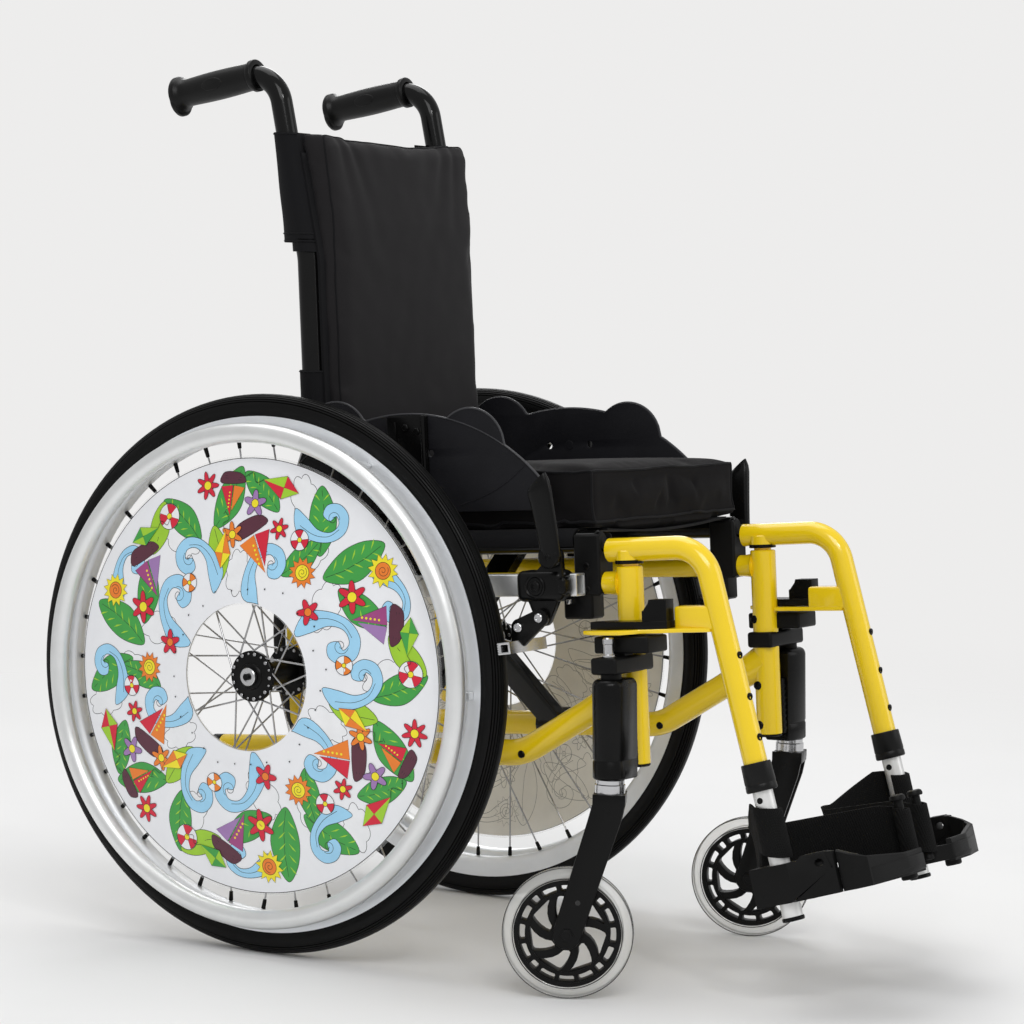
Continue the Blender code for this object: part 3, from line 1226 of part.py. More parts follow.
def hanger():
    """The bent tube with its stem in the post, the swivel plate round the post and the strut."""
    rear = chair(FRAME_X, HANGER_REAR_Y, HANGER_REAR_Z)
    crest = chair(HANGER_X, HANGER_CREST_Y, HANGER_CREST_Z)
    path = bent([rear, crest, leg_point(HANGER_END_Z)], [HANGER_CREST_RADIUS], 6)
    made = tube(path, HANGER_RADIUS, 3)
    tube_low = (FRAME.inverted() @ rear).z - HANGER_RADIUS / 2
    cuff = rod(framed(FRAME_X, POST_F, POST_TOP_U + GAP), framed(FRAME_X, POST_F, tube_low),
               HANGER_CUFF_RADIUS, 12)
    stem = rod(framed(FRAME_X, POST_F, POST_TOP_U - POST_BORE_DEPTH + GAP),
               framed(FRAME_X, POST_F, POST_TOP_U + 0.002), HANGER_STEM_RADIUS, 12)
    clear = POST_RADIUS + 0.0012
    notch = [(x, f) for x, f in arc((FRAME_X, POST_F), clear, -55, 90, 7)]
    swivel = plate([(HANGER_X - STRUT_HALF, PLATE_FRONT_F), (HANGER_X + STRUT_HALF, PLATE_FRONT_F),
                    (PLATE_WAIST_X, PLATE_WAIST_F), (PLATE_SHOULDER_X, PLATE_SHOULDER_F),
                    (PLATE_OUTER_X, PLATE_TIP_FRONT_F), (PLATE_OUTER_X, PLATE_TIP_F),
                    (PLATE_HEEL_X, PLATE_REAR_F), (PLATE_HEEL_INNER_X, PLATE_REAR_F),
                    *notch, (HANGER_X - STRUT_HALF, POST_F + clear)],
                   PLATE_TOP_U - PLATE_LOW_U, frame_shelf(PLATE_LOW_U))
    strut = block((HANGER_X - STRUT_HALF, -PLATE_FRONT_F - 0.004, PLATE_TOP_U - 0.001),
                  (HANGER_X + STRUT_HALF, -STRUT_REAR_F, STRUT_TOP_U), FRAME)
    leg_end = leg_point(HANGER_END_Z)
    leg_way = (crest - leg_end).normalized()
    made = fuse(made, cuff, stem, swivel, strut)
    bore = rod(leg_end - leg_way * 0.01, leg_end + leg_way * HANGER_BORE_LENGTH, FOOT_TUBE_RADIUS + GAP, 16)
    return cut(made, bore)


def hanger_collar():
    """The rubber sleeve round the leg's end, with a lip that closes on the footrest tube."""
    end = leg_point(HANGER_END_Z)
    way = (chair(HANGER_X, HANGER_CREST_Y, HANGER_CREST_Z) - end).normalized()
    start = end - way * COLLAR_LIP
    profile = [(FOOT_TUBE_RADIUS + GAP, 0), (COLLAR_RADIUS - 0.0015, 0), (COLLAR_RADIUS, 0.0015),
               (COLLAR_RADIUS - 0.0008, COLLAR_LENGTH), (HANGER_RADIUS + GAP, COLLAR_LENGTH),
               (HANGER_RADIUS + GAP, COLLAR_LIP - GAP), (FOOT_TUBE_RADIUS + GAP, COLLAR_LIP - GAP)]
    return turned(profile, 16, along(start, end))


def latch_lever():
    """The release lever on the swivel plate, hollowed out round the post."""
    base = PLATE_TOP_U + GAP
    low = plate([(LATCH_INNER_X, LATCH_BLOCK_FRONT_F), (LATCH_BLOCK_OUTER_X, LATCH_BLOCK_FRONT_F),
                 (LATCH_OUTER_X - 0.006, LATCH_BLOCK_REAR_F), (LATCH_OUTER_X, LATCH_CORNER_F),
                 (LATCH_OUTER_X - 0.004, LATCH_REAR_F), (LATCH_OUTER_X - 0.016, LATCH_REAR_F),
                 (FRAME_X, POST_F)],
                LATCH_THICKNESS, frame_shelf(base))
    inset = 2 * GAP
    tall = block((LATCH_INNER_X + inset, inset - LATCH_BLOCK_FRONT_F, base + inset),
                 (LATCH_BLOCK_OUTER_X - inset, -LATCH_BLOCK_REAR_F, LATCH_BLOCK_TOP_U), FRAME)
    made = fuse(low, tall)
    post = rod(framed(FRAME_X, POST_F, 0), framed(FRAME_X, POST_F, POST_TOP_U),
               POST_RADIUS + LATCH_POST_CLEARANCE, 16)
    sweep_f = LATCH_BLOCK_REAR_F - LATCH_SWEEP_BACK
    sweep_u = LATCH_BLOCK_TOP_U + LATCH_SWEEP_RISE
    sweep = rod(framed(LATCH_INNER_X - BEYOND, sweep_f, sweep_u),
                framed(LATCH_OUTER_X + BEYOND, sweep_f, sweep_u), LATCH_SWEEP_RADIUS, 16)
    return cut(made, post, sweep)


# Footrests

def footrest_tube():
    """The silver telescopic tube with its row of adjusting holes and its end cap."""
    low, high = leg_point(FOOT_TUBE_LOW_Z), leg_point(FOOT_TUBE_TOP_Z)
    way = (high - low).normalized()
    made = rod(low, high, FOOT_TUBE_RADIUS, 16)
    cap = rod(low - way * FOOT_CAP_LENGTH / 2, low + way * FOOT_CAP_LENGTH / 2, FOOT_CAP_RADIUS, 16)
    return fuse(made, cap)


def foot_matrix():
    """The footplate's own axes: x outwards, y to the rear along the pitched plate, z square to it."""
    centre = leg_point(FOOT_LEVEL_Z)
    return Matrix.Translation((0, centre.y, centre.z)) @ Matrix.Rotation(-FOOT_PITCH, 4, "X")


def foot_front():
    """The nose's distance in front of the tube, along the pitched plate."""
    reach = leg_point(FOOT_LEVEL_Z).y - (AXLE_Y - FOOT_REACH)
    return (reach - FOOT_PLATE_THICKNESS / 2 * math.sin(FOOT_PITCH)) / math.cos(FOOT_PITCH)


def footrest_lug():
    """The clamp on the tube's lower end, whose outer wall runs forwards along the plate."""
    place = foot_matrix()
    lay = place @ Matrix(((0, 0, 1, 0), (-1, 0, 0, 0), (0, 1, 0, 0), (0, 0, 0, 1)))
    outline = [(-LUG_REAR, -LUG_LOW), (LUG_CHIN, -LUG_LOW), (LUG_FRONT, LUG_NOSE_UP),
               (LUG_HORN_FRONT, LUG_HORN_TOP), (LUG_HORN_REAR, LUG_HORN_TOP),
               (LUG_HORN_REAR - LUG_HORN_SLOPE, LUG_TOP), (-LUG_REAR, LUG_TOP)]
    width = LUG_OUTER_X - LUG_INNER_X
    made = plate(outline, width, lay @ Matrix.Translation((0, 0, LUG_INNER_X)),
                 [circle((LUG_HOLE_G, LUG_HOLE_H), LUG_BORE_RADIUS, 8)])
    ear = FOOT_EAR_LENGTH / 2
    pin_end = ear + FOOT_KNUCKLE_LENGTH + GAP
    pin = rod(place @ Vector((FOOT_HINGE_X, pin_end, 0)), place @ Vector((FOOT_HINGE_X, -pin_end, 0)),
              FOOT_PIN_RADIUS, 10)
    web = block((FOOT_HINGE_X - 0.004, -ear, -0.004), (LUG_INNER_X + 0.002, ear, 0.005), place)
    made = fuse(made, pin, web)
    low, high = leg_point(FOOT_TUBE_LOW_Z - 0.05), leg_point(FOOT_TUBE_LOW_Z + 0.15)
    beyond = 0.1
    corner = LUG_OUTER_X + 0.001
    taper = plate([(corner, -LUG_TAPER_G), (corner - LUG_TAPER_X * beyond, -LUG_TAPER_G - beyond),
                   (corner + beyond, -LUG_TAPER_G - beyond), (corner + beyond, -LUG_TAPER_G)],
                  beyond, place @ Matrix.Translation((0, 0, -beyond / 2)))
    return cut(made, rod(low, high, FOOT_TUBE_RADIUS + GAP, 16), taper)


def foot_outline(inset=0.0):
    """The plate's plan from the hinge inwards, with its slanted nose."""
    front = foot_front() - inset
    hinge = FOOT_HINGE_X + FOOT_HINGE_RADIUS - 0.002 - inset
    rear = FOOT_REAR - inset
    return [(hinge, rear), (hinge, -FOOT_SIDE_LENGTH),
            (FOOT_CORNER_X - inset, -FOOT_CORNER_LENGTH + inset / 2),
            (FOOT_NOSE_OUTER_X - inset * 0.4, -front),
            (FOOT_NOSE_INNER_X + inset * 0.4, -front), (FOOT_INNER_X + inset, -front + FOOT_FLANK),
            (FOOT_INNER_X + inset, rear)]


def footplate():
    """Half of the foot support: a rimmed plate on hinge knuckles, with its loop post and pad."""
    place = foot_matrix()
    low = -FOOT_PLATE_THICKNESS / 2
    made = plate(foot_outline(), FOOT_RIM_HEIGHT, place @ Matrix.Translation((0, 0, low)))
    pocket = plate(foot_outline(FOOT_RIM_WIDTH), FOOT_RIM_HEIGHT,
                   place @ Matrix.Translation((0, 0, low + FOOT_PLATE_THICKNESS)))
    relief = block((FOOT_HINGE_X - FOOT_RELIEF_WIDTH, -FOOT_RELIEF_LENGTH, FOOT_RELIEF_LOW),
                   (FOOT_HINGE_X + FOOT_RELIEF_WIDTH, FOOT_RELIEF_LENGTH, FOOT_RIM_HEIGHT), place)
    made = cut(made, pocket, relief)
    ear = FOOT_EAR_LENGTH / 2
    knuckles = [rod(place @ Vector((FOOT_HINGE_X, side * (ear - 0.003), 0)),
                    place @ Vector((FOOT_HINGE_X, side * (ear + FOOT_KNUCKLE_LENGTH), 0)),
                    FOOT_HINGE_RADIUS, 10)
                for side in (-1, 1)]
    post_y = -foot_front() + KNOB_POST_BACK
    post = rod(place @ Vector((KNOB_X, post_y, 0)), place @ Vector((KNOB_X, post_y, KNOB_POST_HEIGHT)),
               KNOB_POST_RADIUS, 8)
    knob = rod(place @ Vector((KNOB_X, post_y, KNOB_POST_HEIGHT - 0.001)),
               place @ Vector((KNOB_X, post_y, KNOB_POST_HEIGHT + KNOB_HEIGHT)), KNOB_RADIUS, 10,
               end_radius=KNOB_RADIUS * 0.75)
    pad_x = (FOOT_NOSE_OUTER_X + FOOT_NOSE_INNER_X) / 2
    pad_y = -foot_front() + 0.012
    pad = rod(place @ Vector((pad_x, pad_y, 0)), place @ Vector((pad_x, pad_y, low - FOOT_PAD_HEIGHT)),
              FOOT_PAD_RADIUS, 10)
    made = fuse(made, *knuckles, post, knob, pad)
    gap = block((FOOT_HINGE_X - FOOT_HINGE_RADIUS - 0.001, -ear - GAP, -0.02),
                (FOOT_HINGE_X + 0.02, ear + GAP, 0.02), place)
    bore = rod(place @ Vector((FOOT_HINGE_X, 0.05, 0)), place @ Vector((FOOT_HINGE_X, -0.06, 0)),
               FOOT_PIN_RADIUS + GAP, 10)
    return cut(made, gap, bore)


def tangent_angle(start, start_radius, end, end_radius):
    """Where a belt leaves one round for the next, both turned the same way, in degrees."""
    way = end - start
    return math.degrees(math.atan2(way.y, way.x) - math.asin((end_radius - start_radius) / way.length)) - 90


def heel_loop():
    """One webbing band round the footrest tube, sagging back behind the heel to the plate's post."""
    place = foot_matrix()
    middle_z = LOOP_LOW_Z + LOOP_HEIGHT / 2
    post_foot = place @ Vector((KNOB_X, KNOB_POST_BACK - foot_front(), 0))
    post_head = place @ Vector((KNOB_X, KNOB_POST_BACK - foot_front(), KNOB_POST_HEIGHT))
    share = (middle_z - LOOP_POST_DROP - post_foot.z) / (post_head.z - post_foot.z)
    tube_at = leg_point(middle_z).to_2d()
    post_at = post_foot.lerp(post_head, share).to_2d()
    back = Vector((LOOP_BACK_X, AXLE_Y + LOOP_BACK_Y - LOOP_BACK_RADIUS))
    wrap, small = LOOP_WRAP_RADIUS + LOOP_THICKNESS / 2, LOOP_POST_RADIUS + LOOP_THICKNESS / 2
    leave = tangent_angle(tube_at, wrap, back, LOOP_BACK_RADIUS)
    arrive = tangent_angle(back, LOOP_BACK_RADIUS, post_at, small) + 360
    line = arc(tube_at, wrap, leave - LOOP_TUBE_TURN, leave, 8)
    line += arc(back, LOOP_BACK_RADIUS, leave, arrive, 4)
    line += arc(post_at, small, arrive, arrive + LOOP_POST_TURN, 7)
    line = [Vector(point) for point in line]
    sides = ([], [])
    for k, spot in enumerate(line):
        before, after = line[max(k - 1, 0)], line[min(k + 1, len(line) - 1)]
        way = (after - before).normalized()
        square = Vector((-way.y, way.x)) * LOOP_THICKNESS / 2
        sides[0].append(spot + square)
        sides[1].append(spot - square)
    outline = [tuple(point) for point in sides[0]] + [tuple(point) for point in reversed(sides[1])]
    band = plate(outline, LOOP_HEIGHT, Matrix.Translation((0, 0, LOOP_LOW_Z)))
    reach = (tube_at - back).length - 2 * LOOP_WRAP_RADIUS
    lean = math.tan(FOOT_PITCH)
    for vert in band.data.vertices:
        flat = vert.co.to_2d()
        near = max(min((flat - tube_at).length, (flat - post_at).length) - 2 * LOOP_WRAP_RADIUS, 0)
        inwards = min(max((tube_at.x - flat.x) / (tube_at.x - post_at.x), 0), 1)
        vert.co.z -= LOOP_SAG * min(near / reach, 1) ** 2 + LOOP_POST_DROP * inwards
        vert.co.y += lean * (vert.co.z - middle_z)
    return band


# Seat and back

def seat_sling():
    """The seat cloth, sagging between the rails and wrapped over their outer sides."""
    clear, wall = SEAT_RAIL_RADIUS + GAP, SLING_THICKNESS
    spread = 7
    top, under = [], []
    for k in range(spread + 1):
        x = -FRAME_X + 2 * FRAME_X * k / spread
        drop = SLING_SAG * math.sin(math.pi * k / spread)
        top.append((x, SEAT_RAIL_U + clear + wall - drop))
        under.append((x, SEAT_RAIL_U + clear - drop))
    right = arc((FRAME_X, SEAT_RAIL_U), clear + wall, 90, -18, 5)[1:]
    right_back = arc((FRAME_X, SEAT_RAIL_U), clear, -18, 90, 5)[:-1]
    left = arc((-FRAME_X, SEAT_RAIL_U), clear, 90, 198, 5)[1:]
    left_back = arc((-FRAME_X, SEAT_RAIL_U), clear + wall, 198, 90, 5)[:-1]
    outline = top + right + right_back + list(reversed(under)) + left + left_back
    length = SLING_FRONT_F - SLING_REAR_F
    lay = FRAME @ Matrix(((1, 0, 0, 0), (0, 0, -1, -SLING_REAR_F), (0, 1, 0, 0), (0, 0, 0, 1)))
    made = plate(outline, length, lay)
    reach = FRAME_X + clear + wall + 0.01
    inner = FRAME_X - BLOCK_WALL - 0.001
    notches = []
    for side in (-1, 1):
        low_x, high_x = sorted((side * reach, side * inner))
        notches.append(block((low_x, -SLING_FRONT_F - BEYOND, SLING_WRAP_LOW_U - 2 * BEYOND),
                             (high_x, -BLOCK_REAR_F + 2 * GAP, BLOCK_TOP_U + GAP), FRAME))
    return cut(made, *notches)


def seat_cushion():
    """A crowned cushion whose sides are drawn in between its corners."""
    bm = bmesh.new()
    bmesh.ops.create_cube(bm, size=2)
    bmesh.ops.subdivide_edges(bm, edges=bm.edges[:], cuts=CUSHION_CUTS, use_grid_fill=True)
    middle_f = (CUSHION_REAR_F + CUSHION_FRONT_F) / 2
    half_f = (CUSHION_FRONT_F - CUSHION_REAR_F) / 2
    middle_u = (CUSHION_LOW_U + CUSHION_TOP_U) / 2
    half_u = (CUSHION_TOP_U - CUSHION_LOW_U) / 2
    for vert in bm.verts:
        x, y, z = vert.co
        crown = CUSHION_CROWN * (1 - x ** 4) * (1 - y ** 4) if z > 0.9 else 0
        pull = CUSHION_PULL * (1 - z ** 2)
        side = x * (CUSHION_HALF - pull * (1 - y ** 2) * abs(x))
        forward = -y * (half_f - pull * (1 - x ** 2) * abs(y))
        vert.co = framed(side, middle_f + forward, middle_u + z * half_u + crown)
    body = mesh_object(bm)
    soften = body.modifiers.new("soften", "SUBSURF")
    soften.levels = soften.render_levels = 1
    return evaluated(body)


def lower_axis(z):
    """The cane's lower straight part, carried on to height z, as y from the axle."""
    low = framed(FRAME_X, UPRIGHT_F, SOCKET_FLOOR_U)
    share = (z - low.z) / (CANE_KNEE_Z - low.z)
    return low.y - AXLE_Y + (CANE_KNEE_Y - low.y + AXLE_Y) * share


def back_axis(z):
    """The cane's middle line at height z, as y from the axle."""
    if z < CANE_KNEE_Z:
        return lower_axis(z)
    share = (z - CANE_KNEE_Z) / (CANE_CREST_Z - CANE_KNEE_Z)
    return CANE_KNEE_Y + (CANE_CREST_Y - CANE_KNEE_Y) * share


def pad_front(z):
    """The pad's front face at height z, in front of the canes and bent a little higher than they are."""
    if z < PAD_KNEE_Z:
        return lower_axis(z) - PAD_FRONT
    knee = lower_axis(PAD_KNEE_Z) - PAD_FRONT
    return knee + (PAD_TOP_Y - knee) * (z - PAD_KNEE_Z) / (PAD_TOP_Z - PAD_KNEE_Z)


def flap(low_z, high_z, looseness):
    """A sleeve of cloth round the left cane between two heights, wider behind it at the bottom."""
    inner = CANE_RADIUS + FLAP_CLEARANCE
    outer = inner + FLAP_THICKNESS
    levels = [low_z, high_z] + [z for z in (CANE_KNEE_Z, CANE_KNEE_Z + 0.02) if low_z < z < high_z]
    rings = []
    for z in sorted(levels):
        centre = chair(FRAME_X, back_axis(z), z)
        loose = 1 + looseness * (high_z - z) / (high_z - low_z)
        points = [(-FLAP_REACH, -outer), *arc((0, 0), outer, -90, 90, 6), (-FLAP_REACH, outer),
                  (-FLAP_REACH, inner), *arc((0, 0), inner, 90, -90, 6), (-FLAP_REACH, -inner)]
        rings.append([centre + Vector((x, y * loose if y > 0 else y, 0)) for x, y in points])
    return loft(rings)


def back_upholstery():
    """The padded back in front of the canes, with the flaps behind it that wrap round them."""
    rings = []
    levels = [PAD_LOW_Z, PAD_LOW_Z + PAD_EDGE, (PAD_LOW_Z + CANE_KNEE_Z) / 2, CANE_KNEE_Z, PAD_KNEE_Z,
              PAD_TOP_Z - PAD_EDGE, PAD_TOP_Z]
    for z in levels:
        end = z in (PAD_LOW_Z, PAD_TOP_Z)
        front = pad_front(z) + (PAD_EDGE_DROP if end else 0)
        rear = back_axis(z) - CANE_RADIUS - FLAP_CLEARANCE - GAP
        points = []
        for share in (-1, -0.75, -0.25, 0.25, 0.75, 1):
            bulge = PAD_BULGE * (1 - share ** 2) * (0.4 if end else 1)
            points.append((share * PAD_FRONT_HALF, front - bulge))
        for share in (1, 0.5, 0, -0.5, -1):
            points.append((share * PAD_REAR_HALF, rear))
        rings.append([chair(x, y, z) for x, y in points])
    pad = loft(rings)
    flaps = []
    for low_z, high_z, looseness in ((PAD_LOW_Z + 2 * GAP, FLAP_LOW_TOP_Z, 0),
                                     (FLAP_HIGH_LOW_Z, FLAP_HIGH_TOP_Z, FLAP_LOOSENESS)):
        made = flap(low_z, high_z, looseness)
        bm = bmesh.new()
        bm.from_mesh(made.data)
        flaps += [made, mesh_object(bm, Matrix.Diagonal((-1, 1, 1, 1)))]
    return fuse(pad, *flaps)


# Assembly

def build():
    for obj in list(bpy.data.objects):
        bpy.data.objects.remove(obj)
    bpy.context.scene.collection.children.link(PARTS)
    axle = chair(WHEEL_X, 0, AXLE_Z)
    both_sides(tyre(), "tyre", "rubber", axle)
    both_sides(rim(), "rim", "rim_silver", axle)
    both_sides(handrim(), "handrim", "silver", axle)
    both_sides(hub(), "hub", "black_plastic", axle)
    both_sides(spoke_guard(), "spoke_guard", "print_panel", axle)
    both_sides(quick_release(), "quick_release", "silver", axle)
    both_sides(side_frame(), "side_frame", "yellow")
    both_sides(back_cane(), "back_cane", "black_tube")
    both_sides(push_grip(), "push_grip", "rubber")
    both_sides(clothes_guard(), "clothes_guard", "black_plastic",
               framed(FRAME_X, BRACKET_REAR_F, PANEL_LOW_U))
    both_sides(brake_rail(), "brake_rail", "silver")
    both_sides(brake_body(), "brake_body", "black_plastic")
    both_sides(brake_lever(), "brake_lever", "black_plastic",
               framed(LEVER_ROOT_X, LEVER_PIVOT_F, LEVER_PIVOT_U))
    both_sides(brake_shoe(), "brake_shoe", "silver", framed(SHOE_ARM_X, SHOE_PIVOT_F, SHOE_PIVOT_U))
    both_sides(rail_block(), "rail_block", "black_plastic")
    both_sides(seat_rail(), "seat_rail", "black_tube")
    finish(cross_bar(-1, BAR_A_F), "cross_bar_a", "black_tube", framed(-FRAME_X, BAR_A_F, LOWER_U))
    finish(cross_bar(1, BAR_B_F), "cross_bar_b", "black_tube", framed(0, BAR_B_F, BAR_CENTRE_U))
    finish(cross_bolt(), "cross_bolt", "silver", framed(0, BAR_A_F, BAR_CENTRE_U))
    both_sides(caster_housing(), "caster_housing", "black_plastic")
    wheel_centre = Vector((0, CASTER_TRAIL, CASTER_RADIUS))
    place_caster(caster_fork(), "caster_fork", "black_tube", Vector((0, 0, FORK_TOP_Z)))
    place_caster(caster_tyre(), "caster_tyre", "clear", wheel_centre)
    place_caster(caster_hub(), "caster_hub", "black_plastic", wheel_centre)
    post_top = framed(FRAME_X, POST_F, POST_TOP_U)
    both_sides(hanger(), "hanger", "yellow", post_top)
    both_sides(hanger_collar(), "hanger_collar", "rubber", post_top)
    both_sides(latch_lever(), "latch_lever", "black_plastic", post_top)
    both_sides(footrest_tube(), "footrest_tube", "silver", post_top)
    both_sides(footrest_lug(), "footrest_lug", "black_plastic", post_top)
    both_sides(footplate(), "footplate", "black_plastic", foot_matrix() @ Vector((FOOT_HINGE_X, 0, 0)))
    both_sides(heel_loop(), "heel_loop", "webbing")
    finish(seat_sling(), "seat_sling", "fabric")
    finish(seat_cushion(), "seat_cushion", "fabric")
    finish(back_upholstery(), "back_upholstery", "fabric")


build()
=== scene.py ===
"""Looks of the folding active wheelchair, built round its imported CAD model.

Metres, +Z up, the chair looks along -Y and the occupant's right is -X. Most places are given in
the leaning frame's own directions from the rear axle: x outwards, f forwards, u upwards. Side
pieces are made for the left side and mirrored for the right one.
"""
import math
import random

import bmesh
import bpy
from mathutils import Matrix, Vector, noise
from mathutils.bvhtree import BVHTree
from mathutils.geometry import tessellate_polygon


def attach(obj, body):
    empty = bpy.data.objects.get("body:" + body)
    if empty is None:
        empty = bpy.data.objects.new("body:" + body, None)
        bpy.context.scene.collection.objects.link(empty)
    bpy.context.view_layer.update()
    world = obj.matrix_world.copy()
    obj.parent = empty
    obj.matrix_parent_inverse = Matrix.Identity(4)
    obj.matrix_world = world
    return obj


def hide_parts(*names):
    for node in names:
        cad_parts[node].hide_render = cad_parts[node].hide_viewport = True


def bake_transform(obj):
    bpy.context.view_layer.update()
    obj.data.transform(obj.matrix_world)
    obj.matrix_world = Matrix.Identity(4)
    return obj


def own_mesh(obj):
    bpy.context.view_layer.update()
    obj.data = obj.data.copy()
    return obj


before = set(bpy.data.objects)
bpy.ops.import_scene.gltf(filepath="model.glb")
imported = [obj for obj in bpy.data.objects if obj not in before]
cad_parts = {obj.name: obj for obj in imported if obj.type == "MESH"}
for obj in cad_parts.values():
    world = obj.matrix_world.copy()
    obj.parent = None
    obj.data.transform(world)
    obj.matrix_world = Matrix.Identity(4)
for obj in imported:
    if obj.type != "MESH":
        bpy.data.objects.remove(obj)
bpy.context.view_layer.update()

SIDES = (("left", 1), ("right", -1))

# Sizes shared with the solids
GAP = 0.0003
TILT = math.radians(4.2)
FRAME_X = 0.1385
WHEEL_RADIUS = 0.280
FOOT_REACH = 0.6465
AXLE_Y = (FOOT_REACH - WHEEL_RADIUS) / 2
AXLE_Z = WHEEL_RADIUS
FRAME = Matrix.Translation((0, AXLE_Y, AXLE_Z)) @ Matrix.Rotation(-TILT, 4, "X")
WHEEL_X = 0.2022
RIM_INNER = 0.238
UPPER_U = 0.084
LOWER_U = -0.081
POST_F = 0.384
UPRIGHT_F = 0.026
SEAT_RAIL_U = 0.124
CANE_RADIUS = 0.011
TUBE_RADIUS = 0.011
POST_RADIUS = 0.013
FOOT_TUBE_RADIUS = 0.00975
HANGER_X = 0.141
FOOT_PITCH = math.radians(16.0)
RAIL_LOW = FRAME_X + TUBE_RADIUS + GAP
RAIL_HALF = 0.01075
SWIVEL_X = 0.1875
SWIVEL_Y = -0.388
CASTER_RADIUS = 0.0625
CASTER_TRAIL = 0.0367
CASTER_TURN = {"left": math.radians(17.6), "right": math.radians(26.6)}


def framed(x, f, u):
    """A place in the frame's directions: x outwards, f forwards and u upwards from the axle."""
    return FRAME @ Vector((x, -f, u))


def chair(x, y, z):
    """A place in the chair's directions, with y to the rear of the axle and z over the ground."""
    return Vector((x, AXLE_Y + y, z))


def facing_side(x):
    """Axes whose x runs forwards, y upwards and z outwards from the given x."""
    return Matrix(((0, 0, 1, x), (-1, 0, 0, 0), (0, 1, 0, 0), (0, 0, 0, 1)))


def frame_slab(x):
    return FRAME @ facing_side(x)


def frame_shelf(u):
    return FRAME @ Matrix(((1, 0, 0, 0), (0, -1, 0, 0), (0, 0, 1, u), (0, 0, 0, 1)))


def along(start, end):
    """Axes at a start, whose z points to an end."""
    start, end = Vector(start), Vector(end)
    return Matrix.Translation(start) @ (end - start).to_track_quat("Z", "Y").to_matrix().to_4x4()


WHEEL = Matrix.Translation((0, AXLE_Y, AXLE_Z)) @ Matrix.Rotation(math.pi / 2, 4, "Y")


# Materials

LOOKS = {}
NOISE_SCALE = 38.0


def link_or_set(tree, socket, value):
    if isinstance(value, bpy.types.NodeSocket):
        tree.links.new(value, socket)
    else:
        socket.default_value = value


def add_node(tree, kind, **inputs):
    """A shader node whose inputs are set or linked by name."""
    new = tree.nodes.new("ShaderNode" + kind)
    for key, value in inputs.items():
        link_or_set(tree, new.inputs[key.replace("_", " ")], value)
    return new


def maths(tree, operation, *values):
    new = tree.nodes.new("ShaderNodeMath")
    new.operation = operation
    for socket, value in zip(new.inputs, values):
        link_or_set(tree, socket, value)
    return new.outputs[0]


def look(name, slot, colour, roughness, metallic=0.0, grain=0.0, grain_size=0.0005, mottle=0.0, ribs=None,
         **sockets):
    """A Principled material whose colour and roughness vary, with grain or ribs as bump."""
    made = bpy.data.materials.new(name)
    made.use_nodes = True
    tree = made.node_tree
    shader = tree.nodes["Principled BSDF"]
    for socket, value in {"Metallic": metallic, **sockets}.items():
        shader.inputs[socket.replace("_", " ")].default_value = value
    place = tree.nodes.new("ShaderNodeTexCoord").outputs["Object"]
    cloud = add_node(tree, "TexNoise", Vector=place, Scale=NOISE_SCALE, Detail=5.0, Roughness=0.6).outputs[0]
    ramp = add_node(tree, "MapRange", Value=cloud, From_Min=0.3, From_Max=0.7, To_Min=0.0, To_Max=1.0)
    blend = tree.nodes.new("ShaderNodeMix")
    blend.data_type = "RGBA"
    tree.links.new(ramp.outputs[0], blend.inputs["Factor"])
    blend.inputs[6].default_value = (*[c * (1 - mottle) for c in colour], 1)
    blend.inputs[7].default_value = (*[min(c * (1 + mottle), 1.0) for c in colour], 1)
    tree.links.new(blend.outputs[2], shader.inputs["Base Color"])
    vary = add_node(tree, "MapRange", Value=cloud, From_Min=0.3, From_Max=0.7, To_Min=roughness * 0.92,
                    To_Max=min(roughness * 1.08, 1.0))
    tree.links.new(vary.outputs[0], shader.inputs["Roughness"])
    heights = []
    if grain:
        fine = add_node(tree, "TexNoise", Vector=place, Scale=1.0 / grain_size, Detail=3.0)
        heights.append(maths(tree, "MULTIPLY", fine.outputs[0], grain))
    if ribs:
        size, depth, turn = ribs
        turned = add_node(tree, "Mapping", Vector=place, Rotation=turn).outputs[0]
        rows = add_node(tree, "TexWave", Vector=turned, Scale=0.314 / size, Distortion=0.6, Detail_Scale=30.0)
        heights.append(maths(tree, "MULTIPLY", rows.outputs[1], depth))
    if heights:
        total = heights[0]
        for extra in heights[1:]:
            total = maths(tree, "ADD", total, extra)
        bump = add_node(tree, "Bump", Height=total, Strength=1.0, Distance=1.0)
        tree.links.new(bump.outputs[0], shader.inputs["Normal"])
    made["slot"] = slot
    LOOKS[name] = made


look("yellow", "yellow_paint", (0.90, 0.63, 0.006), 0.22, mottle=0.015, grain=0.00003, grain_size=0.004,
     Coat_Weight=0.5, Coat_Roughness=0.08)
look("black_tube", "black_paint", (0.004, 0.004, 0.004), 0.12, mottle=0.1, grain=0.00002, grain_size=0.003,
     Specular_IOR_Level=0.22)
look("black_satin", "black_metal", (0.003, 0.003, 0.003), 0.30, mottle=0.1, Specular_IOR_Level=0.16)
look("plastic", "black_plastic", (0.005, 0.005, 0.005), 0.44, mottle=0.1, grain=0.0001, grain_size=0.0007,
     Specular_IOR_Level=0.14)
look("edge_plastic", "black_plastic", (0.030, 0.030, 0.034), 0.38, mottle=0.1)
look("grained", "black_plastic", (0.008, 0.008, 0.010), 0.52, mottle=0.12, grain=0.0003, grain_size=0.0009,
     Specular_IOR_Level=0.16)
look("smooth_plastic", "black_plastic", (0.003, 0.003, 0.003), 0.26, mottle=0.08, grain=0.00003,
     grain_size=0.002, Specular_IOR_Level=0.16)
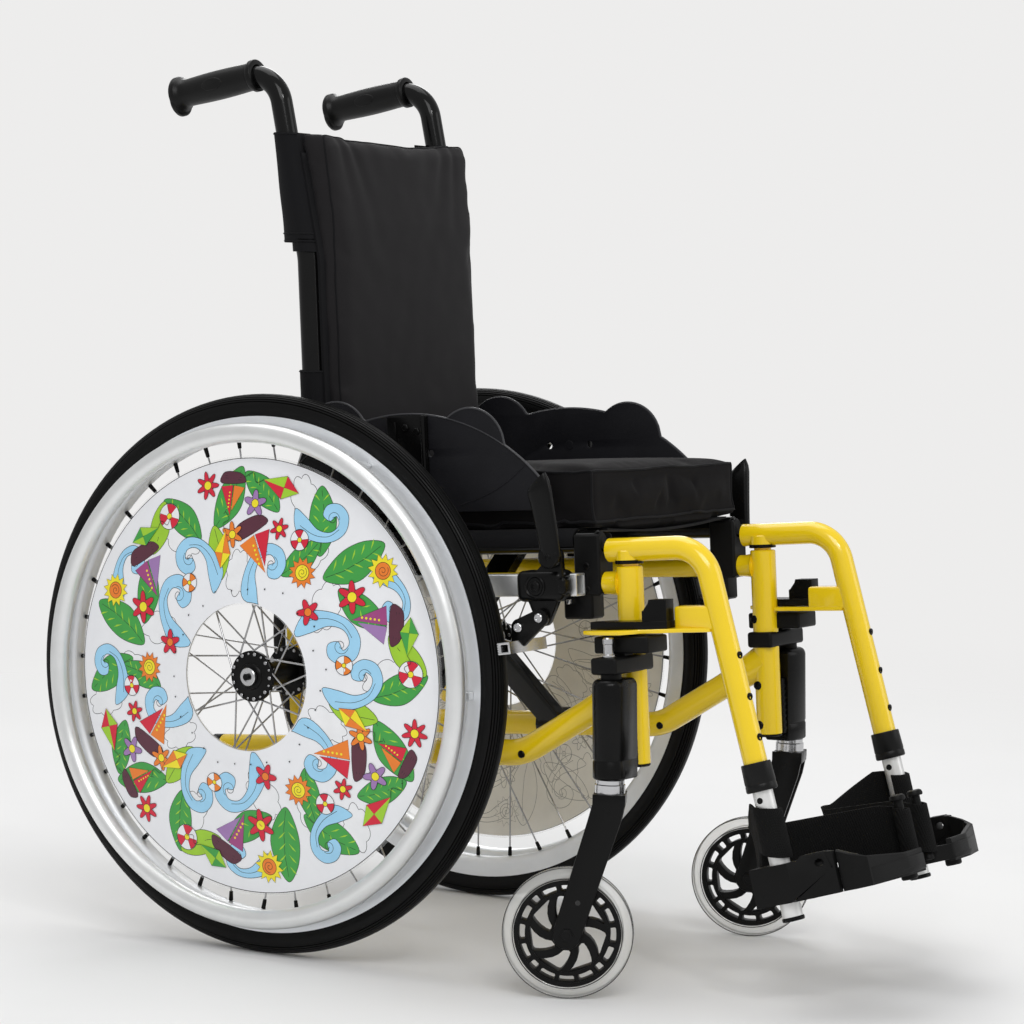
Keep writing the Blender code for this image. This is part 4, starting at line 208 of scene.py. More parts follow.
look("rubber", "grip_rubber", (0.005, 0.005, 0.005), 0.34, mottle=0.12, grain=0.0001, grain_size=0.0008,
     Specular_IOR_Level=0.2)
look("tyre", "tyre_rubber", (0.003, 0.003, 0.003), 0.40, mottle=0.15, grain=0.0001, grain_size=0.0012,
     Specular_IOR_Level=0.14)
look("steel", "bright_metal", (0.62, 0.62, 0.63), 0.22, 1.0, mottle=0.06)
look("spoke_steel", "bright_metal", (0.42, 0.42, 0.43), 0.28, 1.0, mottle=0.06)
look("alloy", "satin_metal", (0.82, 0.83, 0.83), 0.38, 0.85, mottle=0.03, grain=0.00003, grain_size=0.001)
look("rim_alloy", "satin_metal", (0.83, 0.85, 0.88), 0.45, 0.6, mottle=0.03)
look("pale_tube", "bright_metal", (0.80, 0.80, 0.79), 0.38, 0.5, mottle=0.04, grain=0.00004, grain_size=0.001)
look("clear_tyre", "clear_tyre", (0.93, 0.93, 0.90), 0.06, mottle=0.02, Alpha=0.34, IOR=1.5)
look("tread_edge", "clear_tyre", (0.01, 0.01, 0.01), 0.15, mottle=0.05, Alpha=0.92)
look("clear_sheet", "guard_sheet", (0.95, 0.96, 0.97), 0.08, Alpha=0.10)
look("print_white", "guard_sheet", (0.88, 0.89, 0.92), 0.30, mottle=0.02)
# The back of the print is a real pale beige. Its colour is raised above that tone as painted light, so the
# far guard's inner side looks lit.
look("print_back", "guard_sheet", (0.86, 0.83, 0.76), 0.45, mottle=0.04)
look("ghost_line", "guard_sheet", (0.30, 0.29, 0.26), 0.5)
look("cloth", "black_cloth", (0.0115, 0.0105, 0.0115), 0.75, mottle=0.12, grain=0.00010, grain_size=0.0006,
     Sheen_Weight=0.06, Sheen_Roughness=0.5, Specular_IOR_Level=0.15)
# A copy of the cloth look with about half its colour and less sheen and specular. The lower sheen and
# specular are the cloth's own; the darker colour is painted shade, so the cushion's top stays dark where the
# top lamp lights it.
look("seat_cloth_painted_shade", "black_cloth", (0.0062, 0.0056, 0.0060), 0.8,
     mottle=0.12, grain=0.00010, grain_size=0.0006,
     Sheen_Weight=0.02, Sheen_Roughness=0.5, Specular_IOR_Level=0.08)
look("flap_cloth", "black_cloth", (0.006, 0.006, 0.007), 0.8, mottle=0.12, grain=0.00012, grain_size=0.0007,
     Sheen_Weight=0.04, Sheen_Roughness=0.5, Specular_IOR_Level=0.12)
look("webbing", "webbing", (0.004, 0.004, 0.004), 0.9, mottle=0.15, ribs=(0.0019, 0.0007, (0.0, 0.35, 0.5)),
     grain=0.0002, grain_size=0.0008, Specular_IOR_Level=0.2)
INKS = {"ink": (0.006, 0.006, 0.008), "red": (0.68, 0.01, 0.04), "green": (0.05, 0.36, 0.06),
        "lime": (0.36, 0.64, 0.03), "blue": (0.36, 0.68, 0.92), "yellow": (0.92, 0.78, 0.02),
        "orange": (0.86, 0.22, 0.02), "plum": (0.36, 0.06, 0.22), "violet": (0.36, 0.20, 0.46),
        "maroon": (0.10, 0.02, 0.04), "paper": (0.88, 0.89, 0.91)}
for ink, tone in INKS.items():
    look("ink_" + ink, "guard_sheet", tone, 0.32, mottle=0.05)


# Shapes

def cleaned(bm, matrix=None):
    """The bmesh moved by a matrix, with joined doubles and outward normals."""
    if matrix is not None:
        bmesh.ops.transform(bm, matrix=matrix, verts=bm.verts)
    bmesh.ops.remove_doubles(bm, verts=bm.verts, dist=0.00001)
    bmesh.ops.recalc_face_normals(bm, faces=bm.faces)
    return bm


def lathe(profile, steps, matrix, closed=False):
    """A profile of (radius, height) points turned round the matrix's Z."""
    bm = bmesh.new()
    rings = []
    for radius, height in profile:
        if radius < 0.00001:
            rings.append([bm.verts.new((0, 0, height))])
            continue
        angles = [2 * math.pi * k / steps for k in range(steps)]
        rings.append([bm.verts.new((radius * math.cos(a), radius * math.sin(a), height)) for a in angles])
    pairs = list(zip(rings, rings[1:])) + ([(rings[-1], rings[0])] if closed else [])
    for a, b in pairs:
        for k in range(steps):
            n = (k + 1) % steps
            corners = dict.fromkeys((a[k % len(a)], a[n % len(a)], b[n % len(b)], b[k % len(b)]))
            if len(corners) > 2:
                bm.faces.new(list(corners))
    return cleaned(bm, matrix)


def rod(start, end, radius, sides=32, chamfer=0.0004, end_radius=None):
    """A cylinder or cone between two points, with small chamfers."""
    length = (Vector(end) - Vector(start)).length
    tip = radius if end_radius is None else end_radius
    c = min(chamfer, length / 3, radius / 3)
    return lathe([(0, 0), (radius - c, 0), (radius, c), (tip, length - c), (tip - c, length), (0, length)],
                 sides, along(start, end))


def sweep(path, radius, sides=28, closed=False, section=None):
    """A tube, or any section of (side, up) points, along a path."""
    path = [Vector(p) for p in path]
    flat = section or circle((0, 0), 1, sides)
    count = len(path)
    bm = bmesh.new()
    rings = []
    normal = None
    for k, point in enumerate(path):
        before = path[k - 1] if k or closed else path[k]
        after = path[(k + 1) % count] if k < count - 1 or closed else path[k]
        way = (after - before).normalized()
        if normal is None:
            normal = way.orthogonal() if abs(way.z) > 0.95 else way.cross(Vector((0, 0, 1)))
        normal = (normal - way * normal.dot(way)).normalized()
        across = way.cross(normal)
        rings.append([bm.verts.new(point + (normal * a + across * b) * radius) for a, b in flat])
    width = len(rings[0])
    for a, b in list(zip(rings, rings[1:])) + ([(rings[-1], rings[0])] if closed else []):
        for i in range(width):
            bm.faces.new((a[i], a[(i + 1) % width], b[(i + 1) % width], b[i]))
    if not closed:
        bm.faces.new(rings[0])
        bm.faces.new(rings[-1])
    return cleaned(bm)


def box(low, high, matrix=None, bevel=0.001, segments=3):
    """A block between two corners, with rounded edges."""
    low, high = Vector(low), Vector(high)
    place = Matrix.Translation((low + high) / 2) @ Matrix.Diagonal((*(high - low), 1))
    bm = bmesh.new()
    bmesh.ops.create_cube(bm, size=1, matrix=place)
    bmesh.ops.bevel(bm, geom=bm.edges[:], offset=bevel, segments=segments, affect="EDGES", profile=0.5)
    return cleaned(bm, matrix)


def prism(outline, thickness, matrix, bevel=0.0005, holes=()):
    """A flat outline with holes and rounded edges, extruded along the matrix's Z."""
    curve = bpy.data.curves.new("outline", "CURVE")
    curve.dimensions = "2D"
    curve.fill_mode = "BOTH"
    curve.extrude = thickness / 2 - bevel
    curve.bevel_depth = bevel
    curve.bevel_resolution = 1
    curve.offset = -bevel
    for points in (outline, *holes):
        spline = curve.splines.new("POLY")
        spline.points.add(len(points) - 1)
        for point, (x, y) in zip(spline.points, points):
            point.co = (x, y, 0, 1)
        spline.use_cyclic_u = True
    made = bpy.data.objects.new("outline", curve)
    bpy.context.scene.collection.objects.link(made)
    bpy.context.view_layer.update()
    mesh = bpy.data.meshes.new_from_object(made.evaluated_get(bpy.context.evaluated_depsgraph_get()))
    bm = bmesh.new()
    bm.from_mesh(mesh)
    bpy.data.objects.remove(made)
    bpy.data.meshes.remove(mesh)
    return cleaned(bm, matrix @ Matrix.Translation((0, 0, thickness / 2)))


def loft(sections):
    """A closed skin over sections with the same number of points."""
    bm = bmesh.new()
    rings = [[bm.verts.new(point) for point in section] for section in sections]
    count = len(rings[0])
    for a, b in zip(rings, rings[1:]):
        for k in range(count):
            bm.faces.new((a[k], a[(k + 1) % count], b[(k + 1) % count], b[k]))
    bm.faces.new(rings[0])
    bm.faces.new(rings[-1])
    return cleaned(bm)


def merge(*parts):
    """Several bmeshes as one."""
    made = parts[0]
    for other in parts[1:]:
        mesh = bpy.data.meshes.new("part")
        other.to_mesh(mesh)
        other.free()
        made.from_mesh(mesh)
        bpy.data.meshes.remove(mesh)
    return made


def through(bm, add_modifiers):
    """The bmesh after the modifiers that a function puts on it."""
    mesh = bpy.data.meshes.new("work")
    bm.to_mesh(mesh)
    bm.free()
    obj = bpy.data.objects.new("work", mesh)
    bpy.context.scene.collection.objects.link(obj)
    add_modifiers(obj)
    bpy.context.view_layer.update()
    done = bpy.data.meshes.new_from_object(obj.evaluated_get(bpy.context.evaluated_depsgraph_get()))
    made = bmesh.new()
    made.from_mesh(done)
    bpy.data.objects.remove(obj)
    bpy.data.meshes.remove(done)
    return made


def subdivided(bm):
    def soften(obj):
        made = obj.modifiers.new("soften", "SUBSURF")
        made.levels = 1
        made.render_levels = 1
    return through(bm, soften)


def bent(points, radii, steps=14):
    """The points of a line whose inner corners are rounded to the given radii."""
    points = [Vector(p) for p in points]
    path = [points[0]]
    for before, corner, after, radius in zip(points, points[1:], points[2:], radii):
        into, out = (corner - before).normalized(), (after - corner).normalized()
        turn = into.angle(out)
        centre = corner + (out - into).normalized() * (radius / math.cos(turn / 2))
        start = corner - into * radius * math.tan(turn / 2) - centre
        normal = into.cross(out).normalized()
        for k in range(steps + 1):
            path.append(centre + Matrix.Rotation(turn * k / steps, 3, normal) @ start)
    path.append(points[-1])
    return path


def arc(centre, radius, start, end, steps):
    angles = [math.radians(start + (end - start) * k / steps) for k in range(steps + 1)]
    return [(centre[0] + radius * math.cos(a), centre[1] + radius * math.sin(a)) for a in angles]


def circle(centre, radius, steps=24):
    return arc(centre, radius, 0, 360, steps)[:-1]


def rounded(corners, radius, steps=5):
    path = []
    count = len(corners)
    for k in range(count):
        before, corner, after = (Vector(corners[(k + i) % count]) for i in (-1, 0, 1))
        into, out = (corner - before).normalized(), (after - corner).normalized()
        turn = into.angle_signed(out)
        start = corner - into * radius * math.tan(abs(turn) / 2)
        side = Vector((-into.y, into.x)) * (-1 if turn > 0 else 1)
        centre = start + side * radius
        for i in range(steps + 1):
            path.append(tuple(centre + Matrix.Rotation(-turn * i / steps, 2) @ (start - centre)))
    return path


# Pieces

def loose_piece(name, bm, finish, nodes, mirror, angle=60):
    """A mesh with no body yet, in one or more looks, that stands for the named CAD nodes."""
    mesh = bpy.data.meshes.new(name)
    bm.to_mesh(mesh)
    if mirror:
        mesh.transform(Matrix.Diagonal((-1, 1, 1, 1)))
        mesh.flip_normals()
    obj = bpy.data.objects.new(name, mesh)
    bpy.context.scene.collection.objects.link(obj)
    finishes = [finish] if isinstance(finish, str) else finish
    for entry in finishes:
        mesh.materials.append(LOOKS[entry])
    mesh.shade_smooth()
    mesh.set_sharp_from_angle(angle=math.radians(angle))
    if nodes:
        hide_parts(*nodes)
    return obj


def piece(name, bm, body, finish, nodes=(), angle=35, mirror=False, keep=False):
    """A piece that rides on a body."""
    obj = loose_piece(name, bm, finish, nodes, mirror, angle)
    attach(obj, body)
    if not keep:
        bm.free()
    return obj


def pair(name, bm, body, finish, nodes=(), angle=35):
    """The left piece and its mirror image."""
    made = {}
    for side, sign in SIDES:
        made[side] = piece(side + "_" + name, bm, side + "_" + body, finish, [side + "_" + n for n in nodes],
                           angle, sign < 0, keep=side == "left")
    return made


def from_cad(node, bevel):
    """A CAD node's solid as a bmesh, with its flat faces joined and its edges rounded."""
    flat, sharp = math.radians(1.5), math.radians(28)
    bm = bmesh.new()
    bm.from_mesh(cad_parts[node].data)
    bmesh.ops.remove_doubles(bm, verts=bm.verts, dist=0.00002)
    bmesh.ops.dissolve_limit(bm, angle_limit=flat, verts=bm.verts, edges=bm.edges)
    edges = [edge for edge in bm.edges if len(edge.link_faces) == 2 and edge.calc_face_angle(0) > sharp]
    bmesh.ops.bevel(bm, geom=edges, offset=bevel, segments=2, affect="EDGES", profile=0.6, clamp_overlap=True)
    bmesh.ops.triangulate(bm, faces=[f for f in bm.faces if len(f.verts) > 4])
    return cleaned(bm)


def carried(name, bevel, finish, body):
    """Left and right pieces made from the CAD solids themselves."""
    for side, _ in SIDES:
        node = side + "_" + name
        piece(node + "_form", from_cad(node, bevel), side + "_" + body, finish, [node], 32)


# Rear wheels

def tyre():
    half, groove = 0.0128, 0.0011
    centre = WHEEL_RADIUS - half
    flank = []
    for degrees in range(0, 109, 3):
        a = math.radians(degrees)
        depth = groove if degrees in (18, 30, 42, 54, 66) else 0
        flank.append((centre + (half - depth) * math.cos(a), (half - depth) * math.sin(a)))
    flank += [(0.2600, 0.0108), (0.2560, 0.0104), (0.2543, 0.0098)]
    profile = [(r, -x) for r, x in reversed(flank)] + flank[1:]
    return lathe([(r, WHEEL_X + x) for r, x in profile], 160, WHEEL, closed=True)


def rim():
    half = [(0.2580, 0.0100), (0.2580, 0.0112), (0.2455, 0.0110), (0.2425, 0.0100), (0.2385, 0.0068),
            (RIM_INNER, 0.0055), (0.2372, 0.0030)]
    profile = half + [(r, -x) for r, x in reversed(half)]
    return lathe([(r, WHEEL_X + x) for r, x in profile], 160, WHEEL, closed=True)


def handrim():
    """The hoop and its tabs on the rim."""
    hoop = lathe(circle((0.242, 0.2315), 0.00975, 24), 160, WHEEL, closed=True)
    tabs = []
    count = 6
    for k in range(count):
        turn = Matrix.Rotation(2 * math.pi * (k + 0.5) / count, 4, "X")
        place = Matrix.Translation((0, AXLE_Y, AXLE_Z)) @ turn
        tabs.append(box((WHEEL_X + 0.0113, -0.004, 0.2455), (0.2283, 0.004, 0.2505), place, 0.001))
    return merge(hoop, *tabs)


FLANGES = (0.1645, 0.2270)
SPOKES_A_SIDE = 18
SPOKE_TURN = math.radians(60)


def in_wheel(x, radius, angle):
    return Vector((x, AXLE_Y + radius * math.cos(angle), AXLE_Z + radius * math.sin(angle)))


def spokes():
    """The laced spokes, their heads on the flanges and their nipples in the rim."""
    wires, nipples = [], []
    for flange_x in FLANGES:
        for k in range(SPOKES_A_SIDE):
            out = 1 if k % 2 == 0 else -1
            start = 2 * math.pi * k / SPOKES_A_SIDE + (0 if flange_x > WHEEL_X else math.pi / SPOKES_A_SIDE)
            root = in_wheel(flange_x + out * 0.0017, 0.0225, start)
            tip = in_wheel(WHEEL_X + out * 0.0008, 0.2375, start + out * SPOKE_TURN)
            way = (tip - root).normalized()
            wires.append(rod(root, tip, 0.00092, 10, 0))
            head = Vector((out * 0.0016, 0, 0))
            foot = Vector((flange_x, root.y, root.z))
            wires.append(rod(foot - head * 2.1, foot + head * 2.1, 0.0012, 12, 0.0003))
            wires.append(rod(foot - head * 1.9, foot - head * 2.5, 0.0019, 12, 0.0005))
            nipples.append(rod(tip - way * 0.0105, tip - way * 0.0005, 0.0019, 12, 0.0005, end_radius=0.0023))
    return merge(*wires), merge(*nipples)


def hub():
    """The shell, its two round-edged flanges and the bearing seats."""
    bore = 0.0063
    outer = [(0.0115, 0.1585), (0.0130, 0.1592)]
    for flange in FLANGES:
        outer += [(0.0135, flange - 0.0033), (0.0150, flange - 0.0026), (0.0247, flange - 0.0026),
                  (0.0255, flange - 0.0016), (0.0255, flange + 0.0016), (0.0247, flange + 0.0026),
                  (0.0165, flange + 0.0026), (0.0135, flange + 0.0032)]
    outer += [(0.0130, 0.2312), (0.0120, 0.2320)]
    return lathe(outer + [(bore, 0.2320), (bore, 0.1585)], 72, WHEEL, closed=True)


def quick_release():
    """The bearing's ring, the axle's head and its button."""
    head = 0.2323
    profile = [(0, 0.127), (0.0052, 0.127), (0.006, 0.1278), (0.006, head), (0.0085, head),
               (0.0090, head + 0.0006), (0.0090, head + 0.0038), (0.0083, head + 0.0045),
               (0.0052, head + 0.0045), (0.0052, head + 0.0035), (0, head + 0.0035)]
    axle = lathe(profile, 48, WHEEL)
    button = lathe([(0, head + 0.0030), (0.0034, head + 0.0030), (0.0034, head + 0.0072),
                    (0.0028, head + 0.0080), (0, head + 0.0080)], 32, WHEEL)
    return axle, button


# Spoke guards and their print

GUARD_HOLE, GUARD_EDGE = 0.072, 0.219
GUARD_HOLE_X, GUARD_EDGE_X = 0.2395, 0.2220
GUARD_THICK = 0.002
PRINT_IN, PRINT_OUT = 0.0735, 0.2165
PRINT_MARGIN = 0.0012
PRINT_STEP = 0.012
PRINT_LIFT, LAYER_STEP = 0.00012, 0.000004
BACK_LIFT = -0.00212
LINE_WIDTH, THIN_LINE, FINE_LINE = 0.00055, 0.0005, 0.0004


def guard_x(radius):
    """The guard's outer face, a shallow cone."""
    share = (radius - GUARD_HOLE) / (GUARD_EDGE - GUARD_HOLE)
    return GUARD_HOLE_X + (GUARD_EDGE_X - GUARD_HOLE_X) * share


def ring_sheet(low, high, front, back):
    """A ring between two radii and two distances from the guard's outer face."""
    profile = [(low, guard_x(low) + back), (high, guard_x(high) + back), (high, guard_x(high) + front),
               (low, guard_x(low) + front)]
    return lathe(profile, 160, WHEEL, closed=True)


def on_guard(point, lift):
    radius = math.hypot(*point)
    return Vector((guard_x(radius) + lift, AXLE_Y + point[0], AXLE_Z + point[1]))


class Print:
    """A generic printed design: flat shapes with dark outlines, laid on the guard in thin layers."""

    def __init__(self):
        self.bm = bmesh.new()
        self.layer = 0
        self.inks = ["ink_" + name for name in INKS] + ["ghost_line"]

    def face(self, verts, ink, lift):
        made = self.bm.faces.new(verts)
        made.material_index = self.inks.index(ink)
        made.normal_update()
        if (made.normal.x < 0) == (lift > 0):
            made.normal_flip()

    def fill(self, outline, ink, above=0.0, layers=1):
        """Triangles of an outline given in the wheel's plane, cut fine enough to follow the cone."""
        lift = PRINT_LIFT + above + self.layer * LAYER_STEP
        points = [Vector((x, y, 0)) for x, y in outline]
        waiting = [tuple(points[i] for i in triangle) for triangle in tessellate_polygon([points])]
        while waiting:
            corners = waiting.pop()
            sides = [(corners[(k + 1) % 3] - corners[k]).length for k in range(3)]
            if max(sides) > PRINT_STEP:
                k = sides.index(max(sides))
                a, b, c = (corners[(k + n) % 3] for n in range(3))
                waiting += [(a, (a + b) / 2, c), ((a + b) / 2, b, c)]
                continue
            verts = [self.bm.verts.new(on_guard((p.x, p.y), lift)) for p in corners]
            self.face(verts, "ink_" + ink, lift)
        self.layer += layers

    def stroke(self, line, width, closed=False):
        """An inked line of even width, and its pale trace on the back."""
        line = [Vector(p) for p in line]
        count = len(line)
        left, right = [], []
        for k, point in enumerate(line):
            before = line[k - 1] if k or closed else point
            after = line[(k + 1) % count] if k < count - 1 or closed else point
            way = (after - before).normalized()
            square = Vector((-way.y, way.x)) * width / 2
            left.append(point + square)
            right.append(point - square)
        steps = range(count if closed else count - 1)
        for ink, lift in (("ink_ink", PRINT_LIFT + self.layer * LAYER_STEP), ("ghost_line", BACK_LIFT)):
            a, b = ([self.bm.verts.new(on_guard(p, lift)) for p in rail] for rail in (left, right))
            for k in steps:
                n = (k + 1) % count
                self.face((a[k], b[k], b[n], a[n]), ink, lift)
        self.layer += 1


def placed(points, radius, angle, turn=0.0, size=1.0):
    """Local millimetres, x outwards and y round the wheel, put at a radius and an angle in degrees."""
    a, t = math.radians(angle), math.radians(turn)
    out = []
    for x, y in points:
        r = radius + (x * math.cos(t) - y * math.sin(t)) * size / 1000
        side = (x * math.sin(t) + y * math.cos(t)) * size / 1000
        out.append((r * math.cos(a) - side * math.sin(a), r * math.sin(a) + side * math.cos(a)))
    return out


def clamp_print(points):
    """Keeps points on the printed ring."""
    out = []
    for x, y in points:
        r = math.hypot(x, y)
        s = min(max(r, PRINT_IN + PRINT_MARGIN), PRINT_OUT - PRINT_MARGIN) / r
        out.append((x * s, y * s))
    return out


def curve_through(points, steps=6, closed=True):
    """A smooth line through points (Catmull-Rom)."""
    points = [Vector(p) for p in points]
    count = len(points)
    out = []
    for k in range(count if closed else count - 1):
        near = [(k + i) % count if closed else min(max(k + i, 0), count - 1) for i in (-1, 0, 1, 2)]
        p0, p1, p2, p3 = (points[i] for i in near)
        for s in range(steps):
            t = s / steps
            out.append(0.5 * (2 * p1 + (p2 - p0) * t + (2 * p0 - 5 * p1 + 4 * p2 - p3) * t * t
                              + (3 * p1 - p0 - 3 * p2 + p3) * t ** 3))
    if not closed:
        out.append(points[-1])
    return [tuple(p) for p in out]


def spiral(radius, turns, steps=26, shrink=0.12):
    out = []
    for k in range(steps + 1):
        r, a = radius * (1 - (1 - shrink) * k / steps), 2 * math.pi * turns * k / steps
        out.append((r * math.cos(a), r * math.sin(a)))
    return out


class Motif:
    """One motif of the design, drawn in local millimetres at a radius, an angle, a turn and a size."""

    def __init__(self, art, radius, angle, turn, size):
        self.art = art
        self.place = (radius, angle, turn, size)

    def spot(self, points):
        return clamp_print(placed(points, *self.place))

    def fill(self, points, ink, **how):
        self.art.fill(self.spot(points), ink, **how)

    def draw(self, points, ink, width=LINE_WIDTH):
        outline = self.spot(points)
        self.art.fill(outline, ink)
        self.art.stroke(outline, width, closed=True)

    def line(self, points, width=THIN_LINE):
        self.art.stroke(self.spot(points), width)


def fern(motif, ink):
    motif.draw(curve_through([(0, 0), (9, 8), (22, 12), (36, 8), (46, 0), (36, -7), (22, -9), (9, -6)]), ink)
    motif.line([(2, 0), (14, 2), (30, 2), (43, 0)])
    for k in range(5):
        x = 8 + 7 * k
        for side in (1, -1):
            vein = [(x, side), (x + 3.5, side * 3.6), (x + 5, side * 6.2), (x + 3.0, side * 4.6)]
            motif.fill(vein[::side], "lime", above=0.00001, layers=0)


def wave(motif, flip=1):
    body = [(-20, -8), (-6, -12), (8, -10), (17, -2), (17, 9), (9, 15), (0, 13), (-2, 6), (4, 3), (8, 7),
            (11, 2), (6, -4), (-4, -4), (-14, 2), (-24, 6)]
    crest = [(-18, -4), (-6, -8), (5, -7), (12, -1)]
    motif.draw(curve_through([(x, y * flip) for x, y in body], 5), "blue")
    motif.line([(x * 0.62 + 6, (y * 0.62 + 5) * flip) for x, y in spiral(8, 1.4)])
    motif.line(curve_through([(x, y * flip) for x, y in crest], 5, False))


def blossom(motif, ink, heart, petals=6):
    ring = []
    for k in range(60):
        t = 2 * math.pi * k / 60
        r = 8 + 3 * math.cos(petals * t)
        ring.append((r * math.cos(t), r * math.sin(t)))
    motif.draw(ring, ink)
    motif.draw(circle((0, 0), 3.4, 20), heart)
    for k in range(petals):
        t = 2 * math.pi * (k + 0.5) / petals
        motif.line([(r * math.cos(t), r * math.sin(t)) for r in (3.6, 6)], FINE_LINE)


def sun(motif, outer, inner):
    rays = []
    for k in range(24):
        t, r = 2 * math.pi * k / 24, 12.5 if k % 2 else 8.5
        rays.append((r * math.cos(t), r * math.sin(t)))
    motif.draw(rays, outer)
    motif.draw(circle((0, 0), 6.2, 26), inner)
    motif.line(spiral(4.6, 1.6))


def ball(motif, ground, wedges):
    motif.draw(circle((0, 0), 9, 32), ground)
    for start in (0, 120, 240):
        motif.draw([(0, 0)] + arc((0, 0), 8.6, start, start + 60, 8), wedges, FINE_LINE)
    motif.draw(circle((0, 0), 2.2, 14), "yellow")


def kite(motif, first, second):
    motif.draw([(14, 0), (0, 9), (-20, 0), (0, -9)], first)
    motif.draw([(14, 0), (0, 9), (0, 0)], second, FINE_LINE)
    motif.draw([(0, 0), (-20, 0), (0, -9)], second, FINE_LINE)
    motif.line(curve_through([(-20, 0), (-26, 4), (-31, -2), (-37, 3)], 5, False))


def cloud(motif, bumps=7):
    ring = []
    for k in range(70):
        t = 2 * math.pi * k / 70
        r = 10 + 2.4 * abs(math.sin(bumps * t / 2))
        ring.append((r * math.cos(t) * 1.3, r * math.sin(t) * 0.8))
    motif.draw(ring, "paper")


def boat(motif, sail_a, sail_b):
    motif.draw(curve_through([(-13, -8), (-16, -2), (-16, 10), (-13, 15), (-6, 15), (-8, -8)], 4), "maroon")
    for k in range(3):
        motif.line([(-14 + 2 * k, -5), (-14.5 + 2 * k, 12)], FINE_LINE)
    motif.draw([(-5, 3), (20, 3), (-3, 15)], sail_a)
    motif.draw([(-5, 2), (16, 2), (-4, -9)], sail_b)
    for k in range(5):
        motif.fill(circle((1 + 3 * k, 5.5), 0.8, 8), "yellow")


# Each motif's radius, angle, turn and size, then its inks or form
FERNS = (((0.134, -2, 20, 1.65), "green"), ((0.148, -9, -36, 1.5), "green"), ((0.140, 6, 75, 1.4), "green"),
         ((0.152, 60, 42, 1.5), "green"), ((0.146, 52, -28, 1.4), "green"), ((0.100, 58, 5, 1.2), "lime"),
         ((0.110, 98, 30, 1.2), "green"), ((0.168, 88, -60, 1.25), "green"), ((0.170, 30, 60, 1.2), "lime"))
CLOUDS = ((0.118, 8, 1.7), (0.160, 44, 1.7), (0.104, 70, 1.5), (0.188, 96, 1.6), (0.150, 108, 1.4))
MOTIFS = ((wave, (0.112, 22, 35, 1.75), ()), (wave, (0.130, 48, -20, 1.6), (-1,)),
          (wave, (0.108, 86, 10, 1.6), ()), (wave, (0.176, 106, 70, 1.5), (-1,)),
          (wave, (0.188, 20, 80, 1.3), ()), (boat, (0.162, 27, 205, 1.55), ("plum", "violet")),
          (boat, (0.136, 82, 150, 1.6), ("orange", "red")),
          (boat, (0.184, 70, 190, 1.2), ("red", "orange")),
          (sun, (0.190, 11, 0, 1.35), ("yellow", "orange")),
          (sun, (0.124, 108, 0, 1.25), ("orange", "yellow")),
          (ball, (0.187, 43, 15, 1.45), ("paper", "red")),
          (ball, (0.116, 38, 40, 1.05), ("paper", "orange")),
          (ball, (0.150, 100, 60, 1.15), ("paper", "red")),
          (blossom, (0.148, 12, 0, 1.5), ("red", "yellow")),
          (blossom, (0.196, 60, 0, 1.3), ("red", "yellow", 7)),
          (blossom, (0.172, 78, 0, 1.25), ("violet", "yellow", 5)),
          (blossom, (0.100, 4, 0, 1.2), ("red", "orange", 5)),
          (blossom, (0.142, 68, 0, 1.2), ("orange", "yellow")),
          (blossom, (0.152, 90, 0, 1.0), ("red", "yellow")),
          (kite, (0.192, 88, 95, 1.3), ("red", "lime")),
          (kite, (0.126, 62, 200, 1.1), ("yellow", "orange")),
          (kite, (0.192, 31, -70, 1.1), ("lime", "green")))


def guard_art():
    """Three turns of one design: waves, leaves, blossoms, suns, balls, kites, boats and clouds."""
    art = Print()
    rng = random.Random(7)
    for turn in (0, 120, 240):
        start = turn + 12
        art.layer = turn / 360
        for radius, angle, size in CLOUDS:
            cloud(Motif(art, radius, start + angle, rng.uniform(-40, 40), size))
        for (radius, angle, lean, size), ink in FERNS:
            fern(Motif(art, radius, start + angle, lean, size), ink)
        for draw, (radius, angle, lean, size), details in MOTIFS:
            draw(Motif(art, radius, start + angle, lean, size), *details)
        for k in range(9):
            dot = Motif(art, 0.086 + 0.012 * rng.random(), start + 13 * k, 0, 1)
            dot.fill(circle((0, 0), 0.9, 8), "ink")
    return art


def rear_wheels():
    pair("tyre_body", tyre(), "wheel", "tyre", ["tyre"], 20)
    pair("rim_body", rim(), "wheel", "rim_alloy", ["rim"])
    pair("handrim_hoop", handrim(), "wheel", "alloy", ["handrim"])
    wires, nipples = spokes()
    pair("spokes", wires, "wheel", "spoke_steel", ["hub"])
    pair("nipples", nipples, "wheel", "black_satin")
    pair("hub_shell", hub(), "wheel", "black_satin", ["hub"])
    axle, button = quick_release()
    pair("axle_pin", axle, "axle", "steel", ["quick_release"])
    pair("axle_button", button, "axle", "black_satin")
    sheet = ring_sheet(GUARD_HOLE, GUARD_EDGE, 0, -GUARD_THICK)
    pair("guard_sheet", sheet, "wheel", "clear_sheet", ["spoke_guard"])
    film_near, film_far = 0.00002, 0.00008
    pair("guard_print", ring_sheet(PRINT_IN, PRINT_OUT, film_far, film_near), "wheel", "print_white")
    # The lining's look carries painted light that brightens the guards' inner faces.
    lining = ring_sheet(PRINT_IN, PRINT_OUT, -GUARD_THICK - film_near, -GUARD_THICK - film_far)
    pair("guard_lining", lining, "wheel", "print_back")
    low, high, face = PRINT_OUT - 0.0003, PRINT_OUT + 0.0004, guard_x(PRINT_OUT)
    edge = [(low, face + PRINT_LIFT), (high, face + PRINT_LIFT),
            (high, face + film_near), (low, face + film_near)]
    pair("guard_line", lathe(edge, 160, WHEEL, closed=True), "wheel", "ink_ink")
    art = guard_art()
    pair("guard_art", art.bm, "wheel", art.inks, (), 180)


# Side frames

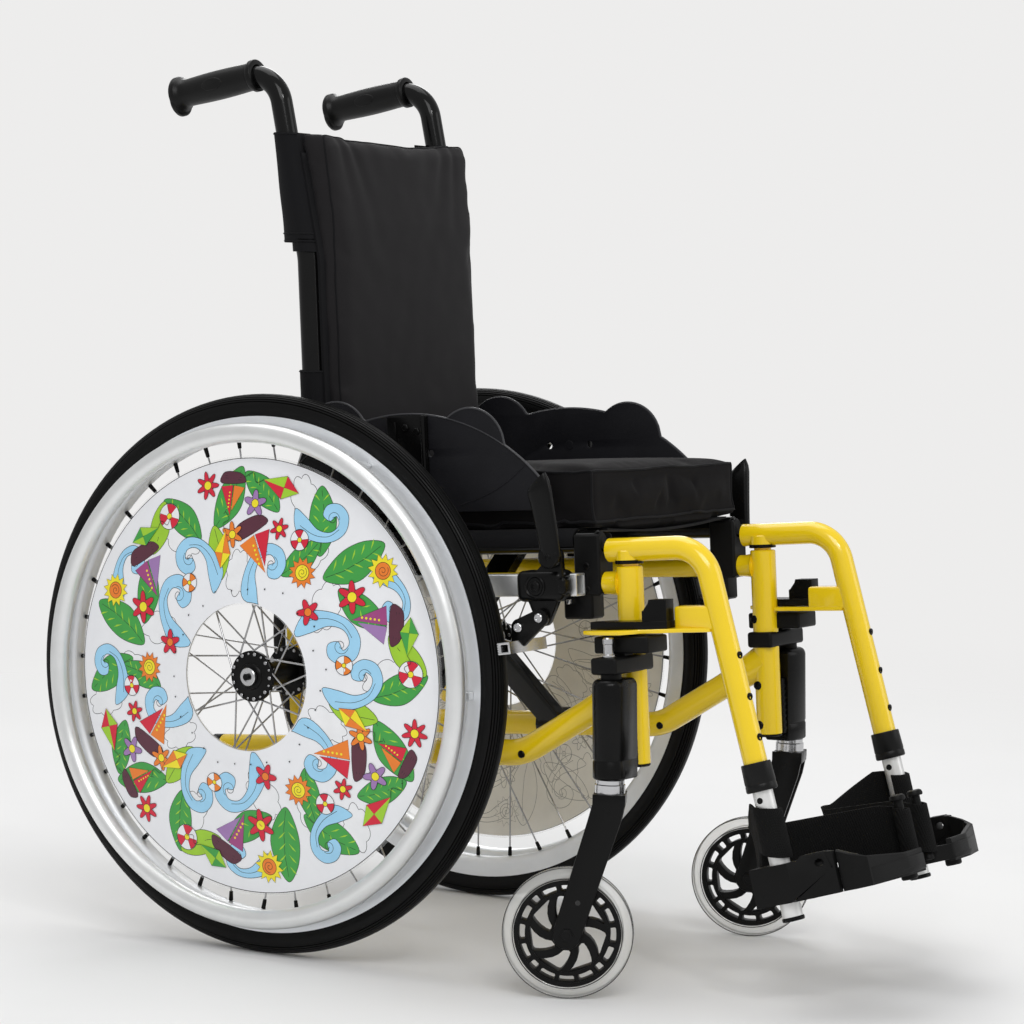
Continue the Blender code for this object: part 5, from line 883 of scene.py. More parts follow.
def fillet(start, way, low, high, length, sides=36):
    """A concave collar of weld that widens from one radius to another along a direction."""
    profile = [(0, 0), (low, 0)]
    for k in range(9):
        a = math.pi / 2 * k / 8
        profile.append((high - (high - low) * math.cos(a), length * math.sin(a)))
    profile.append((0, length))
    return lathe(profile, sides, along(start, Vector(start) + Vector(way)))


def ellipse_ring(centre, across, upwards, half_across, half_up, count=32):
    steps = [2 * math.pi * k / count for k in range(count)]
    return [centre + across * half_across * math.cos(a) + upwards * half_up * math.sin(a) for a in steps]


def post_bolt(y, z, radius, height=0.0018):
    """A low round screw head on each flank of the post, at a place in the chair's own directions."""
    local = FRAME.inverted() @ chair(0, y, z)
    f, u = -local.y, local.z
    flank = math.sqrt(max(POST_RADIUS ** 2 - (f - POST_F) ** 2, 0)) - 0.0008
    profile = [(0, 0), (radius, 0), (radius, height), (radius * 0.8, height + 0.0008),
               (radius * 0.45, height + 0.0010), (radius * 0.4, height), (0, height)]
    heads = []
    for side in (-1, 1):
        place = along(framed(FRAME_X + side * flank, f, u), framed(FRAME_X + side * (flank + 1), f, u))
        heads.append(lathe(profile, 20, place))
    return merge(*heads)


def frame_rod(f, low_u, high_u, radius, sides, chamfer, x=FRAME_X):
    """An upright rod in the frame's directions."""
    return rod(framed(x, f, low_u), framed(x, f, high_u), radius, sides, chamfer)


def lower_tube():
    """The lower side tube with its bend, and the flare where it meets the post."""
    line = [framed(FRAME_X, f, u) for f, u in ((-0.1035, LOWER_U), (0.257, LOWER_U), (POST_F, -0.013))]
    outwards = Vector((1, 0, 0))
    slope = (line[2] - line[1]).normalized()
    upwards = outwards.cross(slope).normalized()
    flare_length, steps = 0.062, 12
    rings = []
    for k in range(steps + 1):
        share = k / steps
        centre = line[2] - slope * flare_length * (1 - share)
        wide, high = POST_RADIUS + 0.0003 * share, POST_RADIUS + 0.0060 * share ** 1.6
        rings.append(ellipse_ring(centre, outwards, upwards, wide, high))
    return merge(sweep(bent(line, [0.060], 20), POST_RADIUS, 40), loft(rings))


def side_frames():
    post = frame_rod(POST_F, -0.0894, 0.100, POST_RADIUS, 44, 0.0012)
    upper = rod(framed(FRAME_X, UPRIGHT_F, UPPER_U), framed(FRAME_X, POST_F, UPPER_U), TUBE_RADIUS, 40, 0)
    ahead = framed(0, 1, 0) - framed(0, 0, 0)
    down = framed(0, 0, -1) - framed(0, 0, 0)
    seam = fillet(framed(FRAME_X, POST_F - 0.0285, UPPER_U), ahead, 0.0108, 0.0150, 0.0200)
    upright = frame_rod(UPRIGHT_F, LOWER_U, 0.150, 0.0135, 40, 0.0008)
    foot = fillet(framed(FRAME_X, UPRIGHT_F, LOWER_U + 0.026), down, 0.0134, 0.0165, 0.016)
    holes = [circle((0, side * 0.025), 0.0065, 24) for side in (-1, 1)]
    rear, half = -0.017, 0.060
    plate = rounded([(rear, -half), (UPRIGHT_F, -half), (UPRIGHT_F, half), (rear, half)], 0.012, 8)
    gusset = prism(plate, 0.010, frame_slab(FRAME_X - 0.005), 0.0012, holes)
    pair("side_frame_tubes", merge(post, upper, seam, lower_tube(), upright, foot, gusset), "frame", "yellow",
         ["side_frame"])
    trims = [rod(framed(FRAME_X, -0.1180, LOWER_U), framed(FRAME_X, -0.1030, LOWER_U), 0.0129, 36, 0.0025),
             frame_rod(POST_F, -0.0914, -0.0880, 0.0128, 36, 0.0012)]
    for y, z, radius in ((-0.374, 0.337, 0.0042), (-0.376, 0.317, 0.0042), (-0.384, 0.3175, 0.0022),
                         (-0.3805, 0.2695, 0.0045), (-0.384, 0.229, 0.0045)):
        trims.append(post_bolt(y, z, radius))
    for f, u in ((0.070, UPPER_U), (0.262, LOWER_U), (0.120, LOWER_U)):
        trims.append(rod(framed(FRAME_X - 0.0138, f, u), framed(FRAME_X + 0.0138, f, u), 0.0038, 20, 0.0008))
    pair("frame_trims", merge(*trims), "frame", "smooth_plastic")
    collar = [(0.0063, 0.1290), (0.0105, 0.1290), (0.0115, 0.1300), (0.0115, 0.1565), (0.0105, 0.1575),
              (0.0063, 0.1575)]
    pair("axle_receiver", lathe(collar, 40, WHEEL, closed=True), "frame", "steel")


# Back canes and push grips

KNEE_Y, KNEE_Z, CREST_Y, CREST_Z = 0.0039, 0.696, 0.0474, 0.8842
GRIP_FRONT = (0.0697, 0.8799)
GRIP_REAR = (0.1709, 0.8607)


def cane_line():
    foot = framed(FRAME_X, UPRIGHT_F, 0.1053)
    knee, crest = chair(FRAME_X, KNEE_Y, KNEE_Z), chair(FRAME_X, CREST_Y, CREST_Z)
    front, rear = chair(FRAME_X, *GRIP_FRONT), chair(FRAME_X, *GRIP_REAR)
    return bent([foot, knee, crest, rear - (rear - front).normalized() * 0.009], [0.070, 0.034], 16)


def grip_profile(length):
    """The sleeve's collar, its swollen middle and its end flange."""
    profile = [(0.0112, 0), (0.0158, 0), (0.0165, 0.0008),
               (0.0165, 0.0050), (0.0158, 0.0060), (0.0143, 0.0064)]
    steps = 14
    for k in range(1, steps):
        share = k / steps
        swell = 0.0140 + 0.0011 * math.sin(math.pi * share) ** 1.2
        profile.append((swell, 0.0064 + (length - 0.0190) * share))
    flange = [(0.0141, 0.0126), (0.0156, 0.0090), (0.0180, 0.0070), (0.0185, 0.0058), (0.0185, 0.0015),
              (0.0172, 0), (0.0100, 0), (0.0092, 0.0010), (0, 0.0010)]
    return profile + [(radius, length - back) for radius, back in flange]


def canes():
    pair("cane_tube", sweep(cane_line(), CANE_RADIUS, 36), "frame", "black_tube", ["back_cane"])
    front, rear = chair(FRAME_X, *GRIP_FRONT), chair(FRAME_X, *GRIP_REAR)
    length = (rear - front).length
    way = (rear - front).normalized()
    sleeve = lathe(grip_profile(length), 48, along(front, rear))
    low = Vector((0, 0, -0.006))
    lip = rod(rear - way * 0.0068 + low, rear - way * 0.0004 + low, 0.0165, 40, 0.0015)
    oval = [(0.0125 * x, 0.0062 * y) for x, y in circle((0, 0), 1, 36)]
    pads = []
    for side in (-1, 1):
        base = front + way * length * 0.48 + Vector((side * 0.0138, 0, 0))
        upright = -Vector((0, 0, 1)).cross(way).cross(way)
        turn = Matrix((way, upright, Vector((side, 0, 0)))).transposed().to_4x4()
        pads.append(prism(oval, 0.0014, Matrix.Translation(base) @ turn, 0.0006))
    pair("grip_sleeve", merge(sleeve, lip, *pads), "frame", "rubber", ["push_grip"], 50)


# Clothes guards

PANEL_X = 0.1531
ARC_CENTRE, ARC_RADIUS = (-0.143, 0.336), 0.208
HUMPS, HUMP_RADIUS = ((-0.2045, 0.5135), (-0.0465, 0.5135)), 0.039
SEAM_LOW, SEAM_HIGH, SEAM_BOW = Vector((0.2059, 0.1621)), Vector((0.2852, 0.2012)), Vector((0.0040, -0.0050))
PANEL_SAMPLES = 90


def panel_top():
    """The guard's upper edge in the frame's directions: a large arc with two humps."""
    def arch(centre, radius, y):
        inside = radius ** 2 - (y - centre[0]) ** 2
        return centre[1] + math.sqrt(inside) if inside > 0 else -1.0

    front = ARC_CENTRE[0] - ARC_RADIUS * math.cos(math.radians(42))
    rear = HUMPS[1][0] + HUMP_RADIUS * 0.9
    top = []
    for k in range(PANEL_SAMPLES + 1):
        y = front + (rear - front) * k / PANEL_SAMPLES
        z = max(arch(ARC_CENTRE, ARC_RADIUS, y), *(arch(hump, HUMP_RADIUS, y) for hump in HUMPS))
        local = FRAME.inverted() @ chair(0, y, z)
        top.append((-local.y, local.z))
    return top


def clothes_guards():
    x, foot, bolt_u = PANEL_X, 0.156, 0.214
    top = panel_top()
    outline = [(top[0][0], foot), *top, (0.002, foot)]
    holes = [circle((f, bolt_u), 0.0035, 20) for f in (0.1255, 0.1755)]
    sheet = prism(outline, 0.0038, frame_slab(x), 0.0008, holes)
    rim = sweep([framed(x + 0.0030, f, u) for f, u in top], 0.0012, 10)
    arcs = []
    for start, end in ((40, 72), (96, 137)):
        line = [chair(x + 0.0040, y, z) for y, z in arc(ARC_CENTRE, ARC_RADIUS, start, end, 30)]
        arcs.append(sweep(line, 0.0007, 8))
    shares = [k / 16 for k in range(17)]
    bow = [SEAM_LOW.lerp(SEAM_HIGH, share) + SEAM_BOW * math.sin(math.pi * share) for share in shares]
    groove = sweep([framed(x + 0.0038, *spot) for spot in bow], 0.0006, 8)
    boss = rod(framed(x - 0.0006, 0.1505, bolt_u), framed(x + 0.0004, 0.1505, bolt_u), 0.0050, 28, 0.0004)
    pair("guard_panel", merge(sheet, groove, boss), "guard", "grained", ["clothes_guard"])
    pair("guard_edges", merge(rim, *arcs), "guard", "edge_plastic")
    rail_top = UPPER_U + RAIL_HALF + GAP
    strap = [(0.128, 0.176), (0.140, foot), (0.140, rail_top), (0.170, rail_top), (0.170, foot),
             (0.174, 0.176), (0.174, 0.2505), (0.172, 0.2525), (0.130, 0.2525), (0.128, 0.2505)]
    plate = prism(strap, 0.0045, frame_slab(x + 0.0035), 0.0010)
    ridge = box((x + 0.0072, -0.1392, 0.186), (x + 0.0092, -0.1368, 0.246), FRAME, 0.0006, 2)
    bar = frame_rod(0.1715, 0.180, 0.2520, 0.0026, 24, 0.0006, x + 0.0098)
    pair("guard_bracket", merge(plate, ridge, bar), "guard", "smooth_plastic")
    screws = [rod(framed(x + 0.0075, f, u), framed(x + 0.0100, f, u), 0.0036, 6, 0.0005)
              for f, u in ((0.150, 0.196), (0.150, 0.240), (0.163, 0.236))]
    pair("guard_screws", merge(*screws), "guard", "black_satin")


# Brakes

def hollow_bar(low, high, wall=0.002):
    """A square tube between two corners in the frame's axes, open at both ends."""
    (x0, y0, z0), (x1, y1, z1) = low, high
    outline = rounded([(x0, z0), (x1, z0), (x1, z1), (x0, z1)], 0.0018, 4)
    inner = [(x0 + wall, z0 + wall), (x1 - wall, z0 + wall), (x1 - wall, z1 - wall), (x0 + wall, z1 - wall)]
    lay = FRAME @ Matrix(((1, 0, 0, 0), (0, 0, -1, y1), (0, 1, 0, 0), (0, 0, 0, 1)))
    return prism(outline, y1 - y0, lay, 0.0003, [rounded(inner, 0.0008, 3)])


def hex_head(place, way, radius, height):
    """A screw head with a socket, standing on a point."""
    profile = [(0, 0), (radius, 0), (radius, height * 0.75), (radius * 0.85, height), (radius * 0.55, height),
               (radius * 0.5, height * 0.55), (0, height * 0.5)]
    return lathe(profile, 24, along(place, Vector(place) + Vector(way)))


OUTWARDS = Vector((1, 0, 0))
BODY_SCREW_F = 0.3076
LEVER_F, LEVER_U = 0.3285, 0.1123
LINK_PIN, LINK_KNEE, PIN_EAR = (0.3125, 0.0542), (0.2893, 0.0451), 0.0085
SHOE_U, SHOE_HALF = 0.0262, 0.00575


def brake_bodies():
    """The square rail, and the clamp's shell with its ears, lever seat and screw."""
    low, high = UPPER_U - RAIL_HALF, UPPER_U + RAIL_HALF
    bar = hollow_bar((RAIL_LOW, -0.3292, low), (RAIL_LOW + 0.020, -0.100, high))
    pair("brake_rail_bar", bar, "frame", "alloy", ["brake_rail"])
    tab = box((RAIL_LOW + 0.004, -0.3325, UPPER_U - 0.0185),
              (RAIL_LOW + 0.0165, -0.3290, UPPER_U - 0.0113), FRAME, 0.0008)
    pair("rail_tab", tab, "frame", "steel")
    half = RAIL_HALF + GAP + 0.0040
    shell = box((0.1590, -0.3365, UPPER_U - half), (0.1880, -0.2850, UPPER_U + half), FRAME, 0.0072, 6)
    snout = box((0.1700, -0.3395, UPPER_U - 0.0085), (0.1872, -0.3300, UPPER_U + 0.0085), FRAME, 0.0038, 5)
    ears = prism([(0.2910, UPPER_U), *arc(LINK_PIN, PIN_EAR, 210, 330, 10), (0.3365, UPPER_U),
                  *arc((0.3267, LEVER_U), PIN_EAR, -20, 200, 16)], 0.0085, frame_slab(0.1760), 0.0012)
    seat = rod(framed(0.1770, 0.3267, LEVER_U), framed(0.1890 - GAP, 0.3267, LEVER_U), 0.0070, 32, 0)
    bead = [(0.0102, 0), (0.0112, 0.0006), (0.0112, 0.0014), (0.0098, 0.0022), (0.0085, 0.0014),
            (0.0080, 0.0002), (0, 0.0002)]
    spot = framed(0.1874, BODY_SCREW_F, UPPER_U)
    cheek = lathe(bead, 40, along(spot, framed(1.1874, BODY_SCREW_F, UPPER_U)))
    pair("brake_shell", merge(shell, snout, ears, seat, cheek), "frame", "smooth_plastic", ["brake_body"], 40)
    mouth = hollow_bar((RAIL_LOW + 0.003, -0.3428, low), (RAIL_LOW + 0.020, -0.3285, high))
    pair("brake_rail_mouth", mouth, "frame", "alloy")
    screw = hex_head(framed(0.1868, BODY_SCREW_F, UPPER_U), OUTWARDS, 0.0052, 0.0030)
    pair("brake_body_screw", screw, "frame", "black_satin")


def brake_levers():
    """The paddle, a rounded section that widens upwards, leans outwards and ends in a slanted tip."""
    steps, around = 14, 28
    top_f, top_u, foot_x, top_x = 0.3252, 0.186, 0.1935, 0.2045
    sections = []
    for k in range(steps + 1):
        share = k / steps
        f = 0.3306 + (top_f - 0.3306) * share
        u = LEVER_U + (top_u - LEVER_U) * share
        x = foot_x + (top_x - foot_x) * share ** 1.3
        half = (0.0104 + 0.0018 * share) * (1 - 0.30 * max(share - 0.90, 0) * 10)
        thick = (0.009 + 0.004 * share) / 2 * (1 - max(share - 0.92, 0) * 6)
        slant = 0.0070 * share ** 4
        section = []
        for c, s in circle((0, 0), 1, around):
            forward = half * math.copysign(abs(c) ** 0.75, c)
            side = thick * math.copysign(abs(s) ** 0.6, s)
            section.append(framed(x + side, f + forward, u + slant * forward / half))
        sections.append(section)
    boss = rod(framed(0.1890, LEVER_F, LEVER_U), framed(0.1980, LEVER_F, LEVER_U), 0.0110, 40, 0.0014)
    pair("lever_paddle", merge(loft(sections), boss), "lever", "smooth_plastic", ["brake_lever"], 45)
    screw = hex_head(framed(0.1975, LEVER_F, LEVER_U), OUTWARDS, 0.0032, 0.0014)
    pair("lever_screw", screw, "lever", "black_satin")


def brake_shoes():
    """The toothed hollow bar in front of the tyre, on its arm."""
    reach = WHEEL_RADIUS + 0.0004
    turn = math.asin(SHOE_U / reach)
    teeth = 5
    pitch = 2 * SHOE_HALF / teeth
    outline = [(reach + 0.0145, -SHOE_HALF), (reach + 0.0145, SHOE_HALF)]
    for k in range(teeth):
        high = SHOE_HALF - k * pitch
        outline += [(reach + 0.0012, high), (reach, high - pitch / 2)]
    outline.append((reach + 0.0012, -SHOE_HALF))
    near, far, half = reach + 0.0045, reach + 0.0122, 0.0036
    hollow = rounded([(near, -half), (far, -half), (far, half), (near, half)], 0.0008, 3)
    radial = Matrix.Translation((0, AXLE_Y, AXLE_Z)) @ Matrix.Rotation(-TILT - turn, 4, "X")
    bar = prism(outline, 0.068, radial @ facing_side(0.147), 0.0003, [hollow])
    pair("shoe_bar", bar, "shoe", "steel", ["brake_shoe"])
    bar_f = (reach + 0.00725) * math.cos(turn)
    arm = prism([*arc(LINK_PIN, PIN_EAR, -60, 100, 12), *arc(LINK_KNEE, PIN_EAR, 100, 200, 8),
                 (bar_f - 0.006, SHOE_U), (bar_f + 0.006, SHOE_U)], 0.0060, frame_slab(0.1850), 0.0008)
    pair("shoe_arm", arm, "shoe", "smooth_plastic")
    heads = [hex_head(framed(0.1908, *spot), OUTWARDS, 0.0044, 0.0027) for spot in (LINK_PIN, LINK_KNEE)]
    pair("shoe_screws", merge(*heads), "shoe", "steel")


# Seat rails, blocks and cross brace

def seat_frame():
    for side, sign, body in (("left", 1, "brace_a"), ("right", -1, "brace_b")):
        x = sign * FRAME_X
        bar = rod(framed(x, 0.048, SEAT_RAIL_U), framed(x, 0.352, SEAT_RAIL_U), 0.011, 36, 0.001)
        piece(side + "_seat_rail_tube", bar, body, "black_tube", [side + "_seat_rail"])
        plug = merge(rod(framed(x, 0.3515, SEAT_RAIL_U), framed(x, 0.356, SEAT_RAIL_U), 0.0090, 32, 0.0018),
                     rod(framed(x, 0.3550, SEAT_RAIL_U), framed(x, 0.3562, SEAT_RAIL_U), 0.0040, 20, 0.0005))
        piece(side + "_seat_rail_plug", plug, body, "plastic")
    carried("rail_block", 0.0030, "plastic", "frame")
    bolts = [hex_head(framed(FRAME_X + 0.0128, 0.3440, u), OUTWARDS, 0.0034, 0.0016)
             for u in (0.1010, 0.0785)]
    pair("rail_block_screws", merge(*bolts), "frame", "black_satin")
    for node, body in (("cross_bar_a", "brace_a"), ("cross_bar_b", "brace_b")):
        piece(node + "_form", from_cad(node, 0.0016), body, "black_tube", [node])
    piece("cross_bolt_form", from_cad("cross_bolt", 0.0006), "brace_a", "steel", ["cross_bolt"])


# Casters

def lofted_cover(outline, levels, matrix):
    """A flat outline stacked at levels of (height, inset), drawn in towards its middle by the inset."""
    count = len(outline)
    centre = Vector((sum(p[0] for p in outline) / count, sum(p[1] for p in outline) / count))
    rings = []
    for height, inset in levels:
        ring = []
        for x, y in outline:
            way = Vector((x, y)) - centre
            point = centre + way * max(1 - inset / way.length, 0.02)
            ring.append(matrix @ Vector((point.x, point.y, height)))
        rings.append(ring)
    return loft(rings)


COVER_Z = 0.2100
STRIP_X = 0.1524


def caster_housings():
    """The moulded cover, its ribbed backing strip, clamp, shelf and tension pin."""
    inner = STRIP_X + 0.006 - SWIVEL_X
    lean = (Matrix.Translation(chair(SWIVEL_X, SWIVEL_Y, COVER_Z))
            @ Matrix.Rotation(-math.radians(2.0), 4, "X"))
    top = framed(SWIVEL_X, POST_F, -0.0030).z - COVER_Z
    round_radius, crown = 0.0165, 0.0070
    outline = [(inner, -0.0125), (inner + 0.006, -round_radius), *arc((0, 0), round_radius, -90, 90, 36),
               (inner + 0.006, round_radius), (inner, 0.0125)]
    levels = [(0.0002, 0.0014), (0.0016, 0), (0.0165, 0), (0.0175, 0.0007), (0.0190, 0.0007), (0.0200, 0)]
    for k in range(7):
        a = math.radians(15 * k)
        levels.append((top - 0.0075 + crown * math.sin(a), crown * (1 - math.cos(a))))
    cover = lofted_cover(outline, levels, lean)
    pair("housing_cover", cover, "frame", "smooth_plastic", ["caster_housing"], 40)
    strip = box((STRIP_X, -POST_F - 0.0095, -0.090), (0.1620, -POST_F + 0.0095, -0.0335), FRAME, 0.0012)
    ribs = []
    for k in range(8):
        u = -0.086 + 0.0062 * k
        ribs.append(box((0.1535, -POST_F - 0.0101, u), (0.1610, -POST_F + 0.0101, u + 0.0028),
                        FRAME, 0.0006, 2))
    neck = frame_rod(POST_F + 0.001, -0.0150, 0.0025, 0.010, 32, 0, SWIVEL_X - 0.004)
    clamp = box((0.1225, -0.3980, 0.0005), (0.1970, -0.3700, 0.0165), FRAME, 0.0030, 4)
    shelf = box((FRAME_X, -0.4225, 0.0192), (0.1780, -0.3640, 0.0352), FRAME, 0.0022, 3)
    stay = box((FRAME_X + 0.017, -0.3940, 0.0140), (0.1720, -0.3740, 0.0222), FRAME, 0.0008)
    pair("housing_clamp", merge(strip, *ribs, neck, clamp, shelf, stay), "frame", "plastic")
    pin_x, pin_f = 0.1870, 0.3855
    pins = [frame_rod(pin_f, low, high, radius, 28, chamfer, pin_x)
            for low, high, radius, chamfer in ((0.0145, 0.0352, 0.0050, 0.0006),
                                               (0.0165, 0.0195, 0.0056, 0.0005),
                                               (0.0290, 0.0345, 0.0056, 0.0005))]
    screw = hex_head(framed(0.1965, POST_F, 0.0085), OUTWARDS, 0.0034, 0.0004)
    pair("housing_pin", merge(*pins, screw), "frame", "steel")


def soft_corners(points, trim):
    """Cuts the sharp corners of an outline by a short length."""
    out = []
    count = len(points)
    for k in range(count):
        before, corner, after = (Vector(points[(k + i) % count]) for i in (-1, 0, 1))
        if (corner - before).angle(after - corner) > math.radians(50):
            out += [tuple(corner + (end - corner).normalized() * trim) for end in (before, after)]
        else:
            out.append(tuple(corner))
    return out


def arc_slot(low, high, middle, half, steps):
    """A slot between two radii, either side of an angle, with softened corners."""
    outer = arc((0, 0), high, middle - half, middle + half, steps)
    inner = arc((0, 0), low, middle + half, middle - half, steps)
    return soft_corners(outer + inner, 0.0010)


def caster_disc():
    """The moulded hub: an outer ring of slotted arcs, an inner ring and swept spokes."""
    outer, half_wide = 0.0512 - GAP, 0.0085
    holes = []
    for quarter in (0, 90, 180, 270):
        for step in (-1, 0, 1):
            holes.append(arc_slot(0.0405, 0.0462, quarter + step * 74 / 3, 74 / 3 * 0.39, 6))
    spokes_a_hub, low, deep, sweep_angle = 7, 0.0165, 0.0205, 30
    for k in range(spokes_a_hub):
        start, half = 360 / spokes_a_hub * k, 180 / spokes_a_hub * 0.74
        window = []
        for side, shares in ((-1, (0, 0.25, 0.5, 0.75, 1)), (1, (1, 0.75, 0.5, 0.25, 0))):
            for share in shares:
                a = math.radians(start + sweep_angle * share + side * half * (0.62 + 0.38 * share))
                r = low + deep * share
                window.append((r * math.cos(a), r * math.sin(a)))
        holes.append(soft_corners(window, 0.0016))
    for middle in (45, 135, 225, 315):
        holes.append(arc_slot(0.0400, 0.0470, middle, 5, 4))
    face = prism(circle((0, 0), outer, 72), 0.0150, Matrix.Translation((0, 0, -0.0075)), 0.0008, holes)
    rings = [([(0.0470, -half_wide), (outer, -half_wide), (outer, half_wide), (0.0470, half_wide),
               (0.0474, 0)], 72),
             ([(0.0365, -0.0082), (0.0392, -0.0082), (0.0392, 0.0082), (0.0365, 0.0082)], 60),
             ([(0.0050, -0.0120), (0.0105, -0.0120), (0.0125, -0.0105), (0.0125, 0.0105), (0.0105, 0.0120),
               (0.0050, 0.0120)], 40)]
    return merge(face, *[lathe(ring, steps, Matrix.Identity(4), closed=True) for ring, steps in rings])


def fork_parts():
    """The fork's blades, bolts, holes and stem sleeve, in the caster's own axes."""
    axle = Vector((0, CASTER_TRAIL, CASTER_RADIUS))
    blade = [(-0.0155, 0.197), (-0.0155, 0.190), (-0.0120, 0.172),
             *arc((CASTER_TRAIL, CASTER_RADIUS), 0.0135, 198, 378, 24),
             (0.0200, 0.171), (0.0155, 0.188), (0.0155, 0.197)]
    blades = []
    for x in (-0.0173, 0.0128):
        upright = Matrix(((0, 0, 1, x), (1, 0, 0, 0), (0, 1, 0, 0), (0, 0, 0, 1)))
        blades.append(prism(blade, 0.0045, upright, 0.0009))
    crown = box((-0.0170, -0.0155, 0.1850), (0.0170, 0.0155, 0.1970), None, 0.0016, 3)
    bolts = [rod(axle - OUTWARDS * 0.0203, axle + OUTWARDS * 0.0203, 0.0036, 20, 0.0006)]
    bolts += [rod(axle + OUTWARDS * s * 0.0170, axle + OUTWARDS * s * 0.0200, 0.0064, 6, 0.0006)
              for s in (-1, 1)]
    bolts += [rod((s * 0.0170, 0.002, 0.1815), (s * 0.0178, 0.002, 0.1815), 0.0034, 20, 0.0003)
              for s in (-1, 1)]
    holes = [rod((s * 0.01725, 0.0270, 0.094), (s * 0.01745, 0.0270, 0.094), 0.0026, 20, 0)
             for s in (-1, 1)]
    sleeve = [(0, 0.1965), (0.0138, 0.1965), (0.0145, 0.1972), (0.0145, 0.2050), (0.0136, 0.2058),
              (0.0136, 0.2095), (0.0060, 0.2095), (0.0060, 0.2610), (0, 0.2620)]
    return (("fork_blades", merge(*blades, crown), "black_satin", ["caster_fork"], 35),
            ("fork_bolt", merge(*bolts), "black_satin", (), 35),
            ("fork_hole", merge(*holes), "tread_edge", (), 35),
            ("fork_sleeve", lathe(sleeve, 44, Matrix.Identity(4)), "steel", (), 35))


def caster_wheel_parts():
    """The clear tyre with its dark edge lines, the hub and its seals, in the caster's own axes."""
    spin = Matrix.Translation((0, CASTER_TRAIL, CASTER_RADIUS)) @ Matrix.Rotation(math.pi / 2, 4, "Y")
    half = [(0.0512, 0.0086), (0.0535, 0.0098)]
    for k in range(11):
        a = math.radians(10 + 8 * k)
        half.append((0.0520 + 0.0105 * math.sin(a), 0.0020 + 0.0095 * math.cos(a)))
    tread = lathe(half + [(r, -x) for r, x in reversed(half)], 96, spin, closed=True)
    lines, seals = [], []
    for s in (-1, 1):
        for r, x, w in ((0.0618, 0.0052, 0.0006), (0.0522, 0.0094, 0.0005)):
            profile = [(r - w, x * s), (r, (x + 0.0003) * s), (r + w, x * s), (r, (x - 0.0004) * s)]
            lines.append(lathe(profile, 96, spin, closed=True))
        seal = [(0.0066, s * 0.0121), (0.0100, s * 0.0121), (0.0100, s * 0.0116), (0.0066, s * 0.0116)]
        seals.append(lathe(seal, 36, spin, closed=True))
    disc = caster_disc()
    bmesh.ops.transform(disc, matrix=spin, verts=disc.verts)
    return (("caster_tread", tread, "clear_tyre", ["caster_tyre"], 60),
            ("caster_lines", merge(*lines), "tread_edge", (), 35),
            ("caster_disc", disc, "plastic", ["caster_hub"], 35),
            ("caster_seals", merge(*seals), "steel", (), 35))


def casters():
    for side, sign in SIDES:
        place = (Matrix.Translation(chair(sign * SWIVEL_X, SWIVEL_Y, 0))
                 @ Matrix.Rotation(CASTER_TURN[side], 4, "Z"))
        for body, parts in (("caster_swivel", fork_parts()), ("caster_wheel", caster_wheel_parts())):
            for name, bm, finish, nodes, angle in parts:
                bmesh.ops.transform(bm, matrix=place, verts=bm.verts)
                nodes_here = [side + "_" + node for node in nodes]
                piece(side + "_" + name, bm, side + "_" + body, finish, nodes_here, angle)


# Hangers, latches and footrests

COLLAR_Y, COLLAR_Z = -0.5212, 0.2190
BEND_Y, BEND_Z = -0.4556, 0.4311
PLATE_Z = 0.1095
PLATE_HINGE_X = 0.1210
PLATE_INNER_X = 0.0125
PLATE_REAR = 0.0150
NOSE_X = (0.0330, 0.0680)
LOOP_POST_X = 0.0195
LOOP_POST_BACK = 0.0216


def leg_point(z):
    """A point on the hanger's front leg, at a height."""
    share = (z - COLLAR_Z) / (BEND_Z - COLLAR_Z)
    return chair(HANGER_X, COLLAR_Y + (BEND_Y - COLLAR_Y) * share, z)


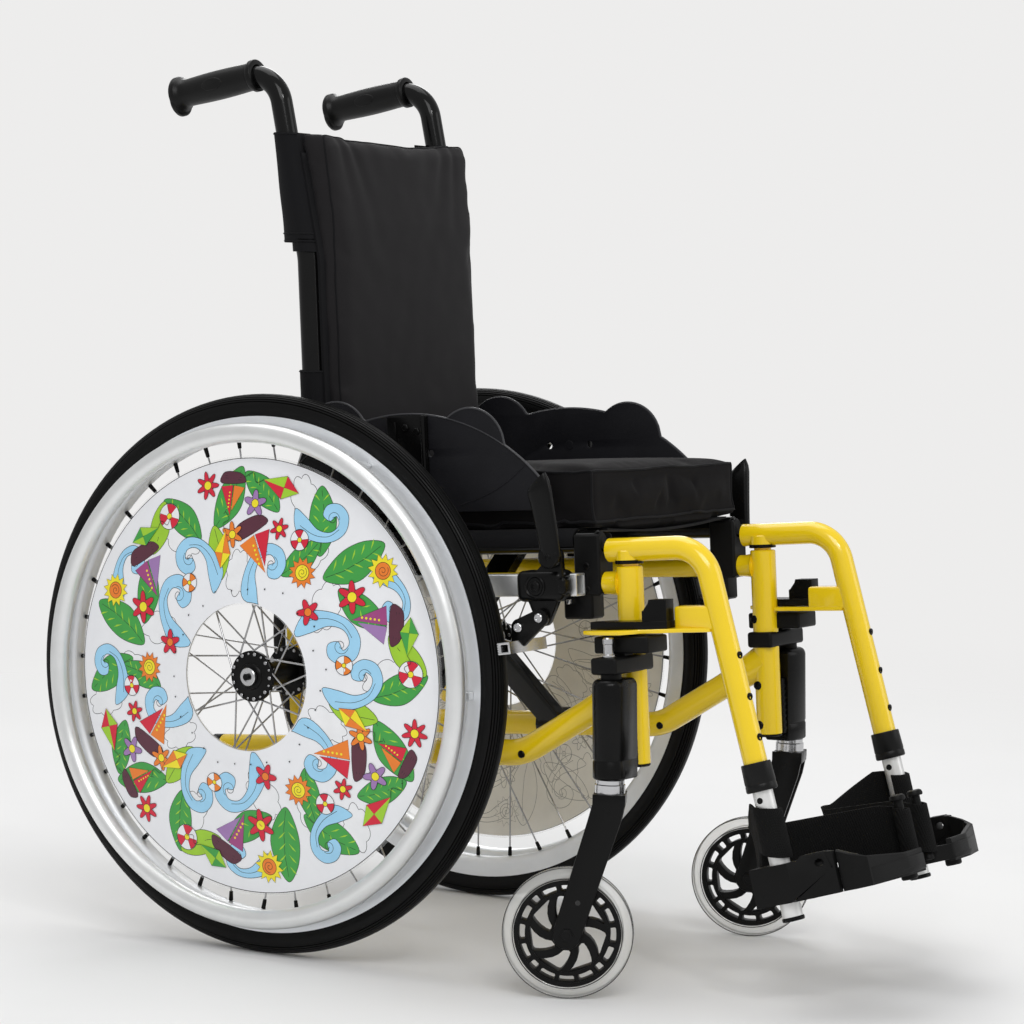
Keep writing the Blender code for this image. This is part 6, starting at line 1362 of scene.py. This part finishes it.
def hangers():
    rear, crest = chair(FRAME_X, -0.354, 0.4216), leg_point(BEND_Z)
    path = bent([rear, crest, leg_point(COLLAR_Z)], [0.036], 20)
    tube_low = (FRAME.inverted() @ rear).z
    cuff = frame_rod(POST_F, 0.102 + GAP, tube_low, 0.0133, 40, 0.0008)
    pin = frame_rod(POST_F, 0.0863, 0.104, 0.0088, 28, 0.001)
    clear, half = POST_RADIUS + 0.0012, 0.0100
    front = 0.4745
    outline = [(HANGER_X - half, front), (HANGER_X + half, front), (0.1580, 0.4450), (0.1720, 0.4120),
               (0.1910, 0.3990), (0.1910, 0.3700), (0.1830, 0.3560), (0.1600, 0.3560),
               *arc((FRAME_X, POST_F), clear, -55, 90, 16), (HANGER_X - half, POST_F + clear)]
    swivel = prism(outline, 0.004, frame_shelf(0.0375), 0.0008)
    strut = box((HANGER_X - half, -0.4785, 0.0395), (HANGER_X + half, -0.4365, 0.0620), FRAME, 0.0030, 4)
    tube = merge(sweep(path, 0.0115, 40), cuff, pin, swivel, strut)
    pair("hanger_tube", tube, "legrest", "yellow", ["hanger"])
    back = (path[0] - path[1]).normalized()
    bead = [(0.0130, 0.0000), (0.0137, 0.0004), (0.0137, 0.0034), (0.0130, 0.0038)]
    caps = [rod(path[0] - back * 0.0010, path[0] + back * 0.0006, 0.0104, 32, 0.0006),
            lathe(bead, 40, along(framed(FRAME_X, POST_F, 0.1023), framed(FRAME_X, POST_F, 1.1)),
                  closed=True)]
    ahead = Vector((0.1, -1, 0)).normalized()
    caps += [hex_head(leg_point(z) + ahead * 0.0108, ahead, 0.0036, 0.0024) for z in (0.332, 0.294, 0.257)]
    pair("hanger_caps", merge(*caps), "legrest", "smooth_plastic")

    end = leg_point(COLLAR_Z)
    start = end - (crest - end).normalized() * 0.0130
    bore = FOOT_TUBE_RADIUS + GAP
    profile = [(bore, 0.0004), (0.0108, 0), (0.0136, 0), (0.0146, 0.0006), (0.0150, 0.0016), (0.0149, 0.0060),
               (0.0146, 0.0066), (0.0146, 0.0076), (0.0149, 0.0082), (0.0143, 0.0262), (0.0136, 0.0270),
               (0.0118, 0.0270), (0.0118, 0.0127), (bore, 0.0127)]
    collar = lathe(profile, 44, along(start, end), closed=True)
    pair("collar_sleeve", collar, "legrest", "rubber", ["hanger_collar"])
    carried("latch_lever", 0.0010, "smooth_plastic", "latch")


def foot_matrix():
    """The footplate's axes: on the leg's line in the middle plane, tilted with the plate."""
    centre = leg_point(PLATE_Z)
    return Matrix.Translation((0, centre.y, centre.z)) @ Matrix.Rotation(-FOOT_PITCH, 4, "X")


def foot_front():
    reach = leg_point(PLATE_Z).y - (AXLE_Y - FOOT_REACH)
    return (reach - 0.0025 * math.sin(FOOT_PITCH)) / math.cos(FOOT_PITCH)


def footrests():
    low, high = leg_point(0.0904), leg_point(0.285)
    length = (high - low).length
    way = (high - low).normalized()
    profile = [(0, 0), (0.0090, 0), (FOOT_TUBE_RADIUS, 0.0006), (FOOT_TUBE_RADIUS, length), (0, length)]
    tube = lathe(profile, 40, along(low, high))
    pair("footrest_tube_body", tube, "legrest", "pale_tube", ["footrest_tube"])
    cap = rod(low - way * 0.0020, low + way * 0.0020, 0.0108, 36, 0.0008)
    pair("footrest_tube_cap", cap, "legrest", "smooth_plastic")
    holes = []
    for z in (0.1985, 0.1360):
        for side in (-1, 1):
            flank = leg_point(z) + OUTWARDS * side * (FOOT_TUBE_RADIUS - 0.0006)
            holes.append(rod(flank, flank + OUTWARDS * side * 0.00066, 0.0030, 24, 0))
    pair("footrest_tube_holes", merge(*holes), "legrest", "black_satin")
    carried("footrest_lug", 0.0014, "plastic", "legrest")
    place = foot_matrix()
    wedge = [(0.0125, -0.0045), (0.0515, -0.0045), (0.0515, 0.0345), (0.0450, 0.0355), (0.0485, 0.0195)]
    nose = prism(wedge, 0.0275, place @ facing_side(0.1285), 0.0006)
    for vert in nose.verts:
        local = place.inverted() @ vert.co
        local.x = min(local.x, 0.1570 + 0.547 * (local.y + 0.0115))
        vert.co = place @ local
    pair("lug_nose", nose, "legrest", "plastic")
    screw = hex_head(place @ Vector((0.1555, 0.0195, 0.0190)), OUTWARDS, 0.0042, 0.0004)
    pair("lug_screw", screw, "legrest", "black_satin")


def plate_rim(place, front, hinge, inset=0.0026):
    """The lip under the plate's edge, from the hinge's rear round the inner edge and the nose."""
    inner, near, far = PLATE_INNER_X + inset, PLATE_REAR - inset, -front + inset
    route = [(0.081, near), (inner, near), (inner, -front + 0.0335), (0.0340, far), (0.0673, far),
             (0.1180, -0.0772), (hinge - inset, -0.0655), (hinge - inset, -0.0525)]
    half, low = 0.0024, -0.0118
    section = [(half, 0.002), (half, low), (0.0018, -0.0125),
               (-0.0018, -0.0125), (-half, low), (-half, 0.002)]
    line = [Vector((*route[0], 0))]
    for a, b in zip(route, route[1:]):
        line += [Vector((*a, 0)).lerp(Vector((*b, 0)), share) for share in (0.04, 0.5, 0.96)]
    rim = sweep([*line, Vector((*route[-1], 0))], 1, section=section)
    bmesh.ops.transform(rim, matrix=place, verts=rim.verts)
    return rim


def plate_wall(place, front):
    """The raised wall along the plate's outer edge and nose, falling towards the front."""
    foot, rear_top, front_top = -0.0045, 0.0345, 0.0125
    turns = [(0.1284, -0.0525), (0.1272, -0.0660), (0.1192, -0.0775), (0.0690, -front + 0.0030),
             (0.0330, -front + 0.0026)]
    sections = []
    for point in spaced([Vector(p) for p in turns], 0.006):
        top = rear_top + (front_top - rear_top) * min(max((-point.y - 0.0530) / 0.050, 0), 1)
        out = Vector((1, -0.9)).normalized() if point.y < -0.07 else Vector((1, 0))
        a, b = point + out * 0.0016, point - out * 0.0040
        corners = ((a, foot), (a, top - 0.0012), (a.lerp(b, 0.25), top), (b, top), (b, foot))
        sections.append([place @ Vector((*p, z)) for p, z in corners])
    return loft(sections)


def footplates():
    place, front = foot_matrix(), foot_front()
    hinge = PLATE_HINGE_X + 0.0042
    low_x, high_x = NOSE_X
    outline = [(0.1140, PLATE_REAR), (0.1140, -0.0190), (hinge, -0.0190), (hinge, -0.066),
               (0.1200, -0.078), (high_x, -front), (low_x, -front),
               (PLATE_INNER_X, -front + 0.033), (PLATE_INNER_X, PLATE_REAR)]
    board = prism(soft_corners(outline, 0.002), 0.005, place @ Matrix.Translation((0, 0, -0.0025)), 0.0008)
    treads = []
    for k in range(11):
        x = 0.0215 + 0.0090 * k
        near = -front + 0.010 + max(low_x - x, 0) * 1.4 + max(x - high_x, 0) * 0.40
        treads.append(box((x - 0.0012, near, 0.0022), (x + 0.0012, 0.0080, 0.0034), place, 0.0004, 2))
    ring = [(0.0033, 0), (0.0056, 0), (0.0062, 0.0006), (0.0062, 0.0094), (0.0056, 0.0100), (0.0033, 0.0100)]
    knuckles, arms = [], []
    for side, start in ((-1, -0.0184), (1, 0.0084)):
        lay = place @ Matrix.Translation((PLATE_HINGE_X, start, 0)) @ Matrix.Rotation(-math.pi / 2, 4, "X")
        knuckles.append(lathe(ring, 32, lay, closed=True))
        middle = side * 0.0134
        arms.append(box((0.1105, middle - 0.0044, -0.0024), (0.1205, middle + 0.0044, 0.0024),
                        place, 0.0006, 2))
    post_place = place @ Matrix.Translation((LOOP_POST_X, -front + LOOP_POST_BACK, 0))
    pad_place = place @ Matrix.Translation(((low_x + high_x) / 2, -front + 0.012, 0))
    turned = []
    for profile, steps, lay in (
            ([(0, 0), (0.0062, 0.002), (0.0062, 0.0040), (0.0048, 0.0070), (0.0045, 0.010),
              (0.0045, 0.0640), (0, 0.0640)], 28, post_place),
            ([(0, 0.0640), (0.0070, 0.0640), (0.0078, 0.0648), (0.0078, 0.0668), (0.0070, 0.0688),
              (0.0050, 0.0699), (0, 0.0700)], 36, post_place),
            ([(0, -0.0095), (0.0068, -0.0095), (0.0080, -0.0083), (0.0080, -0.0035),
              (0.0072, -0.0026), (0, -0.0026)], 36, pad_place)):
        turned.append(lathe(profile, steps, lay))
    parts = [board, plate_rim(place, front, hinge), plate_wall(place, front),
             *treads, *knuckles, *arms, *turned]
    pair("footplate_board", merge(*parts), "plate", "plastic", ["footplate"])


def tangent_angle(start, start_radius, end, end_radius):
    way = end - start
    return math.degrees(math.atan2(way.y, way.x) - math.asin((end_radius - start_radius) / way.length)) - 90


def spaced(points, step):
    """A line's points with long gaps filled at about the given step."""
    out = [points[0]]
    for a, b in zip(points, points[1:]):
        count = max(1, math.ceil((b - a).length / step))
        out += [a.lerp(b, k / count) for k in range(1, count + 1)]
    return out


LOOP_LOW, LOOP_HEIGHT, LOOP_THICK = 0.1480, 0.0440, 0.0026
LOOP_BACK_RADIUS = 0.0150
LOOP_SAG, LOOP_INNER_SAG = 0.0270, 0.0080
LOOP_CUP, LOOP_RIPPLE = 0.0022, 0.0006


def heel_loops():
    """Webbing round the footrest tube, hanging back behind the heel and round the plate's post."""
    place, front = foot_matrix(), foot_front()
    middle_z = LOOP_LOW + LOOP_HEIGHT / 2
    post_foot, post_head = (place @ Vector((LOOP_POST_X, LOOP_POST_BACK - front, high))
                            for high in (0, 0.0650))
    share = (middle_z - 0.0040 - post_foot.z) / (post_head.z - post_foot.z)
    tube_at, post_at = leg_point(middle_z).to_2d(), post_foot.lerp(post_head, share).to_2d()
    back = Vector((0.0780, AXLE_Y - 0.4940))
    round_tube, round_post = 0.0115 + 0.0014, 0.0062 + 0.0014
    leave = tangent_angle(tube_at, round_tube, back, LOOP_BACK_RADIUS)
    arrive = tangent_angle(back, LOOP_BACK_RADIUS, post_at, round_post) + 360
    line = arc(tube_at, round_tube, leave - 230, leave, 26)
    line += arc(back, LOOP_BACK_RADIUS, leave, arrive, 16)
    line += arc(post_at, round_post, arrive, arrive + 250, 22)
    line = spaced([Vector(point) for point in line], 0.005)
    lean = math.tan(FOOT_PITCH)
    half, still = LOOP_THICK / 2, 2 * 0.0115
    ups = [k / 12 for k in range(13)]
    ring = [(half, up) for up in ups] + [(0, 1.012)] + [(-half, 1 - up) for up in ups] + [(0, -0.012)]
    sections = []
    for k, spot in enumerate(line):
        before, after = line[max(k - 1, 0)], line[min(k + 1, len(line) - 1)]
        way = (after - before).normalized()
        square = Vector((-way.y, way.x))
        free = [max((spot - end).length - still, 0) / ((back - end).length - still)
                for end in (tube_at, post_at)]
        loose = min(*free, 1)
        points = []
        for offset, up in ring:
            cup = (LOOP_CUP * loose * (1 - (2 * up - 1) ** 2)
                   + LOOP_RIPPLE * loose * math.sin(k * 0.55 + up * 4))
            flat = spot + square * (offset + cup)
            inwards = min(max((tube_at.x - flat.x) / (tube_at.x - post_at.x), 0), 1)
            z = LOOP_LOW + LOOP_HEIGHT * up - LOOP_SAG * loose - LOOP_INNER_SAG * inwards
            points.append(Vector((flat.x, flat.y + lean * (z - middle_z), z)))
        sections.append(points)
    band = loft(sections)
    for side, sign in SIDES:
        obj = loose_piece(side + "_heel_strap", band, "webbing", [side + "_heel_loop"], sign < 0)
        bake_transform(obj)
    band.free()


# Seat and back

SWELL_FRAMES = 20
SWELL_VOXEL = 0.005
CUSHION_LOW_F, CUSHION_HIGH_F, CUSHION_HALF_X = 0.0500, 0.3550, 0.1455
SLING_SAG = 0.007
SLING_CLEAR, SLING_WALL = 0.0113, 0.0018
SLING_REAR_F, SLING_REAR_LENGTH = 0.0500, 0.2793
SLING_FRONT_X = 0.1222
PAD_LOW, PAD_TOP, PAD_KNEE = 0.4720, 0.8255, 0.7330
PAD_HALF_X, PAD_THICK = 0.131, 0.0300


def folds(obj):
    """Gives the piece a mesh of its own."""
    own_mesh(obj)


def inflated(bm, cap, pressure):
    """A remeshed copy of a closed shape, swollen by cloth pressure, with each point's move capped."""
    def remesh(obj):
        made = obj.modifiers.new("remesh", "REMESH")
        made.mode = "VOXEL"
        made.voxel_size = SWELL_VOXEL
    bm = through(bm, remesh)
    mesh = bpy.data.meshes.new("swell")
    bm.to_mesh(mesh)
    obj = bpy.data.objects.new("swell", mesh)
    bpy.context.scene.collection.objects.link(obj)
    cloth = obj.modifiers.new("cloth", "CLOTH")
    settings = cloth.settings
    settings.quality = 4
    settings.use_pressure = True
    settings.uniform_pressure_force = pressure
    settings.effector_weights.gravity = 0.0
    settings.tension_stiffness = settings.compression_stiffness = 18.0
    settings.bending_stiffness = 0.8
    cloth.collision_settings.use_collision = False
    scene = bpy.context.scene
    for number in range(1, SWELL_FRAMES + 1):
        scene.frame_set(number)
    done = obj.evaluated_get(bpy.context.evaluated_depsgraph_get()).to_mesh()
    moved = [v.co.copy() for v in done.vertices]
    scene.frame_set(1)
    bpy.data.objects.remove(obj)
    bpy.data.meshes.remove(mesh)
    bm.verts.ensure_lookup_table()
    for vert, place in zip(bm.verts, moved):
        step = place - vert.co
        if step.length > cap:
            step *= cap / step.length
        vert.co += step
    return subdivided(bm)


def seam_on(tree, line, radius, lift, closed=False):
    """A cord of stitching or piping laid on a swollen piece along the nearest line."""
    path = []
    for point in line:
        spot, normal, _, _ = tree.find_nearest(point)
        path.append(spot + normal * lift)
    return sweep(path, radius, 10, closed)


def seam_loop(half_x, low, high, corner):
    """A rectangle with rounded corners, with points 5 mm apart."""
    loop = rounded([(-half_x, low), (half_x, low), (half_x, high), (-half_x, high)], corner, 6)
    return spaced([Vector(p) for p in loop + loop[:1]], 0.005)[:-1]


def padded_piece(name, body, trims, finishes, nodes):
    """A swollen piece on the right frame, whose trims have the second look."""
    for trim in trims:
        for face in trim.faces:
            face.material_index = 1
    obj = piece(name, merge(body, *trims), "right_frame", finishes, nodes, 80)
    folds(obj)


def sag(x):
    return SLING_SAG * math.sin(math.pi * min(max((x + FRAME_X) / (2 * FRAME_X), 0), 1))


def sling_top(x):
    return SEAT_RAIL_U + 0.0133 - sag(x)


def cushion():
    low_f, high_f, half_x = CUSHION_LOW_F, CUSHION_HIGH_F, CUSHION_HALF_X
    bm = bmesh.new()
    bmesh.ops.create_cube(bm, size=2)
    bmesh.ops.subdivide_edges(bm, edges=bm.edges[:], cuts=27, use_grid_fill=True)
    for vert in bm.verts:
        x, y, z = vert.co
        pull = 0.0045 * (1 - z ** 2)
        side = x * (half_x - pull * (1 - y ** 2) * abs(x))
        f = (low_f + high_f) / 2 - y * ((high_f - low_f) / 2 - pull * (1 - x ** 2) * abs(y))
        top = 0.1925 - 0.0020 * x + 0.0040 * (1 - abs(x) ** 3) * (1 - abs(y) ** 3)
        base = sling_top(side) + 0.0004
        vert.co = framed(side, f, base + (top - base) * (z + 1) / 2)
    body = inflated(bm, 0.0050, 4.0)
    unframe = FRAME.inverted()
    for vert in body.verts:
        local = unframe @ vert.co
        floor = sling_top(local.x) + 0.0003
        if local.z < floor:
            local.z = floor
            vert.co = FRAME @ local
    tree = BVHTree.FromBMesh(body)
    seams = []
    loop = seam_loop(half_x, low_f, high_f, 0.006)
    for u, radius in ((0.1945, 0.0012), (0.1425, 0.0014)):
        seams.append(seam_on(tree, [framed(x * 1.012, f, u) for x, f in loop], radius, 0.0004, True))
    reach, low_u, high_u = 0.004, 0.1440, 0.1930
    for side in (-1, 1):
        for f in (low_f - reach, high_f + reach):
            corner = [framed(side * (half_x + reach), f, low_u + (high_u - low_u) * k / 10)
                      for k in range(11)]
            seams.append(seam_on(tree, corner, 0.0012, 0.0002))
    # The cover's first look is the darker copy of the cloth, which paints shade on the cushion.
    padded_piece("cushion_cover", body, seams, ["seat_cloth_painted_shade", "flap_cloth"], ["seat_cushion"])


def sling_section(limit, wrapped):
    """The sling's section out to a limit, hanging between the rails or wrapped round them too."""
    clear, far = SLING_CLEAR, SLING_CLEAR + SLING_WALL
    steps, around, below = 36, 14, 18
    xs = [-limit + 2 * limit * k / steps for k in range(steps + 1)]
    top = [(x, SEAT_RAIL_U + far - sag(x)) for x in xs]
    under = [(x, SEAT_RAIL_U + clear - sag(x)) for x in reversed(xs)]
    if not wrapped:
        return top + under
    right, left = (FRAME_X, SEAT_RAIL_U), (-FRAME_X, SEAT_RAIL_U)
    return [*top, *arc(right, far, 90, -below, around)[1:], *arc(right, clear, -below, 90, around)[:-1],
            *under, *arc(left, clear, 90, 180 + below, around)[1:],
            *arc(left, far, 180 + below, 90, around)[:-1]]


def sling():
    wrapped, plain = sling_section(FRAME_X, True), sling_section(SLING_FRONT_X, False)
    rear_rows = [SLING_REAR_F + SLING_REAR_LENGTH * k / 12 for k in range(13)]
    front_rows = (0.3285, 0.3405, 0.3520)
    rear = loft([[framed(x, f, u) for x, u in wrapped] for f in rear_rows])
    front = loft([[framed(x, f, u) for x, u in plain] for f in front_rows])
    obj = piece("sling_cloth", merge(rear, front), "right_frame", "flap_cloth", ["seat_sling"], 50)
    folds(obj)


def lower_axis(z):
    """How far back the cane's axis is at a height, along the line of its straight lower part."""
    low = framed(FRAME_X, UPRIGHT_F, 0.105)
    share = (z - low.z) / (KNEE_Z - low.z)
    return low.y - AXLE_Y + (KNEE_Y - low.y + AXLE_Y) * share


def back_axis(z):
    if z < KNEE_Z:
        return lower_axis(z)
    return KNEE_Y + (CREST_Y - KNEE_Y) * (z - KNEE_Z) / (CREST_Z - KNEE_Z)


def cane_front(z, gap):
    """A line in front of the cane, at a height."""
    return back_axis(z) - CANE_RADIUS - gap


def pad_front(z):
    if z < PAD_KNEE:
        return lower_axis(z) - PAD_THICK
    knee = lower_axis(PAD_KNEE) - PAD_THICK
    return knee + (-0.0080 - knee) * (z - PAD_KNEE) / (PAD_TOP - PAD_KNEE)


def top_dip(x):
    """How far the pad's top edge hangs below its corners."""
    share = min(abs(x) / PAD_HALF_X, 1)
    return 0.0050 * (1 - share ** 2)


def pad_shape():
    """The pad's closed form, a little smaller than the finished one."""
    rows, columns = 60, 48
    low, high = PAD_LOW + 0.003, PAD_TOP - 0.003
    rings = []
    for k in range(rows + 1):
        share = k / rows
        edge = 0.0045 * max(1 - min(share, 1 - share) * 30, 0)
        points = []
        for i in range(columns + 1):
            x = 0.260 * (i / columns - 0.5)
            z = low + (high - top_dip(x) - low) * share
            bulge = 0.0035 * (1 - (x / PAD_HALF_X) ** 2)
            points.append(chair(x, pad_front(z) - bulge + 0.0025 + edge, z))
        for i in range(columns + 1):
            x = 0.279 * (0.5 - i / columns)
            z = low + (high - top_dip(x) * 0.9 - low) * share
            points.append(chair(x, cane_front(z, 0.0012), z))
        rings.append(points)
    return loft(rings)


# The creases that run down from the pad's top edge: place, lean, width and depth
CREASES = ((-0.108, 0.16, 0.005, 0.0016), (-0.090, 0.34, 0.006, 0.0022), (-0.060, 0.30, 0.010, 0.0012),
           (-0.020, 0.10, 0.014, 0.0008), (0.052, -0.20, 0.011, 0.0011), (0.084, -0.40, 0.007, 0.0020),
           (0.104, -0.22, 0.005, 0.0014))


def creased(x, y, z):
    """How far back the pad's face is pressed by its creases, at a place."""
    high = min(max((z - 0.68) / 0.13, 0), 1) ** 1.5
    fold = 0
    for centre, lean, width, depth in CREASES:
        fold += depth * math.exp(-((x - centre - lean * (0.815 - z)) / (width * (2.4 - 1.4 * high))) ** 2)
    low_fold = 0.0012 * math.exp(-((z - 0.530 - 0.0010 * math.sin(x * 40)) / 0.012) ** 2)
    return fold * high ** 0.8 + low_fold + 0.0005 * noise.noise(Vector((x, y, z)) * 42)


def pad_strip(side):
    """The covered strip along one rear edge of the pad."""
    rings = []
    for k in range(41):
        z = PAD_LOW + 0.006 + (PAD_TOP - PAD_LOW - 0.030) * k / 40
        y = cane_front(z, 0.0014)
        corners = ((0.1180, y - 0.0040), (0.1408, y - 0.0030), (0.1408, y), (0.1180, y))
        rings.append([chair(side * x, depth, z) for x, depth in corners][::side])
    return loft(rings)


def back_pad():
    body = inflated(pad_shape(), 0.0040, 3.0)
    for vert in body.verts:
        x, y, z = vert.co.x, vert.co.y - AXLE_Y, vert.co.z
        rear = cane_front(z, 0.0014)
        if y > rear and abs(abs(x) - FRAME_X) < 0.014:
            y = rear
        facing = min(max((rear - 0.006 - y) / 0.008, 0), 1)
        if facing > 0:
            y += facing * creased(x, y, z)
        vert.co.y = y + AXLE_Y
    tree = BVHTree.FromBMesh(body)
    trims = []
    for half_x, depth, lift in ((0.1305, lambda z: pad_front(z) + 0.0030, 0.0),
                                (0.1380, lambda z: cane_front(z, 0.0030), 0.0)):
        line = []
        for x, z in seam_loop(half_x, PAD_LOW + 0.003, PAD_TOP - 0.002, 0.008):
            z -= top_dip(x) if z > 0.7 else 0
            line.append(chair(x, depth(z), z))
        trims.append(seam_on(tree, line, 0.0010, lift, True))
    trims += [pad_strip(side) for side in (-1, 1)]
    padded_piece("back_pad", body, trims, ["cloth", "flap_cloth"], ["back_upholstery"])


FLAP_INNER, FLAP_OUTER, FLAP_REACH = CANE_RADIUS + 0.0009, CANE_RADIUS + 0.0024, 0.0220


def flap(low_z, high_z, looseness, rows):
    """A sleeve of cloth round the left cane between two heights, wider behind it at the bottom."""
    outline = [(-FLAP_REACH, -FLAP_OUTER), *arc((0, 0), FLAP_OUTER, -90, 90, 24), (-FLAP_REACH, FLAP_OUTER),
               (-FLAP_REACH, FLAP_INNER), *arc((0, 0), FLAP_INNER, 90, -90, 24), (-FLAP_REACH, -FLAP_INNER)]
    rings = []
    for k in range(rows + 1):
        z = low_z + (high_z - low_z) * k / rows
        centre = chair(FRAME_X, back_axis(z), z)
        slack = looseness * (1 - k / rows)
        ring = []
        for x, y in outline:
            if y > 0:
                y = y * (1 + slack) + 0.0007 * slack * math.sin(x * 260 + z * 90)
            ring.append(centre + Vector((x, y, 0)))
        rings.append(ring)
    return loft(rings)


def hem(low_z, high_z, looseness, z):
    """A stitched hem round a flap at one height."""
    loose = 1 + looseness * (high_z - z) / (high_z - low_z)
    line = [(-0.0210, FLAP_OUTER), *reversed(arc((0, 0), FLAP_OUTER, -80, 90, 24))]
    path = [chair(FRAME_X + x, back_axis(z) + (y * loose if y > 0 else y), z) for x, y in line]
    return sweep(path, 0.0009, 8)


def back_flaps():
    pair("flap_tongue", flap(0.7020, 0.7150, 0.12, 4), "frame", "flap_cloth", (), 60)
    for name, low_z, high_z, looseness, rows in (("upper_flap", 0.7110, 0.8215, 0.80, 20),
                                                 ("lower_flap", 0.4726, 0.5830, 0.0, 14)):
        hems = [hem(low_z, high_z, looseness, z) for z in (low_z + 0.0015, low_z + 0.0090, high_z - 0.0015)]
        sleeve = merge(flap(low_z, high_z, looseness, rows), *hems)
        for side, obj in pair(name, sleeve, "frame", "flap_cloth", (), 60).items():
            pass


# Stage, lights and camera

FLOOR_RADIUS, FADE_FROM, FADE_TO = 3.6, 0.7, 3.3
SEEN_SKY, LIGHT_SKY = ((0.85, 0.845, 0.84), 1.0), ((1.0, 1.0, 1.0), 0.56)
LIGHTS = (("key", (-2.6, -1.6, 3.0), 1.8, 44.0), ("streak", (-1.5, -1.9, 2.3), 0.22, 7.0),
          ("fill", (1.6, -3.4, 1.8), 2.0, 18.0), ("top", (0.4, 0.8, 3.6), 2.6, 45.0),
          ("edge", (2.6, 1.8, 2.2), 1.4, 20.0))
LIGHT_AIM = Vector((0, 0, 0.4))


def stage_floor():
    """A pale, slightly clouded disc that fades out towards its edge."""
    bm = bmesh.new()
    bmesh.ops.create_circle(bm, cap_ends=True, segments=96, radius=FLOOR_RADIUS)
    mesh = bpy.data.meshes.new("floor")
    bm.to_mesh(mesh)
    bm.free()
    floor = bpy.data.objects.new("floor", mesh)
    floor.location = (0, 0, -0.0002)
    bpy.context.scene.collection.objects.link(floor)
    made = bpy.data.materials.new("floor")
    made.use_nodes = True
    tree = made.node_tree
    tree.nodes.clear()
    place = tree.nodes.new("ShaderNodeTexCoord").outputs["Object"]
    length = tree.nodes.new("ShaderNodeVectorMath")
    length.operation = "LENGTH"
    tree.links.new(place, length.inputs[0])
    fade = add_node(tree, "MapRange", Value=length.outputs["Value"], From_Min=FADE_FROM, From_Max=FADE_TO)
    fade.interpolation_type = "SMOOTHSTEP"
    cloudy = add_node(tree, "TexNoise", Vector=place, Scale=2.2, Detail=6.0)
    tone = add_node(tree, "MapRange", Value=cloudy.outputs[0], To_Min=0.775, To_Max=0.835)
    pale = add_node(tree, "BsdfDiffuse", Color=tone.outputs[0])
    clear = tree.nodes.new("ShaderNodeBsdfTransparent")
    mix = tree.nodes.new("ShaderNodeMixShader")
    out = tree.nodes.new("ShaderNodeOutputMaterial")
    for socket, source in ((mix.inputs[0], fade), (mix.inputs[1], pale), (mix.inputs[2], clear),
                           (out.inputs[0], mix)):
        tree.links.new(source.outputs[0], socket)
    mesh.materials.append(made)


def studio():
    """The floor, a background that only the camera sees, and the lights."""
    stage_floor()
    world = bpy.data.worlds.new("studio")
    bpy.context.scene.world = world
    world.use_nodes = True
    tree = world.node_tree
    tree.nodes.clear()
    path = tree.nodes.new("ShaderNodeLightPath").outputs
    seen = maths(tree, "MAXIMUM", path["Is Camera Ray"], path["Is Transmission Ray"])
    mix = tree.nodes.new("ShaderNodeMixShader")
    out = tree.nodes.new("ShaderNodeOutputWorld")
    tree.links.new(seen, mix.inputs[0])
    for socket, (colour, strength) in zip(mix.inputs[1:], (LIGHT_SKY, SEEN_SKY)):
        back = add_node(tree, "Background", Color=(*colour, 1), Strength=strength)
        tree.links.new(back.outputs[0], socket)
    tree.links.new(mix.outputs[0], out.inputs[0])
    for name, place, size, power in LIGHTS:
        data = bpy.data.lights.new(name, "AREA")
        data.size = size
        data.energy = power
        lamp = bpy.data.objects.new(name, data)
        lamp.location = place
        lamp.rotation_euler = (LIGHT_AIM - Vector(place)).to_track_quat("-Z", "Y").to_euler()
        bpy.context.scene.collection.objects.link(lamp)
    bpy.context.scene.view_settings.view_transform = "Standard"


CAMERA_PLACE = (-2.87819, AXLE_Y - 1.91849, 0.66712)
CAMERA_YAW, CAMERA_PITCH, CAMERA_ROLL = (math.radians(a) for a in (31.6776, 3.7847, 1.2287))
CAMERA_LENS = 116.235
PICTURE_SIDE, PICTURE_CENTRE = 1024, (498.80, 509.28)


def camera():
    """The photograph's camera, found from the ellipses of the wheels and casters."""
    yaw, pitch, roll = CAMERA_YAW, CAMERA_PITCH, CAMERA_ROLL
    ahead = Vector((math.cos(yaw) * math.cos(pitch), math.sin(yaw) * math.cos(pitch), -math.sin(pitch)))
    level = ahead.cross(Vector((0, 0, 1))).normalized()
    upright = level.cross(ahead)
    right = level * math.cos(roll) + upright * math.sin(roll)
    up = upright * math.cos(roll) - level * math.sin(roll)
    data = bpy.data.cameras.new("camera")
    data.sensor_width = 36.0
    data.lens = CAMERA_LENS
    data.shift_x = (PICTURE_SIDE / 2 - PICTURE_CENTRE[0]) / PICTURE_SIDE
    data.shift_y = (PICTURE_CENTRE[1] - PICTURE_SIDE / 2) / PICTURE_SIDE
    made = bpy.data.objects.new("camera", data)
    turn = Matrix((right, up, -ahead)).transposed().to_4x4()
    made.matrix_world = Matrix.Translation(CAMERA_PLACE) @ turn
    bpy.context.scene.collection.objects.link(made)
    bpy.context.scene.camera = made


camera()
studio()
cushion()
sling()
back_pad()
back_flaps()
rear_wheels()
side_frames()
canes()
clothes_guards()
brake_bodies()
brake_levers()
brake_shoes()
seat_frame()
caster_housings()
casters()
hangers()
footrests()
footplates()
heel_loops()
